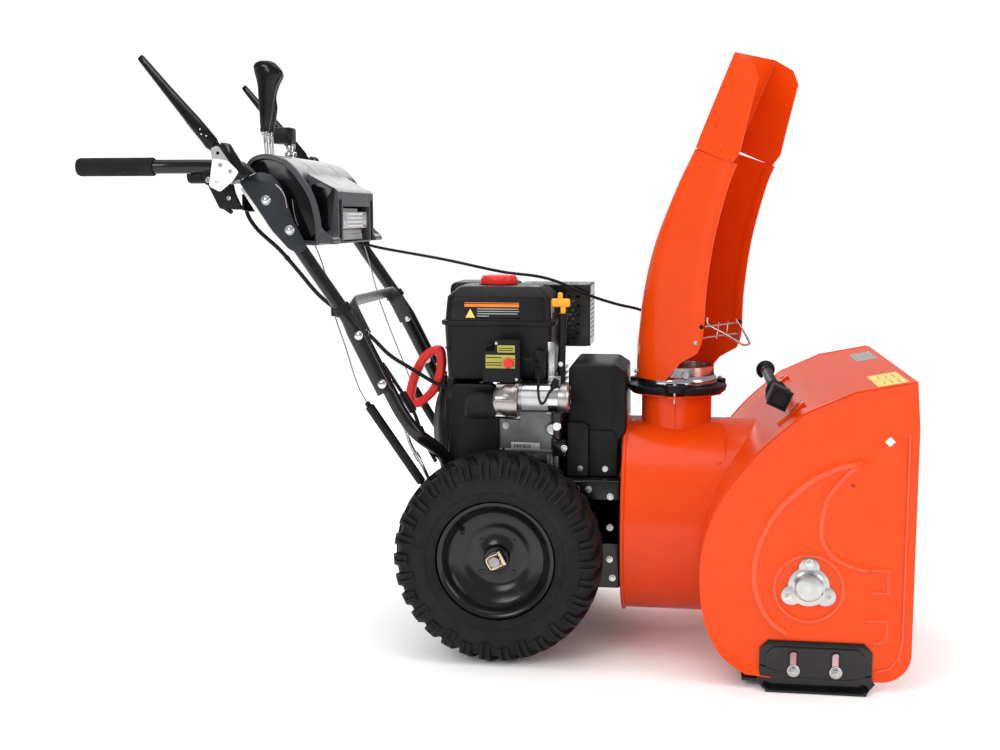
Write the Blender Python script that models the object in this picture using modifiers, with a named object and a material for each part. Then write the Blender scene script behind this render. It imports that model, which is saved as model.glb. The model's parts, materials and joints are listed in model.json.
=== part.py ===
"""Two-stage walk-behind snow blower, modelled as an assembly of separate parts.

+X is the machine's forward direction, +Y its left side and +Z is up. The origin is at the bottom
centre of the machine, on the ground. All sizes are in metres.
"""

import math

import bmesh
import bpy
from mathutils import Matrix, Vector

GAP = 0.0003  # clearance between pieces that touch

# Auger housing
CLEARING_WIDTH = 0.610
SHEET = 0.003
FRONT_X = 0.735
HOUSING_TOP = (0.727, 0.530)
HOUSING_BACK = [
    (0.630, 0.511), (0.549, 0.474), (0.475, 0.406), (0.416, 0.326), (0.386, 0.245),
    (0.382, 0.166), (0.393, 0.105), (0.421, 0.053), (0.461, 0.024),
]
HOUSING_BOTTOM = (0.685, 0.018)
WRAP_LIP = (0.500, 0.0205)
AUGER_AXIS = (0.563, 0.181)
AUGER_RADIUS = 0.148
AUGER_BAND = 0.048
AUGER_SHAFT_RADIUS = 0.011

# Impeller
IMPELLER_Z = 0.232
DRUM_RADIUS = 0.185
DRUM_BACK = 0.245
DRUM_RIM = 0.238
IMPELLER_RADIUS = 0.168
IMPELLER_SHAFT_RADIUS = 0.0095
GEARBOX_HALF_WIDTH = 0.036

# Discharge chute
CHUTE_X = 0.335
CHUTE_HEADING = math.radians(-30)
CHUTE_RADIUS = 0.0765
CHUTE_SHEET = 0.002
DEFLECTOR_PIVOT = (0.126, 0, 0.912)
COLLAR_RADIUS = 0.0665
COLLAR_TOP = 0.4695
RING_RADIUS = 0.0945
RING_TOP = 0.4835
TURN_RING_TOP = 0.498

# Wheels and drive
AXLE = (0.021, 0.190)
TYRE_RADIUS = 0.190
TYRE_INNER_RADIUS = 0.109
TYRE_HALF_WIDTH = 0.060
WHEEL_Y = 0.210
AXLE_RADIUS = 0.0095
FRAME_HALF_WIDTH = 0.140
FRAME_WALL = 0.0025
FRAME_BACK = -0.105
FRAME_FRONT = 0.2375
FRAME_BOTTOM = 0.115
FRAME_TOP = 0.286
TOWER_BACK = 0.140
TOWER_TOP = 0.3175
HEX_SHAFT = (0.0347, 0.241)
DISC_FACE = 0.075

# Engine
CRANK_Z = 0.395
CRANK_RADIUS = 0.0125
PULLEY_X = (0.172, 0.198)
ENGINE_PULLEY_RADIUS = 0.030
IMPELLER_PULLEY_RADIUS = 0.070
BELT_COVER_X = (0.134, 0.2375)
BELT_COVER_HALF_WIDTH = 0.100
BELT_COVER_TOP = 0.542
TANK_X = (-0.101, 0.113)
TANK_Y = (-0.130, 0.054)
TANK_SEAM = 0.603
TANK_TOP = 0.671
TANK_BOTTOM = 0.497
FILLER = (-0.007, -0.030)
STARTER = (-0.155, 0.4710)
STARTER_DRIVE_Z = 0.4545
DIPSTICK_FOOT = (0.1210, -0.098, 0.440)
DIPSTICK_TOP = (0.1255, -0.104, 0.622)

# Handles and controls
HANDLE_RADIUS = 0.0125
HANDLE_Y = 0.2185
LOWER_HANDLE_Y = 0.193
GRIP_Y = 0.262
GRIP_Z = 0.887
GRIP_X = (-0.735, -0.590)
LAMP_HALF_WIDTH = 0.135
DASH_HALF_WIDTH = 0.200
DASH_PROFILE = [
    (-0.455, 0.856), (-0.440, 0.899), (-0.412, 0.913), (-0.378, 0.909), (-0.351, 0.895),
    (-0.327, 0.868), (-0.309, 0.838), (-0.299, 0.802), (-0.303, 0.771), (-0.316, 0.746),
    (-0.345, 0.730), (-0.363, 0.739),
]
LEVER_PIVOT = (-0.455, 0.880)
LEVER_Y = 0.270
LEVER_TIP = (-0.610, 1.080)
SHIFT_LEVER_Y = {"chute_joystick": -0.084, "speed_lever": -0.052}
SHIFT_PIVOT = (-0.438, 0.815)
KNOB = (-0.436, 0.050)

SIDES = {"right": -1, "left": 1}


def start_scene():
    """Empties the scene and makes the two collections."""
    for old in list(bpy.data.objects):
        bpy.data.objects.remove(old)
    parts = bpy.data.collections.new("snow_blower")
    cutters = bpy.data.collections.new("cutters")
    bpy.context.scene.collection.children.link(parts)
    bpy.context.scene.collection.children.link(cutters)
    return parts, cutters


PARTS, CUTTERS = start_scene()


def material(name, colour, roughness, metallic=0.0):
    made = bpy.data.materials.new(name)
    made.use_nodes = True
    shader = made.node_tree.nodes["Principled BSDF"]
    shader.inputs["Base Color"].default_value = (*colour, 1.0)
    shader.inputs["Roughness"].default_value = roughness
    shader.inputs["Metallic"].default_value = metallic
    return made


ORANGE = material("orange_paint", (0.90, 0.14, 0.01), 0.3)
BLACK_PAINT = material("black_paint", (0.015, 0.015, 0.017), 0.35)
BLACK_PLASTIC = material("black_plastic", (0.02, 0.02, 0.022), 0.5)
GLOSS_PLASTIC = material("gloss_plastic", (0.012, 0.012, 0.014), 0.12)
RUBBER = material("rubber", (0.02, 0.02, 0.02), 0.85)
ZINC = material("zinc", (0.62, 0.62, 0.60), 0.35, 1.0)
ALUMINIUM = material("aluminium", (0.60, 0.61, 0.62), 0.4, 1.0)
STEEL = material("steel", (0.35, 0.35, 0.36), 0.4, 1.0)
RED = material("red_plastic", (0.75, 0.02, 0.01), 0.4)
YELLOW = material("yellow_plastic", (0.85, 0.45, 0.02), 0.4)


def finish(shape, name, look=None, collection=PARTS, smooth=35):
    """Names a new object, gives it its material and puts it in its collection."""
    shape.name = name
    shape.data.name = name
    for old in list(shape.users_collection):
        old.objects.unlink(shape)
    collection.objects.link(shape)
    if look is not None:
        shape.data.materials.clear()
        shape.data.materials.append(look)
    if shape.type == "MESH" and smooth and len(shape.data.polygons):
        shape.data.shade_smooth()
        shape.data.set_sharp_from_angle(angle=math.radians(smooth))
    return shape


def mesh_object(name, mesh, look=None):
    return finish(bpy.data.objects.new(name, mesh), name, look)


def from_bmesh(name, bm, look=None):
    mesh = bpy.data.meshes.new(name)
    bm.to_mesh(mesh)
    bm.free()
    return mesh_object(name, mesh, look)


def box(name, low, high, look=None, bevel=0.0, segments=2):
    """A box between two corners, with its edges rounded by bevel."""
    bm = bmesh.new()
    bmesh.ops.create_cube(bm, size=1.0)
    low, high = Vector(low), Vector(high)
    for vertex in bm.verts:
        vertex.co = Vector(
            (low[i] + high[i]) / 2 + vertex.co[i] * (high[i] - low[i]) for i in range(3)
        )
    made = from_bmesh(name, bm, look)
    if bevel:
        rounding = made.modifiers.new("rounded", "BEVEL")
        rounding.width = bevel
        rounding.segments = segments
    return made


def facing(axis):
    """The rotation that turns +Z to the given direction."""
    return Vector((0, 0, 1)).rotation_difference(Vector(axis)).to_matrix().to_4x4()


def cylinder(name, start, end, radius, look=None, sides=20):
    """A solid cylinder between two points."""
    start, end = Vector(start), Vector(end)
    bm = bmesh.new()
    bmesh.ops.create_cone(
        bm, cap_ends=True, segments=sides, radius1=radius, radius2=radius,
        depth=(end - start).length,
    )
    made = from_bmesh(name, bm, look)
    made.matrix_world = Matrix.Translation((start + end) / 2) @ facing(end - start)
    return made


def turned(name, profile, centre, axis, look=None, sides=24):
    """A turned piece. The profile is (radius, height) pairs that run down its outer side."""
    bm = bmesh.new()
    rows = [bm.verts.new((radius, 0, height)) for radius, height in profile]
    for first, second in zip(rows, rows[1:]):
        bm.edges.new((first, second))
    if profile[0][0] > 0:
        bm.edges.new((rows[-1], rows[0]))
    made = from_bmesh(name, bm, look)
    screw = made.modifiers.new("turned", "SCREW")
    screw.steps = sides
    screw.render_steps = sides
    screw.use_merge_vertices = True
    screw.merge_threshold = 0.00001
    made.matrix_world = Matrix.Translation(centre) @ facing(axis)
    return made


def curve_mesh(name, curve, place, look=None):
    """Turns a curve into a closed mesh object and removes the curve."""
    guide = bpy.data.objects.new(name + "_curve", curve)
    CUTTERS.objects.link(guide)
    guide.matrix_world = place
    bpy.context.view_layer.update()
    reader = bpy.context.evaluated_depsgraph_get()
    mesh = bpy.data.meshes.new_from_object(guide.evaluated_get(reader))
    bpy.data.objects.remove(guide)
    bm = bmesh.new()
    bm.from_mesh(mesh)
    bmesh.ops.remove_doubles(bm, verts=bm.verts, dist=0.000001)
    bmesh.ops.recalc_face_normals(bm, faces=bm.faces)
    bm.to_mesh(mesh)
    bm.free()
    made = mesh_object(name, mesh, look)
    made.matrix_world = place
    return made


PLANES = {
    "X": Matrix(((0, 0, 1, 0), (1, 0, 0, 0), (0, 1, 0, 0), (0, 0, 0, 1))),
    "Y": Matrix(((1, 0, 0, 0), (0, 0, -1, 0), (0, 1, 0, 0), (0, 0, 0, 1))),
    "Z": Matrix.Identity(4),
}
DIRECTIONS = {"X": Vector((1, 0, 0)), "Y": Vector((0, 1, 0)), "Z": Vector((0, 0, 1))}


def plate(name, outline, axis, low, high, look=None, holes=()):
    """A flat outline, given in the other two axes, with its thickness from low to high along axis."""
    curve = bpy.data.curves.new(name, "CURVE")
    curve.dimensions = "2D"
    curve.fill_mode = "BOTH"
    curve.extrude = (high - low) / 2
    for loop in (outline, *holes):
        spline = curve.splines.new("POLY")
        spline.points.add(len(loop) - 1)
        for point, (across, up) in zip(spline.points, loop):
            point.co = (across, up, 0, 1)
        spline.use_cyclic_u = True
    place = Matrix.Translation(DIRECTIONS[axis] * (low + high) / 2) @ PLANES[axis]
    return curve_mesh(name, curve, place, look)


def tube(name, points, radius, look=None, resolution=2, cyclic=False):
    """A round tube along a line of points, closed at both ends."""
    curve = bpy.data.curves.new(name, "CURVE")
    curve.dimensions = "3D"
    curve.bevel_depth = radius
    curve.bevel_resolution = resolution
    curve.use_fill_caps = not cyclic
    spline = curve.splines.new("POLY")
    spline.points.add(len(points) - 1)
    for point, place in zip(spline.points, points):
        point.co = (*place, 1)
    spline.use_cyclic_u = cyclic
    return curve_mesh(name, curve, Matrix.Identity(4), look)


def loft(name, sections, look=None):
    """A closed skin through closed loops of equal length, with a flat cap at each end."""
    bm = bmesh.new()
    rings = [[bm.verts.new(point) for point in section] for section in sections]
    for lower, upper in zip(rings, rings[1:]):
        for i in range(len(lower)):
            j = (i + 1) % len(lower)
            bm.faces.new((lower[i], lower[j], upper[j], upper[i]))
    bm.faces.new(list(reversed(rings[0])))
    bm.faces.new(rings[-1])
    bmesh.ops.recalc_face_normals(bm, faces=bm.faces)
    return from_bmesh(name, bm, look)


def boolean(shape, tool, operation):
    """Cuts tool from shape or joins it on. The tool becomes a hidden guide."""
    for old in list(tool.users_collection):
        old.objects.unlink(tool)
    CUTTERS.objects.link(tool)
    tool.name = f"{shape.name}_{operation.lower()}_{len(shape.modifiers)}"
    tool.hide_render = True
    tool.display_type = "WIRE"
    step = shape.modifiers.new(operation.lower(), "BOOLEAN")
    step.operation = operation
    step.object = tool
    step.solver = "EXACT"
    return shape


def cut(shape, *tools):
    for tool in tools:
        boolean(shape, tool, "DIFFERENCE")
    return shape


def join(shape, *others):
    for other in others:
        boolean(shape, other, "UNION")
    return shape


def arc(centre, radius, start, end, count):
    """Points on an arc, from start to end in degrees."""
    angles = [math.radians(start + (end - start) * i / count) for i in range(count + 1)]
    return [(centre[0] + radius * math.cos(a), centre[1] + radius * math.sin(a)) for a in angles]


def rounded(low, high, radius, count=4):
    """A rectangle's outline with round corners."""
    inner = [
        (high[0] - radius, high[1] - radius, 0), (low[0] + radius, high[1] - radius, 90),
        (low[0] + radius, low[1] + radius, 180), (high[0] - radius, low[1] + radius, 270),
    ]
    return [p for x, y, a in inner for p in arc((x, y), radius, a, a + 90, count)]


def smooth_line(points, steps):
    """A Catmull-Rom curve through the points, with steps pieces to each span."""
    rows = [Vector(p) for p in points]
    rows = [2 * rows[0] - rows[1], *rows, 2 * rows[-1] - rows[-2]]
    line = []
    for a, b, c, d in zip(rows, rows[1:], rows[2:], rows[3:]):
        for i in range(steps):
            t = i / steps
            line.append(
                0.5 * (2 * b + (c - a) * t + (2 * a - 5 * b + 4 * c - d) * t * t
                       + (3 * b - a - 3 * c + d) * t ** 3)
            )
    return [tuple(p) for p in line] + [tuple(rows[-2])]


def offset_line(points, distance):
    """The line moved to its left by distance."""
    moved = []
    for i, point in enumerate(points):
        before = Vector(points[max(i - 1, 0)])
        after = Vector(points[min(i + 1, len(points) - 1)])
        along = (after - before).normalized()
        moved.append((point[0] - along.y * distance, point[1] + along.x * distance))
    return moved


def pivot(name, place, *pieces):
    """An empty on a joint's axis that carries the pieces that move with it."""
    empty = bpy.data.objects.new(name, None)
    empty.empty_display_size = 0.03
    empty.location = place
    PARTS.objects.link(empty)
    bpy.context.view_layer.update()
    for piece in pieces:
        piece.parent = empty
        piece.matrix_parent_inverse = empty.matrix_world.inverted()
    return empty


# ---------------------------------------------------------------- auger housing

HOUSING_CURVE = smooth_line(HOUSING_BACK, 2)


def housing_outline(grow=0.0):
    """The housing's side outline, grown outwards at the back by grow."""
    back = offset_line([HOUSING_TOP, *HOUSING_CURVE, WRAP_LIP], -grow)[1:-1]
    corner = arc((HOUSING_BOTTOM[0], HOUSING_BOTTOM[1] + 0.050), 0.050, -90, 0, 4)
    return [HOUSING_TOP, *back, *corner, (FRONT_X, 0.451)]


def side_plate(side, sign):
    low, high = sorted((sign * (CLEARING_WIDTH / 2 - SHEET), sign * CLEARING_WIDTH / 2))
    hole = arc(AUGER_AXIS, AUGER_SHAFT_RADIUS + 2 * GAP, 0, 345, 23)
    return plate(f"side_plate_{side}", housing_outline(), "Y", low, high, ORANGE, [hole])


def housing_wrap():
    """The sheet that forms the top, back and bottom of the housing, with the hole to the impeller."""
    outer = [HOUSING_TOP, *HOUSING_CURVE, WRAP_LIP]
    inner = offset_line(outer, SHEET)
    half = CLEARING_WIDTH / 2 - SHEET - GAP
    wrap = plate("housing_wrap", outer + inner[::-1], "Y", -half, half, ORANGE)
    hole = cylinder(
        "hole", (0.30, 0, IMPELLER_Z), (0.54, 0, IMPELLER_Z), DRUM_RADIUS - SHEET, None, 36
    )
    return cut(wrap, hole)


def impeller_drum():
    """The round drum behind the housing, with the collar that leads up to the chute."""
    centre = (0, 0, IMPELLER_Z)
    drum = cylinder(
        "impeller_drum", (DRUM_BACK, 0, IMPELLER_Z), (0.52, 0, IMPELLER_Z), DRUM_RADIUS, ORANGE, 36
    )
    rim = cylinder(
        "rim", (DRUM_RIM, 0, IMPELLER_Z), (DRUM_BACK + SHEET, 0, IMPELLER_Z), DRUM_RADIUS + 0.005,
        None, 36,
    )
    collar = cylinder("collar", (CHUTE_X, 0, 0.38), (CHUTE_X, 0, COLLAR_TOP), COLLAR_RADIUS, None, 32)
    flange = cylinder(
        "flange", (CHUTE_X, 0, COLLAR_TOP - 0.004), (CHUTE_X, 0, COLLAR_TOP), 0.0865, None, 32
    )
    join(drum, rim, collar, flange)
    inside = cylinder(
        "inside", (DRUM_BACK + SHEET, 0, IMPELLER_Z), (0.60, 0, IMPELLER_Z), DRUM_RADIUS - SHEET,
        None, 36,
    )
    recess = cylinder(
        "recess", (DRUM_RIM - 0.01, 0, IMPELLER_Z), (DRUM_BACK, 0, IMPELLER_Z), DRUM_RADIUS - 0.003,
        None, 36,
    )
    bore = cylinder("bore", (CHUTE_X, 0, 0.34), (CHUTE_X, 0, 0.50), COLLAR_RADIUS - SHEET, None, 32)
    shaft = cylinder(
        "shaft", (0.22, 0, IMPELLER_Z), (0.27, 0, IMPELLER_Z), IMPELLER_SHAFT_RADIUS + 2 * GAP
    )
    housing = plate("housing", housing_outline(GAP), "Y", -0.4, 0.4)
    cut(drum, inside, recess, bore, shaft, housing)
    return drum


def scraper_bar():
    half = CLEARING_WIDTH / 2 - SHEET
    return box("scraper_bar", (0.455, -half, 0.0085), (0.515, half, 0.0145), BLACK_PAINT)


def bearing_flange(side, sign):
    """The three-bolt flange with a round cap that carries the end of the auger's shaft."""
    x, z = AUGER_AXIS
    face = sign * (CLEARING_WIDTH / 2 + GAP)
    tips = [(x, z + 0.042), (x - 0.0375, z - 0.030), (x + 0.0375, z - 0.030)]
    outline = []
    for (tip_x, tip_z), start in zip(tips, (30, 150, 270)):
        outline += arc((tip_x, tip_z), 0.011, start, start + 120, 4)
    low, high = sorted((face, face + sign * 0.004))
    flange = plate(f"bearing_flange_{side}", outline, "Y", low, high, ZINC)
    cap = cylinder("cap", (x, face, z), (x, face + sign * 0.016, z), 0.023)
    seat = cylinder("seat", (x, face - sign * 0.01, z), (x, face + sign * 0.012, z), 0.0125)
    join(flange, cap)
    return cut(flange, seat)


def auger_ribbon(side, sign):
    """A hub tube, two spokes and a serrated helical band."""
    x, z = AUGER_AXIS
    inner = GEARBOX_HALF_WIDTH + 0.008
    outer = CLEARING_WIDTH / 2 - SHEET - 0.008
    hub = cylinder(
        f"auger_flight_{side}", (x, sign * inner, z), (x, sign * outer, z), 0.0165, ORANGE, 20
    )
    count = 30
    thickness = 0.004
    sections = []
    for i in range(count + 1):
        share = i / count
        angle = sign * share * 2 * math.pi + math.radians(90 if sign < 0 else 270)
        reach = AUGER_RADIUS - (0.007 if i % 2 else 0.0)
        y = sign * (inner + 0.004 + (outer - inner - 0.008) * share)
        out = Vector((math.cos(angle), 0, math.sin(angle)))
        base = Vector((x, y, z))
        side_step = Vector((0, thickness / 2, 0))
        root = out * (AUGER_RADIUS - AUGER_BAND)
        sections.append([
            base + root - side_step, base + out * reach - side_step,
            base + out * reach + side_step, base + root + side_step,
        ])
    ribbon = loft("ribbon", sections)
    spokes = []
    for share in (0.25, 0.75):
        angle = sign * share * 2 * math.pi + math.radians(90 if sign < 0 else 270)
        y = sign * (inner + 0.004 + (outer - inner - 0.008) * share)
        out = Vector((math.cos(angle), 0, math.sin(angle)))
        centre = Vector((x, y, z))
        spokes.append(
            cylinder("spoke", centre + out * 0.008, centre + out * 0.112, 0.008, None, 8)
        )
    join(hub, ribbon, *spokes)
    bore = cylinder(
        "bore", (x, sign * (inner - 0.01), z), (x, sign * (outer + 0.01), z),
        AUGER_SHAFT_RADIUS + GAP, None, 20,
    )
    return cut(hub, bore)


def auger_shaft():
    """The auger's shaft with the worm wheel at its middle."""
    x, z = AUGER_AXIS
    end = CLEARING_WIDTH / 2 + 0.008
    wheel = 0.0385
    profile = [
        (0, end), (AUGER_SHAFT_RADIUS, end), (AUGER_SHAFT_RADIUS, 0.012), (wheel, 0.012),
        (wheel, -0.012), (AUGER_SHAFT_RADIUS, -0.012), (AUGER_SHAFT_RADIUS, -end), (0, -end),
    ]
    return turned("auger_shaft", profile, (x, 0, z), (0, 1, 0), STEEL, 20)


def auger_gearbox():
    """The case around the worm and wheel, hung on the two shafts."""
    x, z = AUGER_AXIS
    half = GEARBOX_HALF_WIDTH
    case = cylinder("auger_gearbox", (x, -half, z), (x, half, z), 0.050, BLACK_PAINT, 24)
    boss = cylinder("boss", (0.494, 0, IMPELLER_Z), (0.622, 0, IMPELLER_Z), 0.024, None, 20)
    join(case, boss)
    cavity = cylinder("cavity", (x, -0.018, z), (x, 0.018, z), 0.043, None, 24)
    worm_room = cylinder("worm_room", (0.520, 0, IMPELLER_Z), (0.606, 0, IMPELLER_Z), 0.018, None, 20)
    across = cylinder("across", (x, -0.06, z), (x, 0.06, z), AUGER_SHAFT_RADIUS + 2 * GAP, None, 20)
    along = cylinder(
        "along", (0.48, 0, IMPELLER_Z), (0.53, 0, IMPELLER_Z), IMPELLER_SHAFT_RADIUS + 2 * GAP,
        None, 20,
    )
    return cut(case, cavity, worm_room, across, along)


def pulley_rim(radius, depth):
    """The profile of a V-belt pulley's rim, front to back."""
    back, front = PULLEY_X
    middle = (back + front) / 2
    return [
        (radius, front), (radius, middle + 0.007), (radius - depth, middle + 0.003),
        (radius - depth, middle - 0.003), (radius, middle - 0.007), (radius, back),
    ]


def impeller_shaft():
    """The shaft from the belt pulley through the impeller to the worm."""
    start, end = 0.168, 0.602
    radius = IMPELLER_SHAFT_RADIUS
    worm = 0.0120
    back, front = PULLEY_X
    profile = [
        (0, end), (radius, end), (radius, 0.584), (worm, 0.581), (worm, 0.545), (radius, 0.542),
        (radius, front), *pulley_rim(IMPELLER_PULLEY_RADIUS, 0.010), (radius, back),
        (radius, start), (0, start),
    ]
    return turned("impeller_shaft", profile, (0, 0, IMPELLER_Z), (1, 0, 0), STEEL, 24)


def impeller():
    """Four blades on a hub."""
    z = IMPELLER_Z
    hub = cylinder("impeller", (0.258, 0, z), (0.372, 0, z), 0.022, ORANGE, 24)
    flat = box("flat", (0.262, -IMPELLER_RADIUS, z - 0.002), (0.368, IMPELLER_RADIUS, z + 0.002))
    tall = box("tall", (0.2622, -0.002, z - IMPELLER_RADIUS), (0.3678, 0.002, z + IMPELLER_RADIUS))
    join(hub, flat, tall)
    bore = cylinder("bore", (0.25, 0, z), (0.38, 0, z), IMPELLER_SHAFT_RADIUS + GAP, None, 20)
    return cut(hub, bore)


def auger_belt():
    """The belt that runs around the outside of both pulleys."""
    middle = sum(PULLEY_X) / 2
    top = ENGINE_PULLEY_RADIUS + GAP * 2
    bottom = IMPELLER_PULLEY_RADIUS + GAP * 2
    lean = math.degrees(math.asin((bottom - top) / (CRANK_Z - IMPELLER_Z)))

    def loop(extra):
        upper = arc((0, CRANK_Z), top + extra, lean, 180 - lean, 12)
        return upper + arc((0, IMPELLER_Z), bottom + extra, 180 - lean, 360 + lean, 20)

    return plate("auger_belt", loop(0.006), "X", middle - 0.006, middle + 0.006, RUBBER, [loop(0)])


def skid_shoe(side, sign):
    """A bent shoe with two upright slots and a sole turned outwards."""
    face = sign * (CLEARING_WIDTH / 2 + GAP)
    outer = sign * (CLEARING_WIDTH / 2 + 0.022)
    outline = [
        (0.484, 0.012), (0.496, 0.0), (0.659, 0.0), (0.671, 0.012), (0.671, 0.075), (0.661, 0.085),
        (0.494, 0.085), (0.484, 0.075),
    ]
    low, high = sorted((face, face + sign * 0.004))
    shoe = plate(f"skid_shoe_{side}", outline, "Y", low, high, BLACK_PAINT)
    low, high = sorted((face, outer))
    sole = box("sole", (0.496, low, 0.0), (0.659, high, 0.004))
    join(shoe, sole)
    for x in (0.541, 0.611):
        slot = rounded((x - 0.0055, 0.026), (x + 0.0055, 0.066), 0.0054)
        cut(shoe, plate("slot", slot, "Y", face - 0.01 if sign > 0 else face - 0.02,
                        face + 0.02 if sign > 0 else face + 0.01))
    return shoe


def cleanout_tool():
    """A stick with a square scoop, carried across the back of the housing."""
    x, z = 0.511, 0.492
    stick = cylinder("cleanout_tool", (x, -0.20, z), (x, 0.20, z), 0.011, BLACK_PLASTIC, 16)
    scoop = box("scoop", (x - 0.021, -0.262, z - 0.021), (x + 0.021, -0.190, z + 0.021))
    return join(stick, scoop)


# ---------------------------------------------------------------- discharge chute


def chute_point(forward, across, height):
    """A point of the chute, from its own forward and sideways distances, at its rest heading."""
    turn = Matrix.Rotation(CHUTE_HEADING, 3, "Z")
    return Vector((CHUTE_X, 0, height)) + turn @ Vector((forward, across, 0))


def channel_section(row, radius, sheet=CHUTE_SHEET):
    """One U-shaped section: a back with round corners and two straight walls to the front.

    A row is (centre, front, height at the back, height at the front, corner). A corner of 1 makes
    the back a half circle. As the corner gets smaller the back gets flatter and moves forward,
    which keeps the chute as deep as it looks from its side.
    """
    centre, front, back_height, front_height, corner = row
    turn = radius * corner
    start = centre - radius * (0.577 + 0.423 * corner)

    def path(inset):
        knee, off_axis, reach = start + turn, radius - turn, turn - inset
        left = arc((knee, off_axis), reach, 90, 180, 5)
        right = arc((knee, -off_axis), reach, 180, 270, 5)
        across = radius - inset
        return [(front, across), *left, *right, (front, -across)]

    loop = path(0) + path(sheet)[::-1]
    section = []
    for forward, across in loop:
        share = min(max((forward - start) / (front - start), 0), 1)
        height = back_height + (front_height - back_height) * share
        section.append(chute_point(forward, across, height))
    return section


def chute():
    """The lower chute: a channel that opens forward, on its turning ring."""
    rows = [
        (0.000, 0.020, 0.496, 0.496, 0.98), (0.000, 0.050, 0.531, 0.531, 0.97),
        (0.000, 0.0855, 0.551, 0.551, 0.93), (0.003, 0.0955, 0.580, 0.580, 0.88),
        (0.0145, 0.1000, 0.664, 0.664, 0.72), (0.0395, 0.1135, 0.756, 0.756, 0.52),
        (0.0785, 0.1385, 0.847, 0.847, 0.34), (0.1180, 0.1565, 0.921, 0.891, 0.24),
    ]
    body = loft("chute", [channel_section(row, CHUTE_RADIUS) for row in rows], ORANGE)
    inner = COLLAR_RADIUS - SHEET
    profile = [
        (inner, TURN_RING_TOP), (CHUTE_RADIUS - 0.0008, TURN_RING_TOP),
        (CHUTE_RADIUS - 0.0008, RING_TOP + GAP), (inner, RING_TOP + GAP),
    ]
    ring = turned("ring", profile, (CHUTE_X, 0, 0), (0, 0, 1), None, 32)
    return join(body, ring)


def chute_deflector():
    """The upper chute, which tips forward to throw the snow lower."""
    radius = CHUTE_RADIUS + CHUTE_SHEET + 0.0008
    rows = [
        (0.1228, 0.149, 0.924, 0.894, 0.06), (0.1306, 0.165, 0.941, 0.911, 0.06),
        (0.1863, 0.197, 1.0615, 1.037, 0.06), (0.1968, 0.186, 1.084, 1.0625, 0.06),
    ]
    return loft("chute_deflector", [channel_section(row, radius) for row in rows], ORANGE)


def chute_collar_ring():
    profile = [
        (COLLAR_RADIUS - SHEET, RING_TOP), (RING_RADIUS, RING_TOP),
        (RING_RADIUS, COLLAR_TOP + GAP), (COLLAR_RADIUS - SHEET, COLLAR_TOP + GAP),
    ]
    return turned("chute_collar_ring", profile, (CHUTE_X, 0, 0), (0, 0, 1), BLACK_PLASTIC, 32)


# ---------------------------------------------------------------- frame, wheels and drive


def tractor_frame():
    """The folded case between the wheels, open below, with a tower for the belt at its front."""
    half = FRAME_HALF_WIDTH
    wall = FRAME_WALL
    frame = box("tractor_frame", (FRAME_BACK, -half, FRAME_BOTTOM), (FRAME_FRONT, half, FRAME_TOP),
                BLACK_PAINT)
    tower = box("tower", (TOWER_BACK, -half, 0.20), (FRAME_FRONT, half, TOWER_TOP))
    join(frame, tower)
    low = FRAME_BOTTOM - 0.02
    room = box("room", (FRAME_BACK + wall, wall - half, low),
               (FRAME_FRONT - wall, half - wall, FRAME_TOP - wall))
    tower_room = box("tower_room", (TOWER_BACK + wall, wall - half, 0.19),
                     (FRAME_FRONT - wall, half - wall, TOWER_TOP - wall))
    belt_way = box("belt_way", (0.160, -0.085, 0.30), (0.210, 0.085, 0.33))
    cut(frame, room, tower_room, belt_way)
    for name, (x, z), radius in (("axle_hole", AXLE, AXLE_RADIUS), ("hex_hole", HEX_SHAFT, 0.008)):
        cut(frame, cylinder(name, (x, -0.2, z), (x, 0.2, z), radius + 2 * GAP, None, 20))
    shaft = cylinder("shaft_hole", (0.22, 0, IMPELLER_Z), (0.26, 0, IMPELLER_Z),
                     IMPELLER_SHAFT_RADIUS + 2 * GAP, None, 20)
    return cut(frame, shaft)


def tyre(side, sign):
    width = TYRE_HALF_WIDTH
    half = [
        (TYRE_INNER_RADIUS, width - 0.010), (0.125, width - 0.002), (0.150, width),
        (0.172, width - 0.004), (0.184, width - 0.013), (TYRE_RADIUS, width - 0.026),
    ]
    profile = half + [(radius, -y) for radius, y in reversed(half)]
    centre = (AXLE[0], sign * WHEEL_Y, AXLE[1])
    return turned(f"tyre_{side}", profile, centre, (0, 1, 0), RUBBER, 32)


def rim(side, sign):
    """A dished steel rim with a hub tube; the dish is towards the outside."""
    outer = TYRE_INNER_RADIUS - GAP
    bore = AXLE_RADIUS + GAP
    profile = [
        (bore, 0.042), (0.020, 0.042), (0.022, 0.022), (0.080, 0.014), (0.103, 0.045),
        (outer, 0.045), (outer, -0.046), (0.104, -0.046), (0.097, 0.020), (0.020, 0.012),
        (0.020, -0.058), (bore, -0.058),
    ]
    centre = (AXLE[0], sign * WHEEL_Y, AXLE[1])
    return turned(f"rim_{side}", profile, centre, (0, sign, 0), BLACK_PAINT, 32)


def axle():
    x, z = AXLE
    end = WHEEL_Y + 0.058
    shaft = cylinder("axle", (x, -end, z), (x, end, z), AXLE_RADIUS, STEEL, 20)
    gear = cylinder("gear", (x, 0.105, z), (x, 0.117, z), 0.034, None, 28)
    return join(shaft, gear)


def hex_shaft():
    x, z = HEX_SHAFT
    shaft = cylinder("hex_shaft", (x, -0.139, z), (x, 0.139, z), 0.008, STEEL, 6)
    pinion = cylinder("pinion", (x, 0.105, z), (x, 0.117, z), 0.0185, None, 20)
    return join(shaft, pinion)


def friction_wheel():
    x, z = HEX_SHAFT
    profile = [(0.009, 0.018), (0.022, 0.018), (0.022, 0.005), (0.040, 0.005), (0.040, -0.005),
               (0.009, -0.005)]
    return turned("friction_wheel", profile, (x, 0.030, z), (0, 1, 0), RUBBER, 28)


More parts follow.
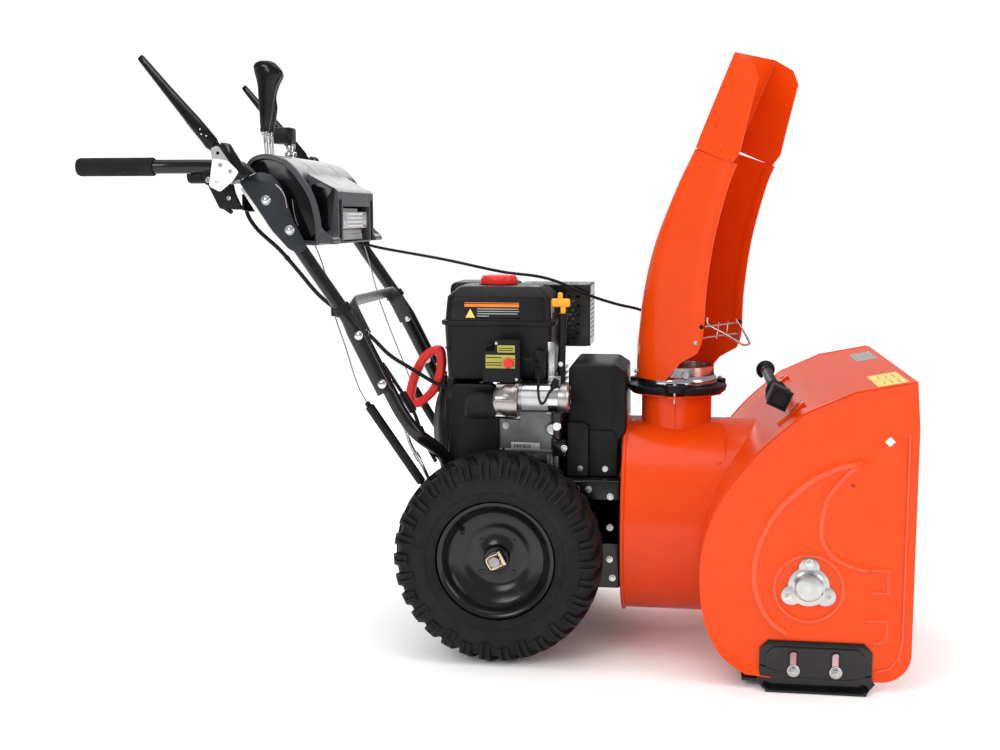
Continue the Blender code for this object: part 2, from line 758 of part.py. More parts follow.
def drive_disc():
    """The disc that the friction wheel runs on, with its stub shaft."""
    profile = [
        (0, 0.150), (0.030, 0.150), (0.030, 0.130), (0.010, 0.130), (0.010, 0.083), (0.058, 0.083),
        (0.058, DISC_FACE), (0, DISC_FACE),
    ]
    return turned("drive_disc", profile, (0, 0, 0.222), (1, 0, 0), ALUMINIUM, 24)


# ---------------------------------------------------------------- engine


def crankcase():
    """The engine's case with its slanted-out cylinder and the dipstick's tube."""
    case = box("crankcase", (-0.033, -0.110, FRAME_TOP + GAP), (0.125, 0.110, 0.455), ALUMINIUM,
               0.006, 1)
    head = box("head", (-0.020, 0.080, 0.386), (0.110, 0.190, 0.495))
    filler = cylinder("filler", DIPSTICK_FOOT, DIPSTICK_TOP, 0.0080, None, 16)
    join(case, head, filler)
    bore = cylinder("bore", (-0.06, 0, CRANK_Z), (0.15, 0, CRANK_Z), CRANK_RADIUS + 2 * GAP, None, 20)
    top = Vector(DIPSTICK_TOP)
    along = (top - Vector(DIPSTICK_FOOT)).normalized()
    well = cylinder("well", top - along * 0.06, top + along * 0.02, 0.0055, None, 12)
    return cut(case, bore, well)


def blower_housing():
    """The fan's shroud, open towards the crankcase."""
    outline = rounded((-0.105, 0.293), (0.105, TANK_BOTTOM - GAP), 0.045, 5)
    shroud = plate("blower_housing", outline, "X", -0.097, -0.034, BLACK_PLASTIC)
    room = plate("room", rounded((-0.102, 0.296), (0.102, 0.4935), 0.042, 5), "X", -0.094, -0.02)
    hole = cylinder("hole", (-0.11, 0, CRANK_Z), (-0.08, 0, CRANK_Z), 0.070)
    return cut(shroud, room, hole)


def recoil_cover():
    """The round cover over the recoil starter."""
    profile = [
        (0.000, -0.0975 - 0.0285), (0.060, -0.126), (0.092, -0.1100), (0.095, -0.0975),
        (0.098, -0.0975), (0.096, -0.1120), (0.063, -0.129), (0.000, -0.129),
    ]
    return turned("recoil_cover", profile, (0, 0, CRANK_Z), (1, 0, 0), BLACK_PLASTIC, 28)


def recoil_handle():
    """The pull ring, a rounded loop that leans along the cord's way out."""
    points = [
        (-0.121, 0.549), (-0.150, 0.524), (-0.170, 0.484), (-0.177, 0.452), (-0.168, 0.440),
        (-0.150, 0.446), (-0.128, 0.470), (-0.114, 0.500), (-0.111, 0.530),
    ]
    ring = [(x, -0.050, z) for x, z in points]
    return tube("recoil_handle", ring, 0.0070, RED, 2, True)


def crankshaft():
    """The crankshaft, with the drive pulley on its front end and the flywheel on its back end."""
    back, front = PULLEY_X
    radius = CRANK_RADIUS
    profile = [
        (0, 0.206), (radius, 0.206), (radius, front), *pulley_rim(ENGINE_PULLEY_RADIUS, 0.008),
        (radius, back), (radius, -0.045), (0.085, -0.045), (0.085, -0.088), (0.070, -0.088),
        (0.070, -0.060), (0.025, -0.060), (0.025, -0.080), (radius, -0.080), (radius, -0.092),
        (0, -0.092),
    ]
    return turned("crankshaft", profile, (0, 0, CRANK_Z), (1, 0, 0), STEEL, 24)


def fuel_tank():
    """The moulded tank: two tapered halves that meet at a seam flange, hollow inside."""
    (back, front), (right, left) = TANK_X, TANK_Y

    def level(height, shrink, corner):
        low = (back + shrink, right + shrink)
        high = (front - shrink, left - shrink)
        return [Vector((x, y, height)) for x, y in rounded(low, high, corner, 4)]

    outer = [
        level(TANK_BOTTOM, 0.014, 0.020), level(0.560, 0.008, 0.024), level(0.597, 0.003, 0.028),
        level(TANK_SEAM, 0.0, 0.030), level(0.609, 0.003, 0.028), level(0.645, 0.006, 0.030),
        level(0.662, 0.014, 0.026), level(TANK_TOP, 0.028, 0.020),
    ]
    inner = [
        level(TANK_BOTTOM + 0.004, 0.019, 0.018), level(0.600, 0.010, 0.022),
        level(0.642, 0.011, 0.022), level(TANK_TOP - 0.004, 0.030, 0.018),
    ]
    tank = loft("fuel_tank", outer, BLACK_PLASTIC)
    neck = cylinder("neck", (*FILLER, TANK_TOP - 0.02), (*FILLER, TANK_TOP + 0.02), 0.021)
    return cut(tank, loft("fuel_room", inner), neck)


def fuel_cap():
    base = TANK_TOP + GAP
    profile = [
        (0, base + 0.016), (0.028, base + 0.016), (0.0325, base + 0.012), (0.0325, base),
        (0.0200, base), (0.0200, base - 0.012), (0, base - 0.012),
    ]
    return turned("fuel_cap", profile, (*FILLER, 0), (0, 0, 1), RED, 24)


def carburettor_cover():
    """The warm-air box over the carburettor."""
    return box("carburettor_cover", (-0.117, 0.0555, 0.500), (0.019, 0.175, 0.670), BLACK_PLASTIC,
               0.012)


def muffler_guard():
    """The silencer's perforated guard, open below."""
    guard = box("muffler_guard", (0.020, 0.0555, 0.545), (0.164, 0.175, 0.667), BLACK_PAINT, 0.004)
    return cut(guard, box("room", (0.023, 0.0585, 0.530), (0.161, 0.172, 0.664)))


def control_panel():
    """The engine's switch panel, with a round hole for the key."""
    panel = box("control_panel", (-0.015, -0.165, 0.4985), (0.053, -0.1305, 0.577), BLACK_PLASTIC,
                0.003, 1)
    return cut(panel, cylinder("hole", (0.033, -0.18, 0.535), (0.033, -0.145, 0.535), 0.0045))


def engine_key():
    """The red stop key: pulled out, it stops the engine."""
    face = -0.165
    key = cylinder("engine_key", (0.033, face - GAP, 0.535), (0.033, face - 0.010, 0.535), 0.0095,
                   RED, 24)
    stem = cylinder("stem", (0.033, face - 0.005, 0.535), (0.033, face + 0.017, 0.535), 0.0040)
    return join(key, stem)


def starter_motor():
    """The electric starter: its motor, and its drive end set lower beside the flywheel."""
    y, z = STARTER
    motor = [
        (0, 0.145), (0.024, 0.145), (0.0272, 0.142), (0.0272, 0.014), (0.024, 0.011), (0, 0.011),
    ]
    drive = [
        (0, 0.046), (0.0250, 0.046), (0.0270, 0.040), (0.0270, 0.012), (0.0245, 0.008),
        (0.0245, -0.046), (0.0225, -0.050), (0, -0.050),
    ]
    starter = turned("starter_motor", motor, (0, y, z), (1, 0, 0), ZINC, 24)
    return join(starter, turned("drive", drive, (0, y, STARTER_DRIVE_Z), (1, 0, 0), None, 24))


def dipstick():
    """The oil dipstick's stem and T-shaped handle."""
    top = Vector(DIPSTICK_TOP)
    along = (top - Vector(DIPSTICK_FOOT)).normalized()
    stem = cylinder("dipstick", top - along * 0.055, top + along * 0.022, 0.0048, YELLOW, 12)
    collar = cylinder("collar", top + along * GAP, top + along * 0.016, 0.0090)
    handle = box("handle", (0.109, -0.110, 0.634), (0.141, -0.098, 0.650))
    nub = box("nub", (0.115, -0.108, 0.645), (0.125, -0.100, 0.661))
    return join(stem, collar, handle, nub)


def belt_cover():
    """The cover over the belt and engine pulley, open below."""
    back, front = BELT_COVER_X
    half = BELT_COVER_HALF_WIDTH
    bottom = TOWER_TOP + GAP
    outline = [(-half, bottom), (half, bottom)]
    outline += arc((half - 0.03, BELT_COVER_TOP - 0.03), 0.03, 0, 90, 4)
    outline += arc((0.03 - half, BELT_COVER_TOP - 0.03), 0.03, 90, 180, 4)
    cover = plate("belt_cover", outline, "X", back, front, BLACK_PLASTIC)
    room = box("room", (back + 0.003, 0.004 - half, bottom - 0.01),
               (front - 0.003, half - 0.004, BELT_COVER_TOP - 0.012))
    shaft = cylinder("shaft", (back - 0.01, 0, CRANK_Z), (back + 0.01, 0, CRANK_Z), 0.016)
    return cut(cover, room, shaft)


# ---------------------------------------------------------------- handles and controls


def lower_handle(side, sign):
    """The lower tube, from inside the upper tube's end to the frame's top."""
    y = sign * LOWER_HANDLE_Y
    points = [
        (-0.250, y, 0.614), (-0.187, y, 0.492), (-0.160, y, 0.440), (-0.132, y, 0.404),
        (-0.106, sign * 0.152, 0.374), (-0.092, sign * 0.127, 0.350), (-0.087, sign * 0.125, 0.325),
        (-0.087, sign * 0.125, FRAME_TOP + GAP),
    ]
    return tube(f"lower_handle_{side}", points, HANDLE_RADIUS, BLACK_PAINT)


def upper_handle(side, sign):
    """The upper tube, from the bolts up past the control panel and back into the grip."""
    y = sign * HANDLE_Y
    points = [
        (GRIP_X[0] + 0.003, sign * GRIP_Y, GRIP_Z), (-0.575, sign * GRIP_Y, GRIP_Z),
        (-0.500, sign * 0.236, 0.888), (-0.455, sign * 0.221, 0.889), (-0.436, y, 0.882),
        (-0.411, y, 0.850), (-0.338, y, 0.741), (-0.257, y, 0.626), (-0.235, y, 0.585),
        (-0.184, y, 0.484),
    ]
    return tube(f"upper_handle_{side}", points, HANDLE_RADIUS, BLACK_PAINT)


def grip(side, sign):
    back, front = GRIP_X
    bore = HANDLE_RADIUS + GAP
    radius = 0.0165
    profile = [
        (0, back + 0.0025), (bore, back + 0.0025), (bore, front), (radius, front), (radius, back + 0.003),
        (radius - 0.003, back), (0, back),
    ]
    return turned(f"grip_{side}", profile, (0, sign * GRIP_Y, GRIP_Z), (1, 0, 0), RUBBER, 20)


def handle_brace():
    """A flat bar bent to a U, bolted inside the two lower handles."""
    across = Vector((0.87, 0, 0.49)).normalized() * 0.014
    inner = LOWER_HANDLE_Y - HANDLE_RADIUS - GAP
    thickness = 0.004
    foot = Vector((-0.232, 0, 0.583))
    head = Vector((-0.262, 0, 0.643))
    lift = (head - foot).normalized()
    outer_path = [foot + Vector((0, -inner, 0)), head + Vector((0, -inner, 0)),
                  head + Vector((0, inner, 0)), foot + Vector((0, inner, 0))]
    inner_path = [foot + Vector((0, thickness - inner, 0)),
                  head + Vector((0, thickness - inner, 0)) - lift * thickness,
                  head + Vector((0, inner - thickness, 0)) - lift * thickness,
                  foot + Vector((0, inner - thickness, 0))]
    sections = [
        [out - across, out + across, into + across, into - across]
        for out, into in zip(outer_path, inner_path)
    ]
    return loft("handle_brace", sections, BLACK_PAINT)


def dashboard():
    """The hood between the handles, open below and behind, with slots for the levers."""
    half = DASH_HALF_WIDTH
    hood = plate("dashboard", DASH_PROFILE, "Y", -half, half, GLOSS_PLASTIC)
    wall = 0.003
    inner = offset_line(DASH_PROFILE, -wall)
    away = Vector((-0.785, -0.62)) * 0.02
    first = Vector(inner[0]) + away
    last = Vector(inner[-1]) + away
    room = plate("room", [*inner, tuple(last), tuple(first)], "Y", wall - half, half - wall)
    cut(hood, room)
    skin = offset_line(DASH_PROFILE, -wall / 2)[5:10]
    boss = [*skin, (-0.290, 0.748), (-0.284, 0.756), (-0.286, 0.846), (-0.293, 0.853)]
    join(hood, plate("lamp_boss", boss, "Y", -LAMP_HALF_WIDTH, LAMP_HALF_WIDTH))
    for y in SHIFT_LEVER_Y.values():
        cut(hood, box("slot", (-0.466, y - 0.006, 0.83), (-0.405, y + 0.006, 0.93)))
    x, y = KNOB
    return cut(hood, cylinder("knob_hole", (x, y, 0.86), (x, y, 0.94), 0.0130, None, 20))


def lever_bracket(side, sign):
    """The plate and spacer that carry a clutch lever beside the handle."""
    x, z = LEVER_PIVOT
    outline = [(-0.480, 0.912), (-0.476, 0.858), (-0.458, 0.852), (-0.428, 0.878), (-0.448, 0.906),
               (-0.466, 0.921)]
    low, high = sorted((sign * 0.2595, sign * 0.2625))
    bracket = plate(f"lever_bracket_{side}", outline[::-1], "Y", low, high, ZINC)
    low, high = sorted((sign * 0.2375, sign * 0.2605))
    spacer = box("spacer", (-0.4700, low, 0.862), (-0.4400, high, 0.871))
    join(bracket, spacer)
    hole = cylinder("hole", (x, sign * 0.25, z), (x, sign * 0.28, z), 0.0045, None, 20)
    return cut(bracket, hole)


def clutch_lever(name, sign):
    """A flat bar with a pin; it folds down onto the grip."""
    x, z = LEVER_PIVOT
    tip = Vector((LEVER_TIP[0], 0, LEVER_TIP[1]))
    foot = Vector((-0.437, 0, 0.860))
    along = (tip - foot).normalized()
    across = Vector((along.z, 0, -along.x)) * 0.0105
    near, far = Vector((0, LEVER_Y * sign - 0.0035, 0)), Vector((0, LEVER_Y * sign + 0.0035, 0))
    sections = [
        [place - across + near, place + across + near, place + across + far, place - across + far]
        for place in (foot, tip)
    ]
    lever = loft(name, sections, BLACK_PAINT)
    pin = cylinder("pin", (x, sign * 0.2590, z), (x, sign * 0.2700, z), 0.0040, None, 16)
    return join(lever, pin)


def shift_lever(name):
    """A moulded handle on a steel rod that swings fore and aft in the hood's slot."""
    x, z = SHIFT_PIVOT
    y = SHIFT_LEVER_Y[name]
    rod = cylinder(name, (x, y, z), (-0.445, y, 0.985), 0.0040, GLOSS_PLASTIC, 12)
    sections = []
    for height, middle, depth, width in (
        (0.962, -0.4435, 0.0085, 0.0085), (0.985, -0.4415, 0.0115, 0.0105),
        (1.025, -0.4392, 0.0158, 0.0120), (1.045, -0.4365, 0.0195, 0.0130),
        (1.064, -0.4335, 0.0270, 0.0140), (1.080, -0.4400, 0.0235, 0.0135),
        (1.0905, -0.4410, 0.0120, 0.0080),
    ):
        turn = [math.radians(a) for a in range(0, 360, 30)]
        sections.append([
            Vector((middle + depth * math.cos(a), y + width * math.sin(a), height)) for a in turn
        ])
    return join(rod, loft("handle", sections))


def deflector_knob():
    """The knob beside the levers, on a round neck."""
    x, y = KNOB
    neck = cylinder("deflector_knob", (x, y, 0.880), (x, y, 0.948), 0.0100, GLOSS_PLASTIC, 20)
    head = box("head", (-0.466, y - 0.016, 0.942), (-0.428, y + 0.016, 0.976))
    return join(neck, head)


def chute_cable():
    """The cable from the hood's front, past the tank, to the far side of the chute's ring."""
    route = [
        (-0.3010, 0.100, 0.7435), (-0.256, 0.085, 0.729), (-0.125, 0.030, 0.711),
        (-0.010, 0.030, 0.6875), (0.060, 0.030, 0.6795), (0.105, 0.032, 0.668),
        (0.165, 0.040, 0.643), (0.215, 0.085, 0.627), (0.262, 0.130, 0.612),
        (0.305, 0.150, 0.585), (0.332, 0.148, 0.535), (0.338, 0.132, 0.495), (0.340, 0.120, 0.462),
    ]
    return tube("chute_cable", smooth_line(route, 4), 0.0030, RUBBER)


def wiring_loom():
    """The sheathed wires from under the hood, inside the right handle, to the engine."""
    route = [
        (-0.440, -0.140, 0.845), (-0.464, -0.140, 0.815), (-0.447, -0.140, 0.779),
        (-0.401, -0.140, 0.737), (-0.364, -0.142, 0.696), (-0.326, -0.145, 0.654),
        (-0.285, -0.125, 0.616), (-0.246, -0.085, 0.575), (-0.208, -0.080, 0.537),
        (-0.165, -0.080, 0.511), (-0.125, -0.078, 0.487), (-0.0985, -0.075, 0.475),
    ]
    return tube("wiring_loom", smooth_line(route, 3), 0.0040, RUBBER)


def build():
    for side, sign in SIDES.items():
        side_plate(side, sign)
        bearing_flange(side, sign)
        lower_handle(side, sign)
        upper_handle(side, sign)
        grip(side, sign)
        lever_bracket(side, sign)
        shoe = skid_shoe(side, sign)
        pivot(f"shoe_slide_{side}", (0.576, sign * CLEARING_WIDTH / 2, 0.045), shoe)
    for make in (
        housing_wrap, impeller_drum, scraper_bar, auger_gearbox, chute_collar_ring, belt_cover,
        tractor_frame, auger_belt, crankcase, blower_housing, recoil_cover, fuel_tank,
        carburettor_cover, muffler_guard, control_panel, starter_motor, handle_brace, dashboard,
        cleanout_tool, chute_cable, wiring_loom,
    ):
        make()
    flights = [auger_ribbon(side, sign) for side, sign in SIDES.items()]
    pivot("auger_pivot", (AUGER_AXIS[0], 0, AUGER_AXIS[1]), auger_shaft(), *flights)
    pivot("impeller_pivot", (0.3, 0, IMPELLER_Z), impeller_shaft(), impeller())
    wheels = [make(side, sign) for make in (tyre, rim) for side, sign in SIDES.items()]
    pivot("axle_pivot", (AXLE[0], 0, AXLE[1]), axle(), *wheels)
    pivot("hex_pivot", (HEX_SHAFT[0], 0, HEX_SHAFT[1]), hex_shaft(), friction_wheel())
    pivot("disc_pivot", (DISC_FACE, 0, 0.222), drive_disc())
    pivot("crank_pivot", (0, 0, CRANK_Z), crankshaft())
    turntable = pivot("chute_pivot", (CHUTE_X, 0, RING_TOP), chute())
    tipping = pivot("deflector_pivot", chute_point(*DEFLECTOR_PIVOT), chute_deflector())
    tipping.parent = turntable
    tipping.matrix_parent_inverse = turntable.matrix_world.inverted()
    pivot("recoil_pull", (-0.112, -0.050, 0.500), recoil_handle())
    pivot("cap_pivot", (*FILLER, TANK_TOP), fuel_cap())
    pivot("dipstick_pull", DIPSTICK_TOP, dipstick())
    pivot("key_pull", (0.033, -0.165, 0.535), engine_key())
    for name, sign in (("auger_lever", -1), ("drive_lever", 1)):
        pivot(name + "_pivot", (LEVER_PIVOT[0], sign * LEVER_Y, LEVER_PIVOT[1]),
              clutch_lever(name, sign))
    for name, y in SHIFT_LEVER_Y.items():
        pivot(name + "_pivot", (SHIFT_PIVOT[0], y, SHIFT_PIVOT[1]), shift_lever(name))
    pivot("knob_pivot", (*KNOB, 0.94), deflector_knob())


build()
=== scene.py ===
"""The looks of a two-stage snow blower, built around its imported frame. Sizes are in metres:
+X is forward, +Y is the machine's left and +Z is up, as in the frame."""

import json
import math

import bmesh
import bpy
from mathutils import Matrix, Vector
from mathutils.geometry import delaunay_2d_cdt

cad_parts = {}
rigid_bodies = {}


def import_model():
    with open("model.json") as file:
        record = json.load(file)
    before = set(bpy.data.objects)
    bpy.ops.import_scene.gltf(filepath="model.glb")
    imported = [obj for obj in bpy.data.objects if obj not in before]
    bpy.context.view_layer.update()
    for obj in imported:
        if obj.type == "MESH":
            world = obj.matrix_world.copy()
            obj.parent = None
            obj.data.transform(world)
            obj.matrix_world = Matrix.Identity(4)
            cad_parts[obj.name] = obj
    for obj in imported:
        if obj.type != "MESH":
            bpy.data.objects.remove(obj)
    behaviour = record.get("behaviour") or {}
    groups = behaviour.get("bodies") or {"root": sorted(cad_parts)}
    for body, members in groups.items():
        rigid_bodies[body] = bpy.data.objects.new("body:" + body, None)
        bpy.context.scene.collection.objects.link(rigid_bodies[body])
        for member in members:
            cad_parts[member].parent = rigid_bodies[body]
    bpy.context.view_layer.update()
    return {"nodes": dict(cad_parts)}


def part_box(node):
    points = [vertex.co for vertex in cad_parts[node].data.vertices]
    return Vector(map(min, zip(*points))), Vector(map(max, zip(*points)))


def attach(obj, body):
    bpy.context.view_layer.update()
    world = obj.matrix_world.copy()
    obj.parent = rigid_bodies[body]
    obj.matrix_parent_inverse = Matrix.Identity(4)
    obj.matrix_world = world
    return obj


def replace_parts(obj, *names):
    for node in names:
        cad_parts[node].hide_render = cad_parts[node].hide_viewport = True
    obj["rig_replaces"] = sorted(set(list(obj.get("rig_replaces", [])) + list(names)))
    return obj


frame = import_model()
node_slot = {n: o.data.materials[0].name.split(".")[0] for n, o in frame["nodes"].items()}

# ------------------------------------------------------------------ materials


def procedural(name, colour, roughness, metallic=0.0, coat=0.0, grain=(900, 0.0001), blotch=0.08,
               rough_span=0.08, specular=0.5, brushed=None, clear=0.0):
    """A material whose colour, gloss and surface all vary a little from noise in object space."""
    made = bpy.data.materials.new(name)
    made.use_nodes = True
    tree = made.node_tree
    shader = tree.nodes["Principled BSDF"]
    coords = tree.nodes.new("ShaderNodeTexCoord")
    mapping = tree.nodes.new("ShaderNodeMapping")
    mapping.inputs["Scale"].default_value = brushed or (1, 1, 1)
    tree.links.new(coords.outputs["Object"], mapping.inputs["Vector"])

    def noise(scale, detail, source=mapping):
        made_noise = tree.nodes.new("ShaderNodeTexNoise")
        made_noise.inputs["Scale"].default_value = scale
        made_noise.inputs["Detail"].default_value = detail
        tree.links.new(source.outputs[0 if source is mapping else "Object"],
                       made_noise.inputs["Vector"])
        return made_noise.outputs["Fac"]

    def spread(source, low, high):
        ranged = tree.nodes.new("ShaderNodeMapRange")
        ranged.inputs["From Min"].default_value = 0.3
        ranged.inputs["From Max"].default_value = 0.7
        ranged.inputs["To Min"].default_value = low
        ranged.inputs["To Max"].default_value = high
        tree.links.new(source, ranged.inputs["Value"])
        return ranged.outputs["Result"]

    mix = tree.nodes.new("ShaderNodeMix")
    mix.data_type = "RGBA"
    mix.inputs["A"].default_value = (*(min(c * (1 + blotch), 1) for c in colour), 1)
    mix.inputs["B"].default_value = (*(c * (1 - blotch) for c in colour), 1)
    tree.links.new(spread(noise(22, 5), 0, 1), mix.inputs["Factor"])
    tree.links.new(mix.outputs["Result"], shader.inputs["Base Color"])
    low, high = roughness - rough_span / 2, roughness + rough_span / 2
    tree.links.new(spread(noise(60, 6), max(low, 0.02), high), shader.inputs["Roughness"])
    bump = tree.nodes.new("ShaderNodeBump")
    bump.inputs["Strength"].default_value = 1.0
    bump.inputs["Distance"].default_value = grain[1]
    tree.links.new(noise(grain[0], 3), bump.inputs["Height"])
    tree.links.new(bump.outputs["Normal"], shader.inputs["Normal"])
    shader.inputs["Metallic"].default_value = metallic
    shader.inputs["Specular IOR Level"].default_value = specular
    shader.inputs["Coat Weight"].default_value = coat
    shader.inputs["Coat Roughness"].default_value = 0.06
    shader.inputs["Transmission Weight"].default_value = clear
    return made


LOOKS = {
    "orange": procedural("orange_enamel", (0.72, 0.056, 0.003), 0.22, coat=0.08, specular=0.22,
                         grain=(300, 0.00004), blotch=0.03, rough_span=0.08),
    # A paler orange for strips along the side plates' beads: painted highlight where light catches the
    # raised beads.
    "orange_bead_highlight": procedural("orange_painted_bead_highlight", (0.70, 0.080, 0.022), 0.30, coat=0.10, specular=0.4,
                              grain=(300, 0.00004), blotch=0.03, rough_span=0.08),
    "black_paint": procedural("black_enamel", (0.0055, 0.0055, 0.006), 0.20, specular=0.45,
                              grain=(500, 0.00003), blotch=0.2, rough_span=0.10),
    "satin": procedural("satin_black_coat", (0.040, 0.040, 0.047), 0.34, specular=0.45,
                        grain=(800, 0.00005), blotch=0.12, rough_span=0.12),
    "plastic": procedural("moulded_black_plastic", (0.0065, 0.0065, 0.0075), 0.44, specular=0.22,
                          grain=(1300, 0.00008), blotch=0.2, rough_span=0.14),
    "gloss": procedural("gloss_black_plastic", (0.004, 0.004, 0.005), 0.13, specular=0.32,
                        grain=(110, 0.00002), blotch=0.15, rough_span=0.05),
    # A grey base colour for the glossy black hood and lamp frame: painted reflection of the room in the
    # black's gloss.
    "hood_painted_reflection_grey": procedural("black_moulding_painted_reflection_grey", (0.052, 0.050, 0.058), 0.32, specular=0.32,
                            grain=(700, 0.00005), blotch=0.06, rough_span=0.08),
    "tyre": procedural("tyre_rubber", (0.0075, 0.0075, 0.0085), 0.60, grain=(650, 0.00016),
                       blotch=0.35, rough_span=0.22, specular=0.22),
    "rubber": procedural("soft_rubber", (0.011, 0.011, 0.012), 0.66, grain=(900, 0.00014),
                         blotch=0.2, rough_span=0.18, specular=0.2),
    "zinc": procedural("zinc_plate", (0.58, 0.59, 0.58), 0.30, 1.0, grain=(350, 0.00010),
                       blotch=0.14, rough_span=0.22),
    "chrome": procedural("bright_steel", (0.66, 0.66, 0.67), 0.16, 1.0, grain=(500, 0.00004),
                         blotch=0.08, rough_span=0.14),
    "aluminium": procedural("cast_aluminium", (0.25, 0.255, 0.26), 0.44, 1.0,
                            grain=(520, 0.00035), blotch=0.16, rough_span=0.24),
    "nickel": procedural("satin_nickel", (0.46, 0.43, 0.40), 0.30, 1.0, grain=(420, 0.00010),
                         blotch=0.12, rough_span=0.18),
    "steel": procedural("turned_steel", (0.30, 0.30, 0.31), 0.36, 1.0, grain=(600, 0.00010),
                        blotch=0.2, rough_span=0.24),
    "brass": procedural("yellow_zinc", (0.74, 0.56, 0.34), 0.30, 1.0, grain=(400, 0.00008),
                        blotch=0.2, rough_span=0.2),
    "red": procedural("red_plastic", (0.70, 0.020, 0.014), 0.38, specular=0.4,
                      grain=(900, 0.00008), blotch=0.06, rough_span=0.1),
    "yellow": procedural("yellow_plastic", (0.86, 0.36, 0.012), 0.40, specular=0.35,
                         grain=(900, 0.00008), blotch=0.06, rough_span=0.1),
    "white": procedural("white_plastic", (0.74, 0.74, 0.73), 0.40, grain=(900, 0.00006),
                        blotch=0.05),
    "label_yellow": procedural("plain_yellow_label", (0.36, 0.34, 0.06), 0.36, specular=0.3,
                               grain=(700, 0.00003), blotch=0.10),
    "label_gold": procedural("plain_gold_label", (0.78, 0.60, 0.14), 0.36, specular=0.3,
                             grain=(700, 0.00003), blotch=0.08),
    "label_orange": procedural("plain_orange_label", (0.82, 0.20, 0.02), 0.34, specular=0.3,
                               grain=(700, 0.00003), blotch=0.06),
    "label_silver": procedural("plain_silver_label", (0.55, 0.56, 0.57), 0.30, 0.6,
                               grain=(700, 0.00004), blotch=0.12),
    # Grey for printed lines on labels, and as painted shade on the shaded upper part of the white lever
    # plates.
    "grey_print_and_painted_shade": procedural("plain_grey_print_and_painted_shade", (0.30, 0.30, 0.30), 0.42, grain=(700, 0.00003),
                             blotch=0.1),
    "steel_blue": procedural("dark_coated_steel", (0.014, 0.017, 0.022), 0.34, 0.2, specular=0.4,
                             grain=(700, 0.00005), blotch=0.2, rough_span=0.14),
    "lens": procedural("clear_lens", (0.60, 0.62, 0.68), 0.10, coat=0.4, grain=(260, 0.00006),
                       blotch=0.06, rough_span=0.06, clear=0.35),
    # Near-black for printed marks and seams, and as painted shade in the lamp's recess and behind the
    # recoil cover's slots.
    "dark": procedural("marks_and_painted_shade_black", (0.003, 0.003, 0.003), 0.80, grain=(900, 0.0001),
                       blotch=0.3, specular=0.1),
}
SLOT_LOOKS = {
    "orange_paint": "orange", "black_paint": "black_paint", "black_plastic": "plastic",
    "gloss_plastic": "gloss", "tyre_rubber": "tyre", "soft_rubber": "rubber", "zinc": "zinc",
    "aluminium": "aluminium", "steel": "steel", "red_plastic": "red", "yellow_plastic": "yellow",
}

# ------------------------------------------------------------------ shapes

PLANES = {
    "X": Matrix(((0, 0, 1, 0), (1, 0, 0, 0), (0, 1, 0, 0), (0, 0, 0, 1))),
    "Y": Matrix(((1, 0, 0, 0), (0, 0, -1, 0), (0, 1, 0, 0), (0, 0, 0, 1))),
    "Z": Matrix.Identity(4),
}
DIRECTIONS = {"X": Vector((1, 0, 0)), "Y": Vector((0, 1, 0)), "Z": Vector((0, 0, 1))}


def facing(axis):
    """The rotation that turns +Z to the given direction."""
    return Vector((0, 0, 1)).rotation_difference(Vector(axis)).to_matrix().to_4x4()


def arc(centre, radius, start, end, count):
    """Points on an arc, from start to end in degrees."""
    angles = [math.radians(start + (end - start) * i / count) for i in range(count + 1)]
    return [(centre[0] + radius * math.cos(a), centre[1] + radius * math.sin(a)) for a in angles]


def rounded(low, high, radius, count=6):
    """A rectangle's outline with round corners."""
    inner = [
        (high[0] - radius, high[1] - radius, 0), (low[0] + radius, high[1] - radius, 90),
        (low[0] + radius, low[1] + radius, 180), (high[0] - radius, low[1] + radius, 270),
    ]
    return [p for x, y, a in inner for p in arc((x, y), radius, a, a + 90, count)]


def softened(outline, radius, count=4):
    """A closed outline with each of its corners rounded by up to radius."""
    made = []
    for i, here in enumerate(outline):
        here = Vector(here)
        before, after = Vector(outline[i - 1]), Vector(outline[(i + 1) % len(outline)])
        reach = min(radius, (before - here).length * 0.45, (after - here).length * 0.45)
        start = here + (before - here).normalized() * reach
        end = here + (after - here).normalized() * reach
        for step in range(count + 1):
            t = step / count
            made.append(tuple(start * (1 - t) ** 2 + here * 2 * t * (1 - t) + end * t * t))
    return made


def smooth_line(points, steps):
    """A Catmull-Rom curve through the points, with steps pieces to each span."""
    rows = [Vector(p) for p in points]
    rows = [2 * rows[0] - rows[1], *rows, 2 * rows[-1] - rows[-2]]
    line = []
    for a, b, c, d in zip(rows, rows[1:], rows[2:], rows[3:]):
        for i in range(steps):
            t = i / steps
            line.append(
                0.5 * (2 * b + (c - a) * t + (2 * a - 5 * b + 4 * c - d) * t * t
                       + (3 * b - a - 3 * c + d) * t ** 3)
            )
    return [tuple(p) for p in line] + [tuple(rows[-2])]


def smooth_loop(points, steps):
    """A closed Catmull-Rom curve through the points."""
    count = len(points)
    wrapped = [points[(i - 1) % count] for i in range(count + 3)]
    line = smooth_line(wrapped, steps)
    return line[steps:steps * (count + 1)]


def offset_line(points, distance):
    """The line moved to its left by distance."""
    moved = []
    for i, point in enumerate(points):
        before = Vector(points[max(i - 1, 0)])
        after = Vector(points[min(i + 1, len(points) - 1)])
        along = (after - before).normalized()
        moved.append((point[0] - along.y * distance, point[1] + along.x * distance))
    return moved


def lift(points, axis, at):
    """Flat points put in space on the plane across axis."""
    return [PLANES[axis] @ Vector((*p, 0)) + DIRECTIONS[axis] * at for p in points]


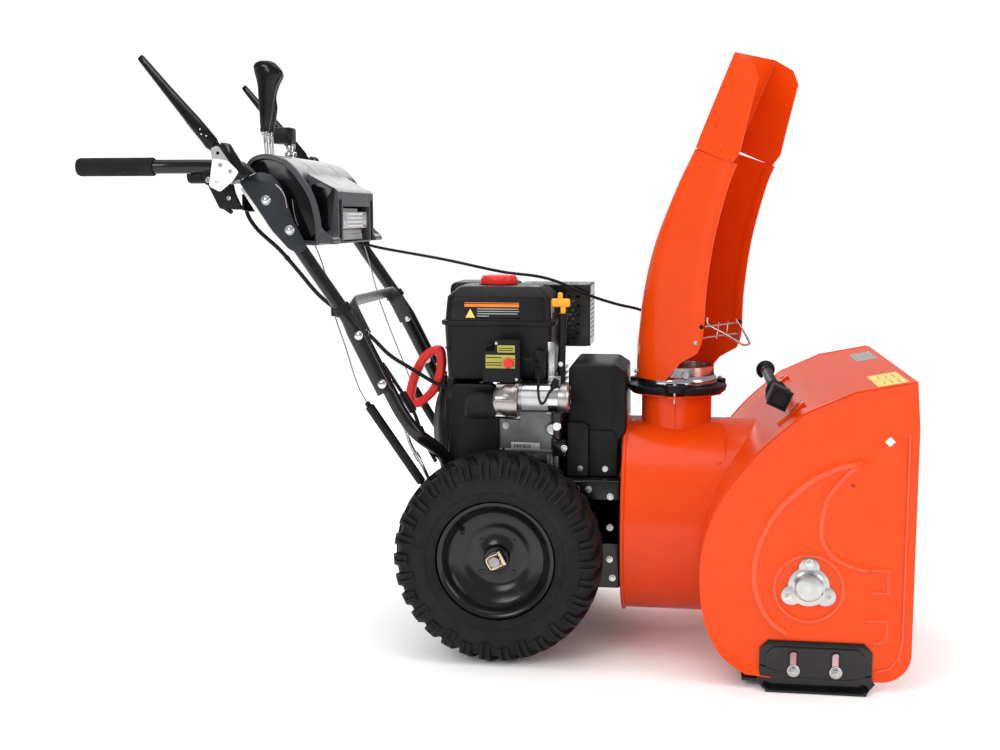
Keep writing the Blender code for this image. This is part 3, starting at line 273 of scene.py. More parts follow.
class Shape:
    """A mesh put together from simple closed pieces."""

    def __init__(self):
        self.points = []
        self.faces = []

    def add(self, points, faces, place=None):
        start = len(self.points)
        self.points += [place @ Vector(p) if place else Vector(p) for p in points]
        self.faces += [[start + i for i in face] for face in faces]
        return self

    def add_bmesh(self, bm, place=None):
        bm.verts.index_update()
        self.add([v.co.copy() for v in bm.verts], [[v.index for v in f.verts] for f in bm.faces],
                 place)
        bm.free()
        return self

    def box(self, low, high, bevel=0.0015, place=None, segments=2):
        low, high = Vector(low), Vector(high)
        bm = bmesh.new()
        bmesh.ops.create_cube(bm, size=1.0)
        for vertex in bm.verts:
            vertex.co = Vector(
                (low[i] + high[i]) / 2 + vertex.co[i] * (high[i] - low[i]) for i in range(3)
            )
        if bevel:
            bmesh.ops.bevel(bm, geom=bm.edges[:], offset=bevel, segments=segments, profile=0.5,
                            affect="EDGES")
        return self.add_bmesh(bm, place)

    def turned(self, profile, centre, axis, sides=48):
        """Turns (radius, height) pairs about an axis; the ends on the axis close it."""
        place = Matrix.Translation(centre) @ facing(axis)
        points, rings = [], []
        for radius, height in profile:
            if radius < 1e-7:
                rings.append([len(points)] * sides)
                points.append((0, 0, height))
                continue
            rings.append(list(range(len(points), len(points) + sides)))
            for i in range(sides):
                angle = 2 * math.pi * i / sides
                points.append((radius * math.cos(angle), radius * math.sin(angle), height))
        if profile[0][0] > 1e-7:
            rings.append(rings[0])
        faces = []
        for upper, lower in zip(rings, rings[1:]):
            for i in range(sides):
                j = (i + 1) % sides
                face = [upper[i], lower[i], lower[j], upper[j]]
                face = [p for k, p in enumerate(face) if p not in face[:k]]
                if len(face) > 2:
                    faces.append(face)
        return self.add(points, faces, place)

    def rod(self, start, end, radius, sides=24, chamfer=0.0004, end_radius=None):
        start, end = Vector(start), Vector(end)
        length = (end - start).length
        last = radius if end_radius is None else end_radius
        edge = min(chamfer, radius * 0.4, length * 0.3)
        profile = [(0, length), (last - edge, length), (last, length - edge), (radius, edge),
                   (radius - edge, 0), (0, 0)]
        return self.turned(profile, start, end - start, sides)

    def tube(self, points, radius, sides=14, closed=False, profile=None, up=None):
        """A round bar, or one of another section, along a line of points."""
        points = [Vector(p) for p in points]
        count = len(points)
        section = profile or [
            (radius * math.cos(2 * math.pi * i / sides), radius * math.sin(2 * math.pi * i / sides))
            for i in range(sides)
        ]
        tangents = []
        for i in range(count):
            before = points[(i - 1) % count] if closed or i else points[0]
            after = points[(i + 1) % count] if closed or i < count - 1 else points[-1]
            tangents.append((after - before).normalized())
        normal = Vector(up) if up else tangents[0].orthogonal()
        rings, made = [], []
        for point, tangent in zip(points, tangents):
            if up:
                normal = Vector(up)
            normal = (normal - tangent * normal.dot(tangent)).normalized()
            side = tangent.cross(normal)
            rings.append(list(range(len(made), len(made) + len(section))))
            made += [point + normal * a + side * b for a, b in section]
        faces = []
        pairs = list(zip(rings, rings[1:])) + ([(rings[-1], rings[0])] if closed else [])
        width = len(section)
        for lower, upper in pairs:
            for i in range(width):
                j = (i + 1) % width
                faces.append([lower[i], lower[j], upper[j], upper[i]])
        if not closed:
            faces += [rings[0][::-1], rings[-1]]
        return self.add(made, faces)

    def loft(self, sections, closed=True, caps=True):
        """A skin through loops of equal length."""
        width = len(sections[0])
        points = [p for section in sections for p in section]
        faces = []
        for row in range(len(sections) - 1):
            for i in range(width if closed else width - 1):
                j = (i + 1) % width
                base = row * width
                faces.append([base + i, base + j, base + width + j, base + width + i])
        if caps:
            last = (len(sections) - 1) * width
            faces += [list(range(width))[::-1], [last + i for i in range(width)]]
        return self.add(points, faces)

    def plate(self, outline, axis, low, high, bevel=0.0, holes=(), place=None):
        """A flat outline, given in the other two axes, from low to high along axis."""
        curve = bpy.data.curves.new("outline", "CURVE")
        curve.dimensions = "2D"
        curve.fill_mode = "BOTH"
        curve.extrude = (high - low) / 2 - bevel
        curve.bevel_depth = bevel
        curve.bevel_resolution = 1
        curve.offset = -bevel
        for loop in (outline, *holes):
            spline = curve.splines.new("POLY")
            spline.points.add(len(loop) - 1)
            for point, (across, up) in zip(spline.points, loop):
                point.co = (across, up, 0, 1)
            spline.use_cyclic_u = True
        guide = bpy.data.objects.new("outline", curve)
        bpy.context.scene.collection.objects.link(guide)
        bpy.context.view_layer.update()
        reader = bpy.context.evaluated_depsgraph_get()
        mesh = bpy.data.meshes.new_from_object(guide.evaluated_get(reader))
        bm = bmesh.new()
        bm.from_mesh(mesh)
        bmesh.ops.remove_doubles(bm, verts=bm.verts, dist=1e-6)
        bpy.data.objects.remove(guide)
        bpy.data.curves.remove(curve)
        bpy.data.meshes.remove(mesh)
        spot = Matrix.Translation(DIRECTIONS[axis] * (low + high) / 2) @ PLANES[axis]
        return self.add_bmesh(bm, place @ spot if place else spot)

    def pressed(self, outline, axis, at, thickness, relief, step=0.006, holes=(), extra=()):
        """A sheet panel with relief(a, b), its height out of the plane, and the given thickness.
        A positive thickness lies on the far side of the plane, along -axis."""
        loops = [outline, *holes]
        flat, edges = [], []
        for loop in loops:
            start = len(flat)
            flat += [Vector(p[:2]) for p in loop]
            edges += [(start + i, start + (i + 1) % len(loop)) for i in range(len(loop))]
        low = [min(p[i] for p in outline) for i in (0, 1)]
        high = [max(p[i] for p in outline) for i in (0, 1)]
        inside = [Vector(p) for p in extra]
        for i in range(1, int((high[0] - low[0]) / step)):
            for j in range(1, int((high[1] - low[1]) / step)):
                inside.append(Vector((low[0] + i * step, low[1] + (j + 0.5 * (i % 2)) * step)))

        def within(point, loop):
            found = False
            for a, b in zip(loop, [*loop[1:], loop[0]]):
                if (a[1] > point.y) != (b[1] > point.y):
                    if point.x < (b[0] - a[0]) * (point.y - a[1]) / (b[1] - a[1]) + a[0]:
                        found = not found
            return found

        def usable(point):
            return within(point, outline) and not any(within(point, hole) for hole in holes)

        flat += [p for p in inside if usable(p)]
        made = delaunay_2d_cdt(flat, edges, [], 0, 1e-5)
        points, faces = made[0], []
        for face in made[2]:
            middle = sum((points[i] for i in face), Vector((0, 0))) / len(face)
            if usable(middle):
                faces.append(list(face))
        spot = Matrix.Translation(DIRECTIONS[axis] * at) @ PLANES[axis]
        count = len(points)
        front = [(p.x, p.y, relief(p.x, p.y)) for p in points]
        back = [(x, y, z - thickness) for x, y, z in front]
        used = {}
        for face in faces:
            for a, b in zip(face, face[1:] + face[:1]):
                used[(a, b)] = used.get((a, b), 0) + 1
        walls = [[a, b, b + count, a + count] for a, b in used if (b, a) not in used]
        skin = faces + [[i + count for i in face][::-1] for face in faces]
        skin += [wall[::-1] for wall in walls]
        return self.add(front + back, skin, spot)

    def bolt(self, place, axis, size, washer=True, sides=6, look_sides=28):
        """A hexagon head with its washer, on the surface at place."""
        place, axis = Vector(place), Vector(axis).normalized()
        lift_by = 0.0
        if washer:
            lift_by = size * 0.16
            self.rod(place, place + axis * lift_by, size * 1.12, look_sides, 0.0003)
        top = place + axis * (lift_by + size * 0.62)
        self.rod(place + axis * lift_by, top, size * 0.72, sides, 0.0004)
        return self

    def dome(self, place, axis, radius, height, sides=32):
        """A carriage bolt's round head."""
        profile = [(0, height)]
        profile += [(radius * math.sin(a), height * math.cos(a))
                    for a in (math.radians(15 * i) for i in range(1, 6))]
        profile += [(radius, 0), (0, 0)]
        return self.turned(profile, place, axis, sides)


def piece(name, shape, look, body, hides=(), smooth=32, slot=None):
    """Makes the shape an object with its material, and fixes it to its body."""
    mesh = bpy.data.meshes.new(name)
    mesh.from_pydata([tuple(p) for p in shape.points], [], shape.faces)
    mesh.validate()
    bm = bmesh.new()
    bm.from_mesh(mesh)
    bmesh.ops.remove_doubles(bm, verts=bm.verts, dist=2e-6)
    bmesh.ops.recalc_face_normals(bm, faces=bm.faces)
    bm.to_mesh(mesh)
    bm.free()
    made = bpy.data.objects.new(name, mesh)
    bpy.context.scene.collection.objects.link(made)
    made.data.materials.append(LOOKS[look])
    made.data.shade_smooth()
    made.data.set_sharp_from_angle(angle=math.radians(smooth))
    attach(made, body)
    hides = [hides] if isinstance(hides, str) else list(hides)
    if hides:
        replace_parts(made, *hides)
    wanted = slot or (node_slot[hides[0]] if hides else None)
    if wanted is None:
        wanted = next((s for s, l in SLOT_LOOKS.items() if l == look), None)
    return made


def boolean(base, tool, operation="DIFFERENCE"):
    """Applies one Boolean between two shapes and gives the result as a new shape."""
    objects = []
    for shape in (base, tool):
        mesh = bpy.data.meshes.new("boolean")
        mesh.from_pydata([tuple(p) for p in shape.points], [], shape.faces)
        bm = bmesh.new()
        bm.from_mesh(mesh)
        bmesh.ops.remove_doubles(bm, verts=bm.verts, dist=1e-6)
        bmesh.ops.recalc_face_normals(bm, faces=bm.faces)
        bm.to_mesh(mesh)
        bm.free()
        made = bpy.data.objects.new("boolean", mesh)
        bpy.context.scene.collection.objects.link(made)
        objects.append(made)
    step = objects[0].modifiers.new("boolean", "BOOLEAN")
    step.operation = operation
    step.object = objects[1]
    step.solver = "EXACT"
    bpy.context.view_layer.update()
    reader = bpy.context.evaluated_depsgraph_get()
    mesh = bpy.data.meshes.new_from_object(objects[0].evaluated_get(reader))
    result = Shape()
    bm = bmesh.new()
    bm.from_mesh(mesh)
    result.add_bmesh(bm)
    for made in objects:
        bpy.data.objects.remove(made)
    return result


def line_distance(point, line):
    """How far a flat point lies from a line of points."""
    best = 1e9
    px, py = point
    for (ax, ay), (bx, by) in zip(line, line[1:]):
        dx, dy = bx - ax, by - ay
        share = ((px - ax) * dx + (py - ay) * dy) / max(dx * dx + dy * dy, 1e-12)
        share = min(max(share, 0.0), 1.0)
        best = min(best, math.hypot(px - ax - dx * share, py - ay - dy * share))
    return best


SIDES = {"right": -1, "left": 1}

# ------------------------------------------------------------------ auger housing

CLEARING_WIDTH = 0.610
HALF = CLEARING_WIDTH / 2
SHEET = 0.003
FRONT_X = 0.735
EDGE_TURN = 0.008  # how far the side plates' edges turn in
HOUSING_TOP = (0.727, 0.530)
HOUSING_BACK = [
    (0.630, 0.511), (0.549, 0.474), (0.475, 0.406), (0.416, 0.326), (0.386, 0.245),
    (0.382, 0.166), (0.393, 0.105), (0.421, 0.053), (0.461, 0.024),
]
HOUSING_CURVE = [HOUSING_BACK[0]] + smooth_line(HOUSING_BACK[1:], 6)
AUGER_AXIS = (0.563, 0.181)
IMPELLER_Z = 0.232
DRUM_RADIUS = 0.185
DRUM_BACK = 0.245
DRUM_RIM = 0.238
CHUTE_X = 0.335
COLLAR_RADIUS = 0.0665
COLLAR_TOP = 0.4695

corner_line = arc((0.685, 0.068), 0.050, -90, 0, 12)
HOUSING_SIDE = [HOUSING_TOP, *HOUSING_CURVE, (0.500, 0.0205), *corner_line, (FRONT_X, 0.451)]
TURNED_EDGE = [HOUSING_TOP, *HOUSING_CURVE, (0.500, 0.0205)]
BORDER_BEAD = [(0.7190, 0.444), (0.7190, 0.095), (0.7140, 0.062), (0.6990, 0.043), (0.6780, 0.037)]
LONG_BEAD = smooth_line([(0.6456, 0.392), (0.622, 0.3883), (0.596, 0.379), (0.5665, 0.3626),
                         (0.541, 0.342), (0.515, 0.316), (0.497, 0.290), (0.481, 0.2535),
                         (0.473, 0.2174), (0.473, 0.1815), (0.483, 0.1458), (0.501, 0.1165),
                         (0.5284, 0.0956)], 4)
SHORT_BEAD = smooth_line([(0.6474, 0.3921), (0.6256, 0.3779), (0.6077, 0.358), (0.590, 0.332),
                          (0.5825, 0.3005), (0.5812, 0.269), (0.5905, 0.2457), (0.608, 0.2274),
                          (0.6459, 0.2124), (0.662, 0.2120)], 6)
HOOK_BEADS = [[(0.662, 0.212), (0.693, 0.212), (0.693, 0.173), (0.668, 0.173)],
              [(0.660, 0.1240), (0.693, 0.1250), (0.692, 0.0915), (0.6726, 0.0845)]]
FLANGE_RING = arc((0.5630, 0.1760), 0.0570, 0, 360, 40)


def bead(distance, width, height):
    """A rounded ridge's height at this distance from its middle."""
    share = min(distance / width, 1.0)
    return height * (1 - share * share) ** 2


def side_relief(x, z):
    """How far the side plate stands out from its plane, with its turned-in edge and beads."""
    edge = line_distance((x, z), TURNED_EDGE)
    turned = max(0.0, 1 - edge / 0.030)
    height = -EDGE_TURN * turned ** 2.2
    height -= 0.0045 * min(max((z - 0.450) / 0.06, 0.0), 1.0) * min(max((x - 0.60) / 0.06, 0), 1)
    height -= bead(line_distance((x, z), BORDER_BEAD), 0.0045, 0.0022)
    height -= bead(line_distance((x, z), LONG_BEAD), 0.0085, 0.0030)
    height -= bead(line_distance((x, z), SHORT_BEAD), 0.0070, 0.0022)
    for line in HOOK_BEADS:
        height -= bead(line_distance((x, z), line), 0.0055, 0.0018)
    height -= bead(line_distance((x, z), FLANGE_RING), 0.0060, 0.0022)
    bulge = math.hypot(x - AUGER_AXIS[0], z - AUGER_AXIS[1])
    if bulge < 0.048:
        height -= 0.0006
    return height


def along_bead(line, reaches):
    """Points beside a line, so that the mesh follows its bead."""
    points = []
    for reach in reaches:
        points += [tuple(p)[:2] for p in offset_line([tuple(q) for q in line], reach)]
        points += [tuple(p)[:2] for p in offset_line([tuple(q) for q in line], -reach)]
    return points + [tuple(p)[:2] for p in line]


def diamond(x, z, size):
    return [(x - size, z), (x, z - size), (x + size, z), (x, z + size)]


SIDE_POINTS = []
for bead_line, reaches in (
    (LONG_BEAD, (0.003, 0.006, 0.009)), (SHORT_BEAD, (0.0025, 0.005, 0.0075)),
    (FLANGE_RING, (0.002, 0.004, 0.0065)), (BORDER_BEAD, (0.0015, 0.003, 0.0048)),
    (smooth_line([(*p, 0) for p in HOOK_BEADS[0]], 6), (0.002, 0.004, 0.006)),
    (smooth_line([(*p, 0) for p in HOOK_BEADS[1]], 6), (0.002, 0.004, 0.006)),
):
    SIDE_POINTS += along_bead(bead_line, reaches)
for inset in (0.004, 0.009, 0.015, 0.022, 0.031):
    SIDE_POINTS += [tuple(p)[:2] for p in offset_line(TURNED_EDGE, inset)]

SIDE_HOLES = [diamond(0.688, 0.430, 0.0085), diamond(0.630, 0.355, 0.0050)]
for side, sign in SIDES.items():
    shape = Shape()
    holes = [*SIDE_HOLES, *(rounded((x - 0.005, 0.020), (x + 0.005, 0.068), 0.0049)
                            for x in (0.541, 0.611))]
    shape.pressed(HOUSING_SIDE, "Y", sign * HALF,
                  SHEET - 0.001 if sign < 0 else -(SHEET - 0.001),
                  (lambda a, b: -side_relief(a, b)) if sign < 0 else side_relief,
                  0.009, holes, SIDE_POINTS)
    piece(f"housing_side_{side}", shape, "orange", "chassis", f"side_plate_{side}", 40)
    hem = Shape()
    line = offset_line(TURNED_EDGE, 0.0012)
    hem.tube([(x, sign * (HALF - EDGE_TURN - 0.0005), z) for x, z in line], 0.0021, 10)
    front = [(FRONT_X - 0.0022, z) for z in (0.447, 0.070)]
    hem.tube([(x, sign * (HALF - 0.0018), z) for x, z in front], 0.0016, 10)
    low_edge = [(x - 0.0026, sign * (HALF - 0.0018), z + 0.0012) for x, z in corner_line[::-1]]
    hem.tube([*low_edge, (0.52, sign * (HALF - 0.0035), 0.0200)], 0.0016, 10)
    piece(f"housing_hem_{side}", hem, "orange", "chassis")
    # Paler orange strips laid on the beads: a painted highlight along each bead's raised line.
    bead_highlights = Shape()
    for line, width, height in ((LONG_BEAD, 0.0040, 0.0030), (SHORT_BEAD, 0.0032, 0.0022),
                                (BORDER_BEAD, 0.0018, 0.0022), (HOOK_BEADS[0], 0.0024, 0.0018),
                                (HOOK_BEADS[1], 0.0022, 0.0018), (FLANGE_RING, 0.0026, 0.0022)):
        section = [(0.0010 * math.cos(a), width * math.sin(a))
                   for a in (2 * math.pi * i / 16 for i in range(16))]
        spots = [(p[0], sign * (HALF + height - 0.0004), p[1]) for p in line]
        bead_highlights.tube(spots, 0, profile=section, up=(0, 1, 0))
    piece(f"housing_bead_highlights_{side}", bead_highlights, "orange_bead_highlight", "chassis", smooth=60)


def circle(centre, radius, sides=64):
    return arc(centre, radius, 0, 360 - 360 / sides, sides - 1)


# The wrapped sheet: top, back and bottom in one bend, open to the drum.
wrap_half = HALF - EDGE_TURN - 0.0008
outer_line = [HOUSING_TOP, *HOUSING_CURVE, (0.500, 0.0205)]
inner_line = offset_line(outer_line, SHEET - 0.0006)
wrap = Shape()
wrap.plate(outer_line + inner_line[::-1], "Y", -wrap_half, wrap_half)
opening = Shape().rod((0.30, 0, IMPELLER_Z), (0.56, 0, IMPELLER_Z), DRUM_RADIUS - SHEET, 96, 0)
wrap = boolean(wrap, opening)
lip_line = [(HOUSING_TOP[0] + 0.0015, y, HOUSING_TOP[1] - 0.0018) for y in (-0.296, 0.296)]
wrap.tube(lip_line, 0.0022, 10)
wrap.tube([(0.500, y, 0.0205 + 0.001) for y in (-0.296, 0.296)], 0.0022, 10)
piece("housing_sheet", wrap, "orange", "chassis", "housing_wrap", 30)

# Top sheet: plain stickers with grey lines.
top_slope = (Vector((0.630, 0.511)) - Vector(HOUSING_TOP)).normalized()


def on_top(distance, y, out=0.0):
    """A point on the top sheet, this far back from its front edge."""
    spot = Vector(HOUSING_TOP) + top_slope * distance
    normal = Vector((-top_slope.y, top_slope.x))
    if normal.y < 0:
        normal = -normal
    spot = spot + normal * out
    return Vector((spot.x, y, spot.y))


def sticker(name, look, distance, y, length, width, border=None):
    """A thin plain label that lies on the top sheet."""
    corners = [on_top(distance, y - width / 2), on_top(distance, y + width / 2),
               on_top(distance + length, y + width / 2), on_top(distance + length, y - width / 2)]
    up = on_top(distance, y, 0.0004) - on_top(distance, y)
    shape = Shape().loft([[c + up * 0.2 for c in corners], [c + up for c in corners]])
    return piece(name, shape, look, "chassis")


sticker("sticker_silver", "label_silver", 0.010, 0.145, 0.040, 0.125)
sticker("sticker_yellow_left", "label_gold", 0.010, -0.180, 0.050, 0.072)
sticker("sticker_yellow_right", "label_gold", 0.010, -0.252, 0.050, 0.068)
strip = Shape()
for row in range(3):
    strip.loft([[on_top(0.018 + row * 0.011, y, h) for y in (0.095, 0.195)]
                + [on_top(0.022 + row * 0.011, y, h) for y in (0.195, 0.095)]
                for h in (0.0003, 0.0006)])
for y, width in ((-0.180, 0.048), (-0.252, 0.044)):
    for row in range(3):
        reach = width / 2 - row * 0.004
        strip.loft([[on_top(0.020 + row * 0.012, y + s * reach, h) for s in (-1, 1)]
                    + [on_top(0.0225 + row * 0.012, y + s * reach, h) for s in (1, -1)]
                    for h in (0.0003, 0.0006)])
piece("sticker_lines", strip, "grey_print_and_painted_shade", "chassis")

# ------------------------------------------------------------------ impeller drum

drum = Shape().rod((DRUM_BACK, 0, IMPELLER_Z), (0.52, 0, IMPELLER_Z), DRUM_RADIUS, 96, 0)
drum = boolean(drum, Shape().rod((CHUTE_X, 0, 0.38), (CHUTE_X, 0, COLLAR_TOP), COLLAR_RADIUS, 72, 0),
               "UNION")
drum = boolean(drum, Shape().rod((DRUM_RIM + 0.0115, 0, IMPELLER_Z), (0.53, 0, IMPELLER_Z),
                                 DRUM_RADIUS - SHEET, 96, 0))
drum = boolean(drum, Shape().rod((CHUTE_X, 0, 0.34), (CHUTE_X, 0, 0.50), COLLAR_RADIUS - SHEET,
                                 72, 0))
drum = boolean(drum, Shape().rod((0.22, 0, IMPELLER_Z), (0.27, 0, IMPELLER_Z), 0.0101, 24, 0))
side_block = Shape().plate(HOUSING_SIDE, "Y", -0.4, 0.4)
drum = boolean(drum, side_block)
rim_profile = [
    (DRUM_RADIUS - 0.006, 0.0075), (DRUM_RADIUS + 0.0020, 0.0075), (DRUM_RADIUS + 0.0046, 0.0055),
    (DRUM_RADIUS + 0.0050, 0.0030), (DRUM_RADIUS + 0.0040, 0.0010), (DRUM_RADIUS + 0.0020, 0.0),
    (DRUM_RADIUS - 0.0030, 0.0), (DRUM_RADIUS - 0.0045, 0.0020), (DRUM_RADIUS - 0.0060, 0.0045),
]
drum.turned(rim_profile, (DRUM_RIM, 0, IMPELLER_Z), (1, 0, 0), 96)
flange = [(COLLAR_RADIUS - SHEET, COLLAR_TOP), (0.084, COLLAR_TOP), (0.0855, COLLAR_TOP - 0.0012),
          (0.0855, COLLAR_TOP - 0.0030), (COLLAR_RADIUS, COLLAR_TOP - 0.0036)]
drum.turned(flange, (CHUTE_X, 0, 0), (0, 0, 1), 72)
# The seam of the rolled sheet, and the band that holds the drum to the housing.
seam_turn = [(x, -DRUM_RADIUS * math.sin(math.radians(a)) * 1.003,
              IMPELLER_Z + DRUM_RADIUS * math.cos(math.radians(a)) * 1.003)
             for x, a in ((0.425, 8), (0.425, 24), (0.4255, 40), (0.418, 62))]
drum.tube(smooth_line(seam_turn, 8), 0.0014, 8)
drum.tube([(CHUTE_X - 0.002, -COLLAR_RADIUS - 0.0002, z) for z in (0.407, 0.464)], 0.0012, 8)
piece("impeller_drum_shell", drum, "orange", "chassis", "impeller_drum", 30)

rivets = Shape()
for angle in (14, 30, 48, -14, -30, -48, 66, -66):
    turn = math.radians(angle)
    out = Vector((0, -math.sin(turn), math.cos(turn)))
    spot = Vector((0.434 if abs(angle) < 40 else 0.414, 0, IMPELLER_Z)) + out * DRUM_RADIUS
    rivets.dome(spot - out * 0.0004, out, 0.0040, 0.0022, 20)
piece("drum_rivets", rivets, "orange", "chassis")

# Keepers and bolts around the collar's black ring.
ring = Shape()
ring_profile = [(0.0635, 0.4835), (0.0925, 0.4835), (0.0940, 0.4822), (0.0943, 0.4790),
                (0.0925, 0.4755), (0.0900, 0.4705), (0.0635, 0.4700)]
ring.turned(ring_profile, (CHUTE_X, 0, 0), (0, 0, 1), 96)
for angle in (-92, 28, 148):
    turn = math.radians(angle)
    out = Vector((math.cos(turn), math.sin(turn), 0))
    side_step = Vector((-out.y, out.x, 0))
    outline = [(-0.026, 0.084), (-0.017, 0.0935), (-0.011, 0.1005), (0.011, 0.1005),
               (0.017, 0.0935), (0.026, 0.084)]
    points = softened(outline, 0.004, 3)
    place = Matrix.Translation((CHUTE_X, 0, 0)) @ Matrix.Rotation(turn - math.pi / 2, 4, "Z")
    ring.plate(points, "Z", 0.4760, 0.4895, 0.0012, (), place)
piece("collar_ring", ring, "plastic", "chassis", "chute_collar_ring", 35)

ring_bolts = Shape()
for angle in (-92, 28, 148):
    turn = math.radians(angle)
    out = Vector((math.cos(turn), math.sin(turn), 0))
    ring_bolts.bolt(Vector((CHUTE_X, 0, 0.4896)) + out * 0.0925, (0, 0, 1), 0.0048, True)
    ring_bolts.rod(Vector((CHUTE_X, 0, 0.4560)) + out * 0.0925,
                   Vector((CHUTE_X, 0, 0.4762)) + out * 0.0925, 0.0028, 12)
nut_place = Matrix.Translation((CHUTE_X, -0.0945, 0.4800))
ring_bolts.box((-0.006, -0.0035, -0.0045), (0.006, 0.0010, 0.0045), 0.0008, nut_place)
piece("ring_bolts", ring_bolts, "zinc", "chassis")
ears = Shape()
for angle in (-92, 28, 148):
    turn = math.radians(angle)
    place = Matrix.Translation((CHUTE_X, 0, 0)) @ Matrix.Rotation(turn - math.pi / 2, 4, "Z")
    outline = softened([(-0.022, 0.078), (-0.012, 0.1015), (0.012, 0.1015), (0.022, 0.078)], 0.004, 3)
    ears.plate(outline, "Z", 0.4655, 0.4688, 0.0008, (), place)
piece("collar_ears", ears, "orange", "chassis")

# ------------------------------------------------------------------ skids, bearings, scraper

for side, sign in SIDES.items():
    face = sign * (HALF + 0.0003)
    shape = Shape()
    outline = [(0.484, 0.010), (0.493, 0.000), (0.662, 0.000), (0.671, 0.010), (0.671, 0.070),
               (0.657, 0.085), (0.498, 0.085), (0.484, 0.070)]
    holes = [rounded((x - 0.0055, 0.026), (x + 0.0055, 0.066), 0.0054) for x in (0.541, 0.611)]
    low, high = sorted((face, face + sign * 0.0042))
    shape.plate(outline, "Y", low, high, 0.0008, holes)
    inner_outline = [(0.500, 0.014), (0.655, 0.014), (0.661, 0.020), (0.661, 0.062),
                     (0.648, 0.076), (0.507, 0.076), (0.494, 0.062), (0.494, 0.020)]
    low, high = sorted((face + sign * 0.0035, face + sign * 0.0062))
    shape.plate(softened(inner_outline, 0.003, 2), "Y", low, high, 0.0012, holes)
    for x in (0.541, 0.611):
        loop = rounded((x - 0.0085, 0.0225), (x + 0.0085, 0.0695), 0.0083)
        low, high = sorted((face + sign * 0.0050, face + sign * 0.0078))
        inner_loop = rounded((x - 0.0060, 0.0255), (x + 0.0060, 0.0665), 0.0058)
        shape.plate(loop, "Y", low, high, 0.0008, [inner_loop])
    sole = [(0.490, 0.0105), (0.495, 0.0), (0.660, 0.0), (0.665, 0.0105), (0.660, 0.0075),
            (0.655, 0.0042), (0.500, 0.0042), (0.495, 0.0075)]
    low, high = sorted((face + sign * 0.0005, sign * (HALF + 0.0215)))
    shape.plate(sole, "Y", low, high, 0.0008)
    ears = [(0.4787, 0.0165), (0.4850, 0.0230), (0.4850, 0.0420), (0.5280, 0.0300),
            (0.5300, 0.0220), (0.6300, 0.0220), (0.6700, 0.0300), (0.6700, 0.0230),
            (0.6765, 0.0165), (0.6640, 0.0010), (0.4910, 0.0010)]
    low, high = sorted((face + sign * 0.0035, face + sign * 0.0070))
    shape.plate(ears, "Y", low, high, 0.0008)
    body = f"shoe_{side}"
    piece(f"skid_{side}", shape, "black_paint", body, f"skid_shoe_{side}", 30)
    bolts = Shape()
    for x in (0.541, 0.611):
        spot = Vector((x, face + sign * 0.0072, 0.0345))
        bolts.rod(spot - Vector((0, sign * 0.0, 0)), spot + Vector((0, sign * 0.0018, 0)), 0.0108, 36)
        bolts.rod(spot + Vector((0, sign * 0.0018, 0)), spot + Vector((0, sign * 0.0034, 0)), 0.0082,
                  36)
        bolts.rod(spot + Vector((0, sign * 0.0034, 0)), spot + Vector((0, sign * 0.0085, 0)),
                  0.0066, 6)
        bolts.rod(spot + Vector((0, sign * 0.0085, 0)), spot + Vector((0, sign * 0.0110, 0)),
                  0.0036, 20)
        bolts.rod((x, sign * (HALF - 0.014), 0.0345), (x, face + sign * 0.0072, 0.0345), 0.0038, 16)
    piece(f"skid_bolts_{side}", bolts, "zinc", "chassis")

    # The three-lobed flange over the end of the auger's shaft.
    x, z = AUGER_AXIS
    tips = [(x + 0.0400 * math.cos(math.radians(a)), z + 0.0400 * math.sin(math.radians(a)))
            for a in (90, 210, 330)]
    outline = []
    for i in range(90):
        angle = math.radians(4 * i)
        lobe = max(math.cos(3 * (angle - math.pi / 2)), 0.0) ** 0.8
        reach = 0.0345 + 0.0155 * lobe
        outline.append((x + reach * math.cos(angle), z + reach * math.sin(angle)))
    shape = Shape()
    low, high = sorted((face, face + sign * 0.0034))
    shape.plate(outline, "Y", low, high, 0.0009)
    cap = [(0, 0.0155), (0.0195, 0.0155), (0.0218, 0.0146), (0.0226, 0.0125), (0.0232, 0.0060),
           (0.0262, 0.0038), (0.0275, 0.0030), (0.0275, 0.0), (0, 0.0)]
    shape.turned(cap, (x, face, z), (0, sign, 0), 56)
    piece(f"bearing_{side}", shape, "zinc", "chassis", f"bearing_flange_{side}", 30)
    bolts = Shape()
    for tip_x, tip_z in tips:
        spot = Vector((tip_x, face + sign * 0.0034, tip_z))
        bolts.rod(spot, spot + Vector((0, sign * 0.0012, 0)), 0.0072, 28)
        bolts.rod(spot + Vector((0, sign * 0.0012, 0)), spot + Vector((0, sign * 0.0052, 0)),
                  0.0050, 6)
        bolts.rod(spot + Vector((0, sign * 0.0052, 0)), spot + Vector((0, sign * 0.0072, 0)),
                  0.0028, 16)
    piece(f"bearing_bolts_{side}", bolts, "chrome", "chassis")

shape = Shape()
shape.box((0.4555, -0.301, 0.0088), (0.5145, 0.301, 0.0143), 0.0010)
piece("scraper_blade", shape, "black_paint", "chassis", "scraper_bar")
bolts = Shape()
for i in range(5):
    bolts.dome((0.486, -0.24 + i * 0.12, 0.0089), (0, 0, -1), 0.0065, 0.0024, 24)
piece("scraper_bolts", bolts, "zinc", "chassis")

# ------------------------------------------------------------------ augers and impeller

AUGER_RADIUS = 0.148
AUGER_BAND = 0.048


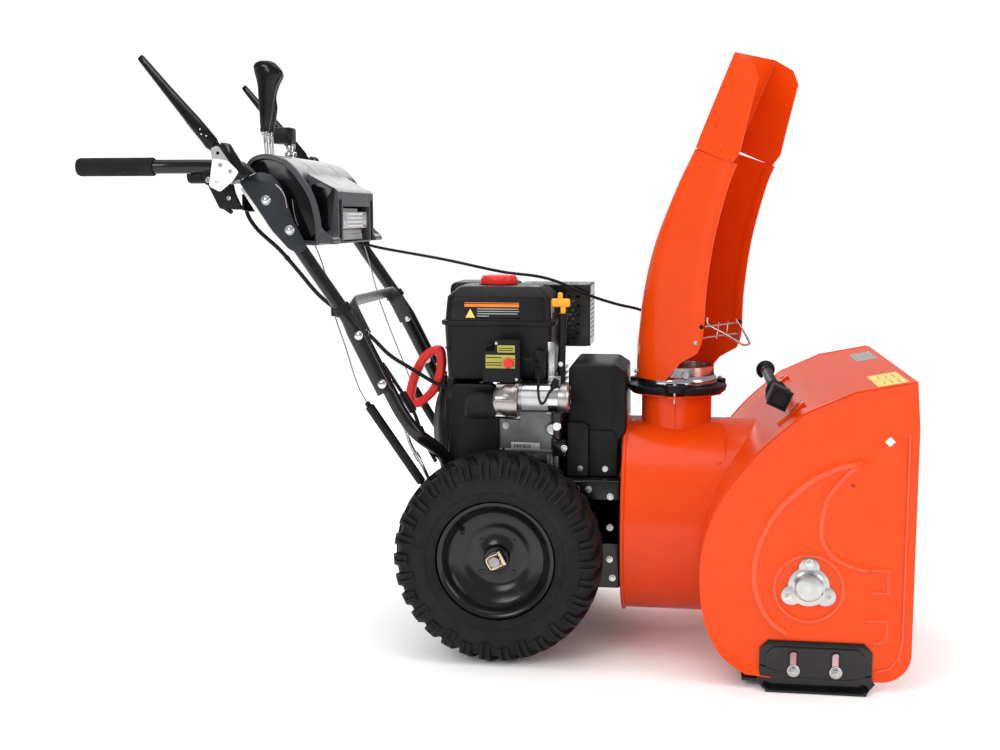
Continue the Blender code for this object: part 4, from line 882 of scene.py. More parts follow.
def auger(side, sign):
    """A serrated helical band on spokes, with its hub tube and shear bolt."""
    x, z = AUGER_AXIS
    low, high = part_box(f"auger_flight_{side}")
    inner, outer = sorted((abs(low.y), abs(high.y)))
    hub = Shape()
    bore, radius = 0.0113, 0.0165
    profile = [(bore, outer), (radius - 0.0006, outer), (radius, outer - 0.0006),
               (radius, inner + 0.0006), (radius - 0.0006, inner), (bore, inner)]
    hub.turned([(r, h) for r, h in profile], (x, 0, z), (0, sign, 0), 40)
    turns = 1.0
    count = 120
    start = math.radians(90 if sign < 0 else 270)
    sections = []
    for i in range(count + 1):
        share = i / count
        angle = sign * share * turns * 2 * math.pi + start
        tooth = (i % 4) / 3
        reach = AUGER_RADIUS - 0.008 * (1 - tooth)
        y = sign * (inner + 0.004 + (outer - inner - 0.008) * share)
        out = Vector((math.cos(angle), 0, math.sin(angle)))
        base = Vector((x, y, z))
        lean = Vector((0, 0.0019, 0))
        root = base + out * (AUGER_RADIUS - AUGER_BAND)
        tip = base + out * reach
        sections.append([root - lean, tip - lean, tip + lean, root + lean])
    hub.loft(sections)
    for share in (0.25, 0.75):
        angle = sign * share * turns * 2 * math.pi + start
        y = sign * (inner + 0.004 + (outer - inner - 0.008) * share)
        out = Vector((math.cos(angle), 0, math.sin(angle)))
        centre = Vector((x, y, z))
        hub.rod(centre + out * 0.012, centre + out * 0.112, 0.0075, 16)
        hub.rod(centre + out * 0.0155, centre + out * 0.0215, 0.0115, 20, 0.0015)
    piece(f"auger_{side}", hub, "orange", "auger_group", f"auger_flight_{side}", 30)
    pin = Shape()
    spot = Vector((x, sign * (inner + 0.030), z))
    pin.rod(spot - Vector((0, 0, 0.026)), spot + Vector((0, 0, 0.026)), 0.0035, 16)
    pin.bolt(spot + Vector((0, 0, 0.0170)), (0, 0, 1), 0.0060)
    pin.bolt(spot - Vector((0, 0, 0.0170)), (0, 0, -1), 0.0060)
    piece(f"shear_bolt_{side}", pin, "zinc", "auger_group")


for side, sign in SIDES.items():
    auger(side, sign)

x, z = AUGER_AXIS
case = Shape()
case.turned([(0, 0.036), (0.030, 0.036), (0.032, 0.033), (0.045, 0.028), (0.049, 0.022),
             (0.050, 0.016), (0.050, 0.003), (0.0525, 0.0025), (0.0525, -0.0025), (0.050, -0.003),
             (0.050, -0.016), (0.049, -0.022), (0.045, -0.028), (0.032, -0.033), (0.030, -0.036),
             (0, -0.036)], (x, 0, z), (0, 1, 0), 56)
case.turned([(0, 0.128), (0.020, 0.128), (0.024, 0.124), (0.024, 0.020), (0.026, 0.016),
             (0.026, 0.004), (0.024, 0.0), (0, 0)], (0.494, 0, IMPELLER_Z), (1, 0, 0), 40)
piece("auger_gear_case", case, "black_paint", "chassis", "auger_gearbox", 30)
bolts = Shape()
for i in range(6):
    angle = math.radians(25 + 60 * i)
    spot = Vector((x + 0.0425 * math.cos(angle), -0.0285, z + 0.0425 * math.sin(angle)))
    bolts.bolt(spot, (0, -1, 0), 0.0046)
    bolts.bolt(Vector((spot.x, 0.0285, spot.z)), (0, 1, 0), 0.0046)
piece("gear_case_bolts", bolts, "zinc", "chassis")

blades = Shape()
hub_z = IMPELLER_Z
blades.turned([(0.0098, 0.114), (0.021, 0.114), (0.022, 0.113), (0.022, 0.001), (0.021, 0),
               (0.0098, 0)], (0.258, 0, hub_z), (1, 0, 0), 40)
for i in range(4):
    turn = Matrix.Translation((0, 0, hub_z)) @ Matrix.Rotation(math.pi / 2 * i, 4, "X")
    outline = softened([(0.264, 0.020), (0.366, 0.020), (0.366, 0.150), (0.352, 0.166),
                        (0.264, 0.166)], 0.006, 3)
    blades.plate([(a, b) for a, b in outline], "Y", -0.0018, 0.0018, 0.0006, (), turn)
    blades.plate([(0.302, 0.030), (0.330, 0.030), (0.330, 0.140), (0.302, 0.140)], "Y", 0.0018,
                 0.0080, 0.0020, (), turn)
piece("impeller_blades", blades, "orange", "impeller_group", "impeller", 30)

# ------------------------------------------------------------------ clean-out tool

tool = Shape()
x, z = 0.511, 0.492
ribs = [(0, 0.200), (0.0085, 0.200), (0.0105, 0.197)]
for i in range(7):
    y = 0.190 - i * 0.010
    ribs += [(0.0108, y), (0.0108, y - 0.005), (0.0088, y - 0.0062), (0.0088, y - 0.0088)]
ribs += [(0.0100, 0.110), (0.0100, -0.060)]
for i in range(6):
    y = -0.066 - i * 0.016
    ribs += [(0.0082, y), (0.0082, y - 0.008), (0.0108, y - 0.0095), (0.0108, y - 0.0145)]
ribs += [(0.0095, -0.170), (0.0095, -0.200), (0, -0.200)]
tool.turned(ribs, (x, 0, z), (0, 1, 0), 32)
scoop_place = Matrix.Translation((x, 0, z)) @ Matrix.Rotation(math.radians(24), 4, "Y")
walls = [(-0.0165, -0.0165), (0.0165, -0.0165), (0.0165, 0.0165), (-0.0165, 0.0165)]
tool.plate([(a, b) for a, b in softened(walls, 0.003, 3)], "Y", -0.2610, -0.1950, 0.0010,
           [rounded((-0.0138, -0.0138), (0.0138, 0.0138), 0.002)], scoop_place)
tool.box((-0.0165, -0.204, -0.0165), (0.0165, -0.195, 0.0165), 0.0015, scoop_place)
tool.box((-0.0175, -0.2555, -0.0178), (0.0175, -0.2500, 0.0178), 0.0010, scoop_place)
piece("snow_clearing_tool", tool, "plastic", "chassis", "cleanout_tool", 35)
clip = Shape()
for y in (-0.165, 0.165):
    loop = arc((x, z), 0.0132, -60, 250, 18)
    clip.tube([(a, y, b) for a, b in loop], 0, profile=rounded((-0.0012, -0.007), (0.0012, 0.007),
                                                               0.0009, 2), up=None)
piece("tool_clips", clip, "plastic", "chassis")
bracket = Shape()
for y in (-0.215, 0.165):
    along = (Vector((0.549, 0, 0.474)) - Vector((0.475, 0, 0.406))).normalized()
    foot = Vector((0.533, 0, 0.4610))
    place = (Matrix.Translation((foot.x, y, foot.z))
             @ Matrix.Rotation(-math.atan2(along.z, along.x), 4, "Y"))
    bracket.box((-0.030, -0.016, -0.0020), (0.030, 0.016, 0.0040), 0.0015, place)
    bracket.dome(place @ Vector((0.020, 0, 0.0042)), place.to_3x3() @ Vector((0, 0, 1)), 0.006,
                 0.003, 20)
piece("tool_brackets", bracket, "orange", "chassis")

# ------------------------------------------------------------------ discharge chute

CHUTE_HEADING = math.radians(-30)
CHUTE_RADIUS = 0.0765
CHUTE_SHEET = 0.002
DEFLECTOR_PIVOT = (0.126, 0.912)
RING_TOP = 0.4835
CHUTE_TURN = Matrix.Rotation(CHUTE_HEADING, 3, "Z")


def chute_point(forward, across, height):
    """A point of the chute, from its own forward and sideways distances."""
    return Vector((CHUTE_X, 0, height)) + CHUTE_TURN @ Vector((forward, across, 0))


def channel(centre, front, radius, heights, corner, sheet=CHUTE_SHEET, flare=0.0, crease=0.0):
    """One U section: a back with round corners, and two side walls with a pressed crease."""
    back = centre - 0.577 * radius - 0.423 * corner
    steps = 18

    def wall(reach):
        points = []
        knee = back + corner
        for i in range(steps + 1):
            forward = front + (knee - front) * i / steps
            near_front = min(max((front - forward - 0.012) / 0.010, 0.0), 1.0)
            eased = near_front * near_front * (3 - 2 * near_front)
            points.append((forward, reach + flare * (1 - i / steps) + crease * (1 - eased)))
        return points

    def path(inset):
        reach = radius - inset
        left = wall(reach)
        turn = max(corner - inset, 0.0006)
        left += [(back + corner + turn * math.cos(math.radians(a)),
                  radius - corner + turn * math.sin(math.radians(a)))
                 for a in (101.25, 112.5, 123.75, 135, 146.25, 157.5, 168.75, 180)]
        flat = [(back + inset, (radius - corner) * (1 - i / 4)) for i in range(1, 4)]
        right = [(a, -b) for a, b in reversed(left)]
        middle = [(a, b) for a, b in flat] + [(back + inset, 0)]
        middle += [(a, -b) for a, b in reversed(flat)]
        return left + middle + right

    back_height, front_height = heights
    section = []
    for forward, across in path(0.0) + path(sheet)[::-1]:
        share = min(max((forward - back) / (front - back), 0), 1)
        section.append(chute_point(forward, across, back_height + (front_height - back_height) * share))
    return section


CHUTE_ROWS = [
    (0.000, 0.020, 0.496, 0.496, 1.00), (0.000, 0.050, 0.531, 0.531, 0.97),
    (0.000, 0.0855, 0.551, 0.551, 0.93), (0.003, 0.0955, 0.580, 0.580, 0.88),
    (0.0145, 0.1000, 0.664, 0.664, 0.72), (0.0395, 0.1135, 0.756, 0.756, 0.52),
    (0.0785, 0.1385, 0.847, 0.847, 0.34), (0.1180, 0.1565, 0.921, 0.891, 0.24),
]
fine_rows = [CHUTE_ROWS[0]] + [CHUTE_ROWS[1]] + smooth_line(
    [Vector(row) for row in CHUTE_ROWS[2:]], 5)
shape = Shape()
sections = []
for row_centre, row_front, row_back, row_high, row_corner in fine_rows:
    pressed_in = min(max((row_back - 0.56) / 0.06, 0), 1) * min(max((0.945 - row_back) / 0.04, 0), 1)
    sections.append(channel(row_centre, row_front, CHUTE_RADIUS, (row_back, row_high),
                            CHUTE_RADIUS * row_corner * 0.999, CHUTE_SHEET, 0.0,
                            -0.0032 * pressed_in))
shape.loft(sections)
piece("chute_channel", shape, "orange", "chute_lower", "chute", 50)

DEFLECTOR_RADIUS = CHUTE_RADIUS + CHUTE_SHEET + 0.0008
DEFLECTOR_ROWS = [
    (0.1228, 0.149, 0.9225, 0.8925), (0.1306, 0.165, 0.941, 0.911),
    (0.1490, 0.1752, 0.9812, 0.9532), (0.1680, 0.1862, 1.0225, 0.9960),
    (0.1863, 0.197, 1.0615, 1.037), (0.1968, 0.186, 1.084, 1.0625),
]
sections = []
for row_centre, row_front, row_back, row_high in DEFLECTOR_ROWS:
    sections.append(channel(row_centre, row_front, DEFLECTOR_RADIUS, (row_back, row_high), 0.0045))
shape = Shape().loft(sections)
piece("deflector_shell", shape, "orange", "chute_upper", "chute_deflector", 22)

metal = Shape()
for side_sign in (-1, 1):
    spot = chute_point(DEFLECTOR_PIVOT[0], side_sign * (DEFLECTOR_RADIUS - 0.0004), 0.922)
    out = CHUTE_TURN @ Vector((0, side_sign, 0))
    metal.dome(spot, out, 0.0052, 0.0022, 24)
piece("deflector_pins", metal, "orange", "chute_upper")

# The silver turning ring under the chute, with its bolts.
ring = Shape().turned(
    [(0.0635, 0.4980), (0.0645, 0.5195), (0.0660, 0.5200), (0.0700, 0.5190), (0.0712, 0.5020),
     (0.0745, 0.4975), (0.0757, 0.4950), (0.0757, 0.4860), (0.0745, 0.4840), (0.0635, 0.4840)],
    (CHUTE_X, 0, 0), (0, 0, 1), 96)
piece("turning_ring", ring, "chrome", "chute_lower")
bolts = Shape()
for angle in (-170, -78, -55, 110):
    turn = math.radians(angle)
    out = Vector((math.cos(turn), math.sin(turn), 0))
    if angle == -55:
        bolts.dome(Vector((CHUTE_X, 0, 0.5090)) - out * 0.0640, out, 0.0050, 0.0030, 20)
        continue
    spot = Vector((CHUTE_X, 0, 0.5065)) + out * 0.0762
    bolts.rod(spot, spot + out * 0.0012, 0.0062, 24)
    bolts.bolt(spot + out * 0.0010, out, 0.0056, False)
    bolts.rod(spot + out * 0.0040, spot + out * 0.0062, 0.0026, 14)
side_out = CHUTE_TURN @ Vector((0, -1, 0))
spot = chute_point(0.0835, -CHUTE_RADIUS + 0.0030, 0.571)
bolts.rod(spot, spot + side_out * 0.0016, 0.0085, 28)
bolts.bolt(spot + side_out * 0.0014, side_out, 0.0062, False)
bolts.rod(spot + side_out * 0.0045, spot + side_out * 0.0070, 0.0028, 14)
far_spot = chute_point(0.0835, CHUTE_RADIUS - 0.0030, 0.571)
bolts.rod(far_spot, far_spot - side_out * 0.0016, 0.0085, 28)
bolts.bolt(far_spot - side_out * 0.0014, -side_out, 0.0062, False)
piece("chute_bolts", bolts, "zinc", "chute_lower")

# The bent wire guard across the chute's mouth.
wires = Shape()
for forward, height in ((0.0930, 0.600), (0.0885, 0.579)):
    wires.tube([chute_point(forward, across, height) for across in (-0.0735, 0.0735)], 0.0021, 12)
loop = [(0.090, -0.050, 0.616), (0.0915, -0.046, 0.602), (0.108, -0.020, 0.586),
        (0.127, 0.012, 0.566), (0.130, 0.020, 0.5625), (0.130, 0.038, 0.5625),
        (0.127, 0.046, 0.566), (0.108, 0.052, 0.590), (0.094, 0.054, 0.606)]
wires.tube([chute_point(*p) for p in smooth_line(loop, 5)], 0.0021, 12)
for across in (-0.006, 0.030):
    wires.tube([chute_point(0.0905, across, 0.604), chute_point(0.0860, across, 0.5745)], 0.0019, 10)
piece("chute_wire_guard", wires, "chrome", "chute_lower")
for across_sign in (-1, 1):
    cap = Shape()
    spot = chute_point(0.0930, across_sign * 0.0745, 0.600)
    out = CHUTE_TURN @ Vector((0, across_sign, 0))
    cap.rod(spot - out * 0.006, spot + out * 0.0015, 0.0042, 18, 0.001)
    piece("wire_end_" + ("far" if across_sign > 0 else "near"), cap, "rubber", "chute_lower")

# ------------------------------------------------------------------ wheels

AXLE = (0.021, 0.190)
WHEEL_Y = 0.210
TYRE_WIDTH = 0.060
TREAD_RADIUS = 0.1896
LUGS = 30
CARCASS = smooth_line(
    [(0.1085, 0.0495, 0), (0.1135, 0.0530, 0), (0.1210, 0.0560, 0), (0.1340, 0.0585, 0),
     (0.1480, 0.0592, 0), (0.1600, 0.0575, 0), (0.1700, 0.0525, 0), (0.1765, 0.0440, 0),
     (0.1800, 0.0300, 0), (0.1815, 0.0140, 0), (0.1820, 0.0000, 0)], 4)
CARCASS = [(radius, across) for radius, across, _ in CARCASS]


def carcass_at(share):
    """A point on the tyre's surface and its normal; 0 is the sidewall's middle, 1 the crown."""
    first = 16
    spot = first + share * (len(CARCASS) - 1 - first)
    low = min(int(spot), len(CARCASS) - 2)
    a, b = Vector(CARCASS[low]), Vector(CARCASS[low + 1])
    point = a + (b - a) * (spot - low)
    along = (b - a).normalized()
    normal = Vector((-along.y, along.x))
    if normal.dot(Vector((point.x - 0.145, point.y))) < 0:
        normal = -normal
    return point, normal


def wheel_point(centre_y, radius, across, angle):
    return Vector((AXLE[0] + radius * math.cos(angle), centre_y + across,
                   AXLE[1] + radius * math.sin(angle)))


def tread_lug(shape, centre_y, way, angle, long_lug):
    """One tread block from the sidewall over the shoulder to the crown, hollowed on the side."""
    section = [(-1.08, -0.30), (-0.92, 1.0), (-0.36, 1.0), (-0.26, 0.0), (0.26, 0.0), (0.36, 1.0),
               (0.92, 1.0), (1.08, -0.30)]
    stations = 13
    start = 0.0 if long_lug else 0.10
    rows = []
    for i in range(stations + 1):
        share = start + (1.0 - start) * i / stations
        point, normal = carcass_at(share)
        across = point.y
        rise = min(1.0, 0.30 + share * 2.6) * 0.0075
        if share > 0.92:
            rise *= 1.0
        hollow = 0.75 * max(0.0, min(1.0, (0.52 - share) / 0.10)) * min(1.0, (share - start) / 0.05)
        width = 0.0088 + 0.0022 * min(share / 0.5, 1.0)
        skew = 0.115 * max(share - 0.42, 0.0) ** 1.1 * 1.6
        row = []
        for side_share, lift_share in section:
            lifted = rise * lift_share if lift_share < 0 else rise * (
                1.0 if lift_share > 0.5 else 1.0 - hollow)
            spot = point + normal * lifted
            radius = min(spot.x, TREAD_RADIUS)
            turn = angle + way * 0 + skew + side_share * width / radius
            row.append(wheel_point(centre_y, radius, way * spot.y, turn))
        rows.append(row)
    shape.loft(rows)


for side, sign in SIDES.items():
    centre_y = sign * WHEEL_Y
    shape = Shape()
    profile = [(r, y) for r, y in CARCASS] + [(r, -y) for r, y in CARCASS[-2::-1]]
    profile += [(0.1085, -0.0400), (0.1085, 0.0400)]
    shape.turned([(r, y) for r, y in profile], (AXLE[0], centre_y, AXLE[1]), (0, 1, 0), 120)
    for way in (-1, 1):
        for radius, height in ((0.1250, 0.0010), (0.1540, 0.0008)):
            near = min(CARCASS[:40], key=lambda p: abs(p[0] - radius))
            ring = [(radius - 0.0016, way * (near[1] - 0.001)), (radius - 0.0008, way * (near[1] + height)),
                    (radius + 0.0008, way * (near[1] + height)), (radius + 0.0016, way * (near[1] - 0.001))]
            shape.turned(ring, (AXLE[0], centre_y, AXLE[1]), (0, 1, 0), 120)
        for i in range(LUGS):
            angle = 2 * math.pi * (i + (0.5 if way > 0 else 0.0)) / LUGS
            tread_lug(shape, centre_y, way, angle, i % 2 == 0)
    piece(f"tyre_tread_{side}", shape, "tyre", "wheels", f"tyre_{side}", 28)

    shape = Shape()
    dish = [
        (0.0100, 0.0360), (0.0205, 0.0360), (0.0225, 0.0345), (0.0235, 0.0180), (0.0300, 0.0140),
        (0.0480, 0.0120), (0.0560, 0.0135), (0.0600, 0.0165), (0.0680, 0.0185), (0.0800, 0.0215),
        (0.0860, 0.0255), (0.0920, 0.0330), (0.0970, 0.0425), (0.1010, 0.0455), (0.1050, 0.0465),
        (0.1064, 0.0450), (0.1064, -0.0450), (0.1050, -0.0465), (0.0990, -0.0450),
        (0.0950, -0.0300), (0.0940, 0.0200), (0.0800, 0.0170), (0.0300, 0.0090),
        (0.0225, 0.0090), (0.0205, -0.0560), (0.0190, -0.0575), (0.0100, -0.0575),
    ]
    shape.turned(dish, (AXLE[0], centre_y, AXLE[1]), (0, sign, 0), 120)
    for i in range(4):
        angle = math.radians(45 + 90 * i)
        spot = Vector((AXLE[0] + 0.040 * math.cos(angle), centre_y + sign * 0.0125,
                       AXLE[1] + 0.040 * math.sin(angle)))
        shape.dome(spot, (0, sign, 0), 0.0055, 0.0016, 20)
    piece(f"rim_dish_{side}", shape, "black_paint", "wheels", f"rim_{side}", 30)

    valve = Shape()
    angle = math.radians(141)
    foot = Vector((AXLE[0] + 0.083 * math.cos(angle), centre_y + sign * 0.0220,
                   AXLE[1] + 0.083 * math.sin(angle)))
    lean = Vector((0.25 * math.cos(angle + math.pi), sign * 0.8, 0.25 * math.sin(angle + math.pi)))
    lean.normalize()
    valve.rod(foot - lean * 0.004, foot + lean * 0.003, 0.0062, 24, 0.0015)
    valve.rod(foot, foot + lean * 0.016, 0.0038, 20, 0.0008, 0.0030)
    valve.rod(foot + lean * 0.0145, foot + lean * 0.0225, 0.0042, 20, 0.0012)
    piece(f"valve_{side}", valve, "rubber", "wheels")

    # The klik pin through the axle's end: a straight pin and a square wire bail.
    hub_face = Vector((AXLE[0], centre_y + sign * 0.0470, AXLE[1]))
    tilt = math.radians(-27)
    place = (Matrix.Translation(hub_face) @ Matrix.Rotation(tilt, 4, "Y"))
    pin = Shape()
    pin.rod(place @ Vector((0.0135, 0, -0.013)), place @ Vector((0.0135, 0, 0.013)), 0.0031, 20)
    pin.box((0.0105, -0.0035, -0.0135), (0.0165, 0.0035, 0.0135), 0.0008, place)
    bail = [(0.010, sign * 0.0045, 0.0105), (-0.008, sign * 0.0045, 0.0110),
            (-0.0125, sign * 0.0045, 0.0065), (-0.0125, sign * 0.0045, -0.0065),
            (-0.008, sign * 0.0045, -0.0110), (0.010, sign * 0.0045, -0.0105)]
    pin.tube([place @ Vector(p) for p in smooth_line(bail, 4)], 0.0022, 12)
    pin.rod(place @ Vector((-0.0125, 0, 0)), place @ Vector((0.0135, 0, 0)), 0.0024, 14)
    piece(f"wheel_pin_{side}", pin, "brass", "wheels")
    stub = Shape()
    end = centre_y + sign * 0.0500
    stub.rod((AXLE[0], centre_y + sign * 0.030, AXLE[1]), (AXLE[0], end, AXLE[1]), 0.0092, 32, 0.001)
    stub.turned([(0.0096, 0.0012), (0.0145, 0.0012), (0.0145, 0.0), (0.0096, 0.0)],
                (AXLE[0], centre_y + sign * 0.0362, AXLE[1]), (0, sign, 0), 32)
    piece(f"axle_end_{side}", stub, "steel", "wheels")

# ------------------------------------------------------------------ tractor frame

AXLE_X, AXLE_Z = AXLE
FRAME_TOP = 0.286
FRAME_BOTTOM = 0.115
TOWER_TOP = 0.3175
CRANK_Z = 0.395


def open_box(low, high, wall, bevel=0.004):
    """A folded case that is open below."""
    shape = Shape()
    shape.box(low, (high[0], high[1], high[2]), bevel, None, 3)
    room = Shape().box((low[0] + wall, low[1] + wall, low[2] - 0.02),
                       (high[0] - wall, high[1] - wall, high[2] - wall), 0)
    return boolean(shape, room)


case = open_box((-0.105, -0.140, FRAME_BOTTOM), (0.2375, 0.140, FRAME_TOP), 0.0025)
tower = open_box((0.140, -0.1400, 0.195), (0.2375, 0.1400, TOWER_TOP), 0.0025)
for x, y, z in ((-0.085, 0, FRAME_TOP), (0.120, 0, FRAME_TOP)):
    case.box((x, -0.118, z - 0.0004), (x + 0.012, 0.118, z + 0.0016), 0.0008)
for sign in (-1, 1):
    # Folded lower flanges, a bearing plate for the axle and pressed ribs.
    low, high = sorted((sign * 0.1395, sign * 0.1440))
    case.plate(softened([(-0.022, 0.150), (0.064, 0.150), (0.078, 0.205), (0.060, 0.262),
                         (-0.010, 0.262), (-0.032, 0.205)], 0.010), "Y", low, high, 0.001)
    low, high = sorted((sign * 0.1435, sign * 0.1490))
    case.turned([(0.0105, 0.0055), (0.0240, 0.0055), (0.0255, 0.0040), (0.0255, 0), (0.0105, 0)],
                (AXLE_X, sign * 0.1435, AXLE_Z), (0, sign, 0), 40)
    for x0, x1 in ((-0.092, -0.050), (0.100, 0.150)):
        low, high = sorted((sign * 0.1390, sign * 0.1415))
        case.plate(rounded((x0, 0.140), (x1, 0.262), 0.008), "Y", low, high, 0.001)
shape = case
shape.add(tower.points, tower.faces)
# Side wings that carry the lower handles.
for sign in (-1, 1):
    low, high = sorted((sign * 0.1105, sign * 0.1395))
    shape.plate(softened([(-0.108, 0.250), (-0.060, 0.250), (-0.060, 0.288), (-0.108, 0.2895)],
                         0.006), "Y", low, high, 0.001)
piece("tractor_case", shape, "black_paint", "chassis", "tractor_frame", 30)

bolts = Shape()
for sign in (-1, 1):
    for dx, dz in ((-0.026, -0.020), (0.026, -0.020), (-0.026, 0.026), (0.026, 0.026)):
        bolts.bolt((AXLE_X + dx, sign * 0.1440, AXLE_Z + dz), (0, sign, 0), 0.0055)
    for x, z in ((0.1555, 0.3005), (0.1780, 0.3005), (0.2180, 0.2880), (0.2180, 0.2300),
                 (0.2180, 0.1700), (0.2235, 0.1350)):
        bolts.bolt((x, sign * 0.1405, z), (0, sign, 0), 0.0058)
    for z in (0.262, 0.276):
        bolts.bolt((-0.087, sign * 0.1395, z), (0, sign, 0), 0.0052)
for y, z in ((-0.105, 0.270), (0.105, 0.270), (-0.105, 0.140), (0.105, 0.140), (0, 0.275)):
    bolts.bolt((-0.1050, y, z), (-1, 0, 0), 0.0052)
piece("frame_bolts", bolts, "zinc", "chassis")

# Rear cover plate of the drive case.
cover = Shape()
cover.plate(rounded((-0.112, 0.128), (0.112, 0.266), 0.012), "X", -0.1068, -0.1045, 0.0008)
cover.plate(rounded((-0.075, 0.155), (0.075, 0.235), 0.014), "X", -0.1085, -0.1060, 0.0012)
piece("drive_case_cover", cover, "black_paint", "chassis")

# ------------------------------------------------------------------ engine

# Crankcase with ribs, side cover, mounting feet and the slanted cylinder with its fins.
block = Shape()
block.box((-0.030, -0.0960, FRAME_TOP + 0.012), (0.122, 0.108, 0.452), 0.010, None, 4)
block.box((-0.020, -0.1085, 0.308), (0.110, -0.0900, 0.4480), 0.006, None, 3)
block.box((-0.0225, -0.1100, 0.3600), (0.1125, -0.1050, 0.3680), 0.0015)
for y0, y1 in ((-0.110, -0.070), (0.070, 0.110)):
    block.box((-0.033, y0, FRAME_TOP + 0.0006), (0.125, y1, FRAME_TOP + 0.014), 0.003)
for i in range(5):
    x = 0.002 + i * 0.024
    block.box((x, -0.1100, 0.3130), (x + 0.0035, -0.1060, 0.3560), 0.0008)
for i in range(9):
    z = 0.392 + i * 0.0122
    block.box((-0.020, 0.084, z), (0.110, 0.190, z + 0.0042), 0.0008)
block.box((-0.006, 0.080, 0.388), (0.096, 0.176, 0.492), 0.006)
block.box((-0.016, 0.170, 0.398), (0.106, 0.184, 0.488), 0.004)
block.turned([(0.0131, 0.010), (0.038, 0.010), (0.042, 0.006), (0.046, 0.0), (0.0131, 0.0)],
             (0.1220, 0, CRANK_Z), (1, 0, 0), 48)
for x, y, z in ((-0.010, -0.1085, 0.4390), (0.100, -0.1085, 0.4390), (-0.010, -0.1085, 0.3200),
                (0.100, -0.1085, 0.3200), (0.045, -0.1085, 0.4400)):
    block.rod((x, y + 0.002, z), (x, y - 0.0012, z), 0.0078, 24, 0.001)
piece("engine_block", block, "aluminium", "chassis", "crankcase", 32)
bolts = Shape()
for x, z in ((-0.010, 0.4390), (0.100, 0.4390), (-0.010, 0.3200), (0.100, 0.3200)):
    bolts.bolt((x, -0.1097, z), (0, -1, 0), 0.0052, False)
bolts.bolt((0.0200, -0.1100, 0.4110), (0, -1, 0), 0.0060)
bolts.rod((0.1080, -0.1100, 0.4070), (0.1080, -0.1200, 0.4070), 0.0110, 28, 0.0015)
for x, z in ((0.000, 0.408), (0.090, 0.408), (0.000, 0.478), (0.090, 0.478)):
    bolts.bolt((x, 0.184, z), (0, 1, 0), 0.0050)
piece("engine_bolts", bolts, "zinc", "chassis")
plate_label = Shape().box((0.0300, -0.1114, 0.3665), (0.0840, -0.1100, 0.3800), 0.0003)
piece("serial_plate", plate_label, "label_silver", "chassis")
marks = Shape()
for i, width in enumerate((0.9, 0.5, 1.2, 0.6, 1.0, 0.5, 0.8, 1.3, 0.5, 0.9, 0.6, 1.1)):
    start = 0.0360 + i * 0.0026
    marks.box((start, -0.1117, 0.3700), (start + width * 0.0014, -0.1113, 0.3765), 0)
piece("plate_marks", marks, "dark", "chassis")

# The dipstick's tube.
tube_foot, tube_top = Vector((0.1210, -0.098, 0.440)), Vector((0.1255, -0.104, 0.622))
tube_along = (tube_top - tube_foot).normalized()
shape = Shape()
shape.turned([(0.0056, (tube_top - tube_foot).length), (0.0080, (tube_top - tube_foot).length),
              (0.0084, (tube_top - tube_foot).length - 0.006), (0.0070, 0.160), (0.0070, 0.010),
              (0.0085, 0.004), (0.0085, 0.0), (0.0056, 0.0)], tube_foot, tube_along, 28)
piece("filler_tube", shape, "plastic", "chassis")
dip = Shape()
dip.rod(tube_top - tube_along * 0.055, tube_top + tube_along * 0.010, 0.0047, 16)
dip.turned([(0, 0.0120), (0.0045, 0.0120), (0.0050, 0.0100), (0.0050, 0.0020), (0.0045, 0.0004),
            (0, 0.0004)], tube_top, tube_along, 36)
dip.box((0.1035, -0.1095, 0.6335), (0.1385, -0.0985, 0.6490), 0.0040, None, 4)
dip.box((0.1155, -0.1080, 0.6450), (0.1250, -0.1000, 0.6605), 0.0036, None, 4)
piece("oil_dipstick_handle", dip, "yellow", "oil_dipstick", "dipstick", 35)

# Fan shroud behind the block.
shroud_outline = rounded((-0.105, 0.293), (0.105, 0.4967), 0.045, 10)
shape = Shape()
shape.plate(shroud_outline, "X", -0.097, -0.0345, 0.005)
shape = boolean(shape, Shape().plate(rounded((-0.102, 0.296), (0.102, 0.4937), 0.042, 10), "X",
                                     -0.094, -0.02))
shape = boolean(shape, Shape().rod((-0.11, 0, CRANK_Z), (-0.08, 0, CRANK_Z), 0.070, 64, 0))
piece("fan_shroud", shape, "plastic", "chassis", "blower_housing", 32)
flank = Shape()
flank.plate(softened([(-0.0900, 0.3450), (-0.0700, 0.3050), (0.0060, 0.3050), (0.0078, 0.4000),
                      (0.0060, 0.4900), (-0.0800, 0.4900)], 0.012, 5), "Y", -0.1180, -0.1050, 0.0050)
for i in range(4):
    z = 0.3760 + i * 0.0090
    flank.box((-0.0900, -0.1120, z), (-0.0860, -0.0600, z + 0.0030), 0.0008)
piece("shroud_flank", flank, "plastic", "chassis")

# Recoil cover: a shallow dome with a band of slots.
dome = [(0, -0.1285), (0.030, -0.1288), (0.055, -0.1283), (0.062, -0.1265), (0.0665, -0.1225),
        (0.0900, -0.1130), (0.0950, -0.1095), (0.0978, -0.1040), (0.0980, -0.0978),
        (0.0950, -0.0978), (0.0930, -0.1040), (0.0880, -0.1085), (0.0640, -0.1190), (0.058, -0.1245),
        (0, -0.1255)]
shape = Shape().turned(dome[::-1], (0, 0, CRANK_Z), (1, 0, 0), 96)
slots = Shape()
for i in range(28):
    angle = 2 * math.pi * i / 28
    if 60 < math.degrees(angle) < 118:
        continue
    place = (Matrix.Translation((-0.1150, 0, CRANK_Z)) @ Matrix.Rotation(angle, 4, "X")
             @ Matrix.Translation((0, 0, 0.0800)))
    slots.box((-0.020, -0.0030, -0.0125), (0.020, 0.0030, 0.0085), 0, place)
shape = boolean(shape, slots)
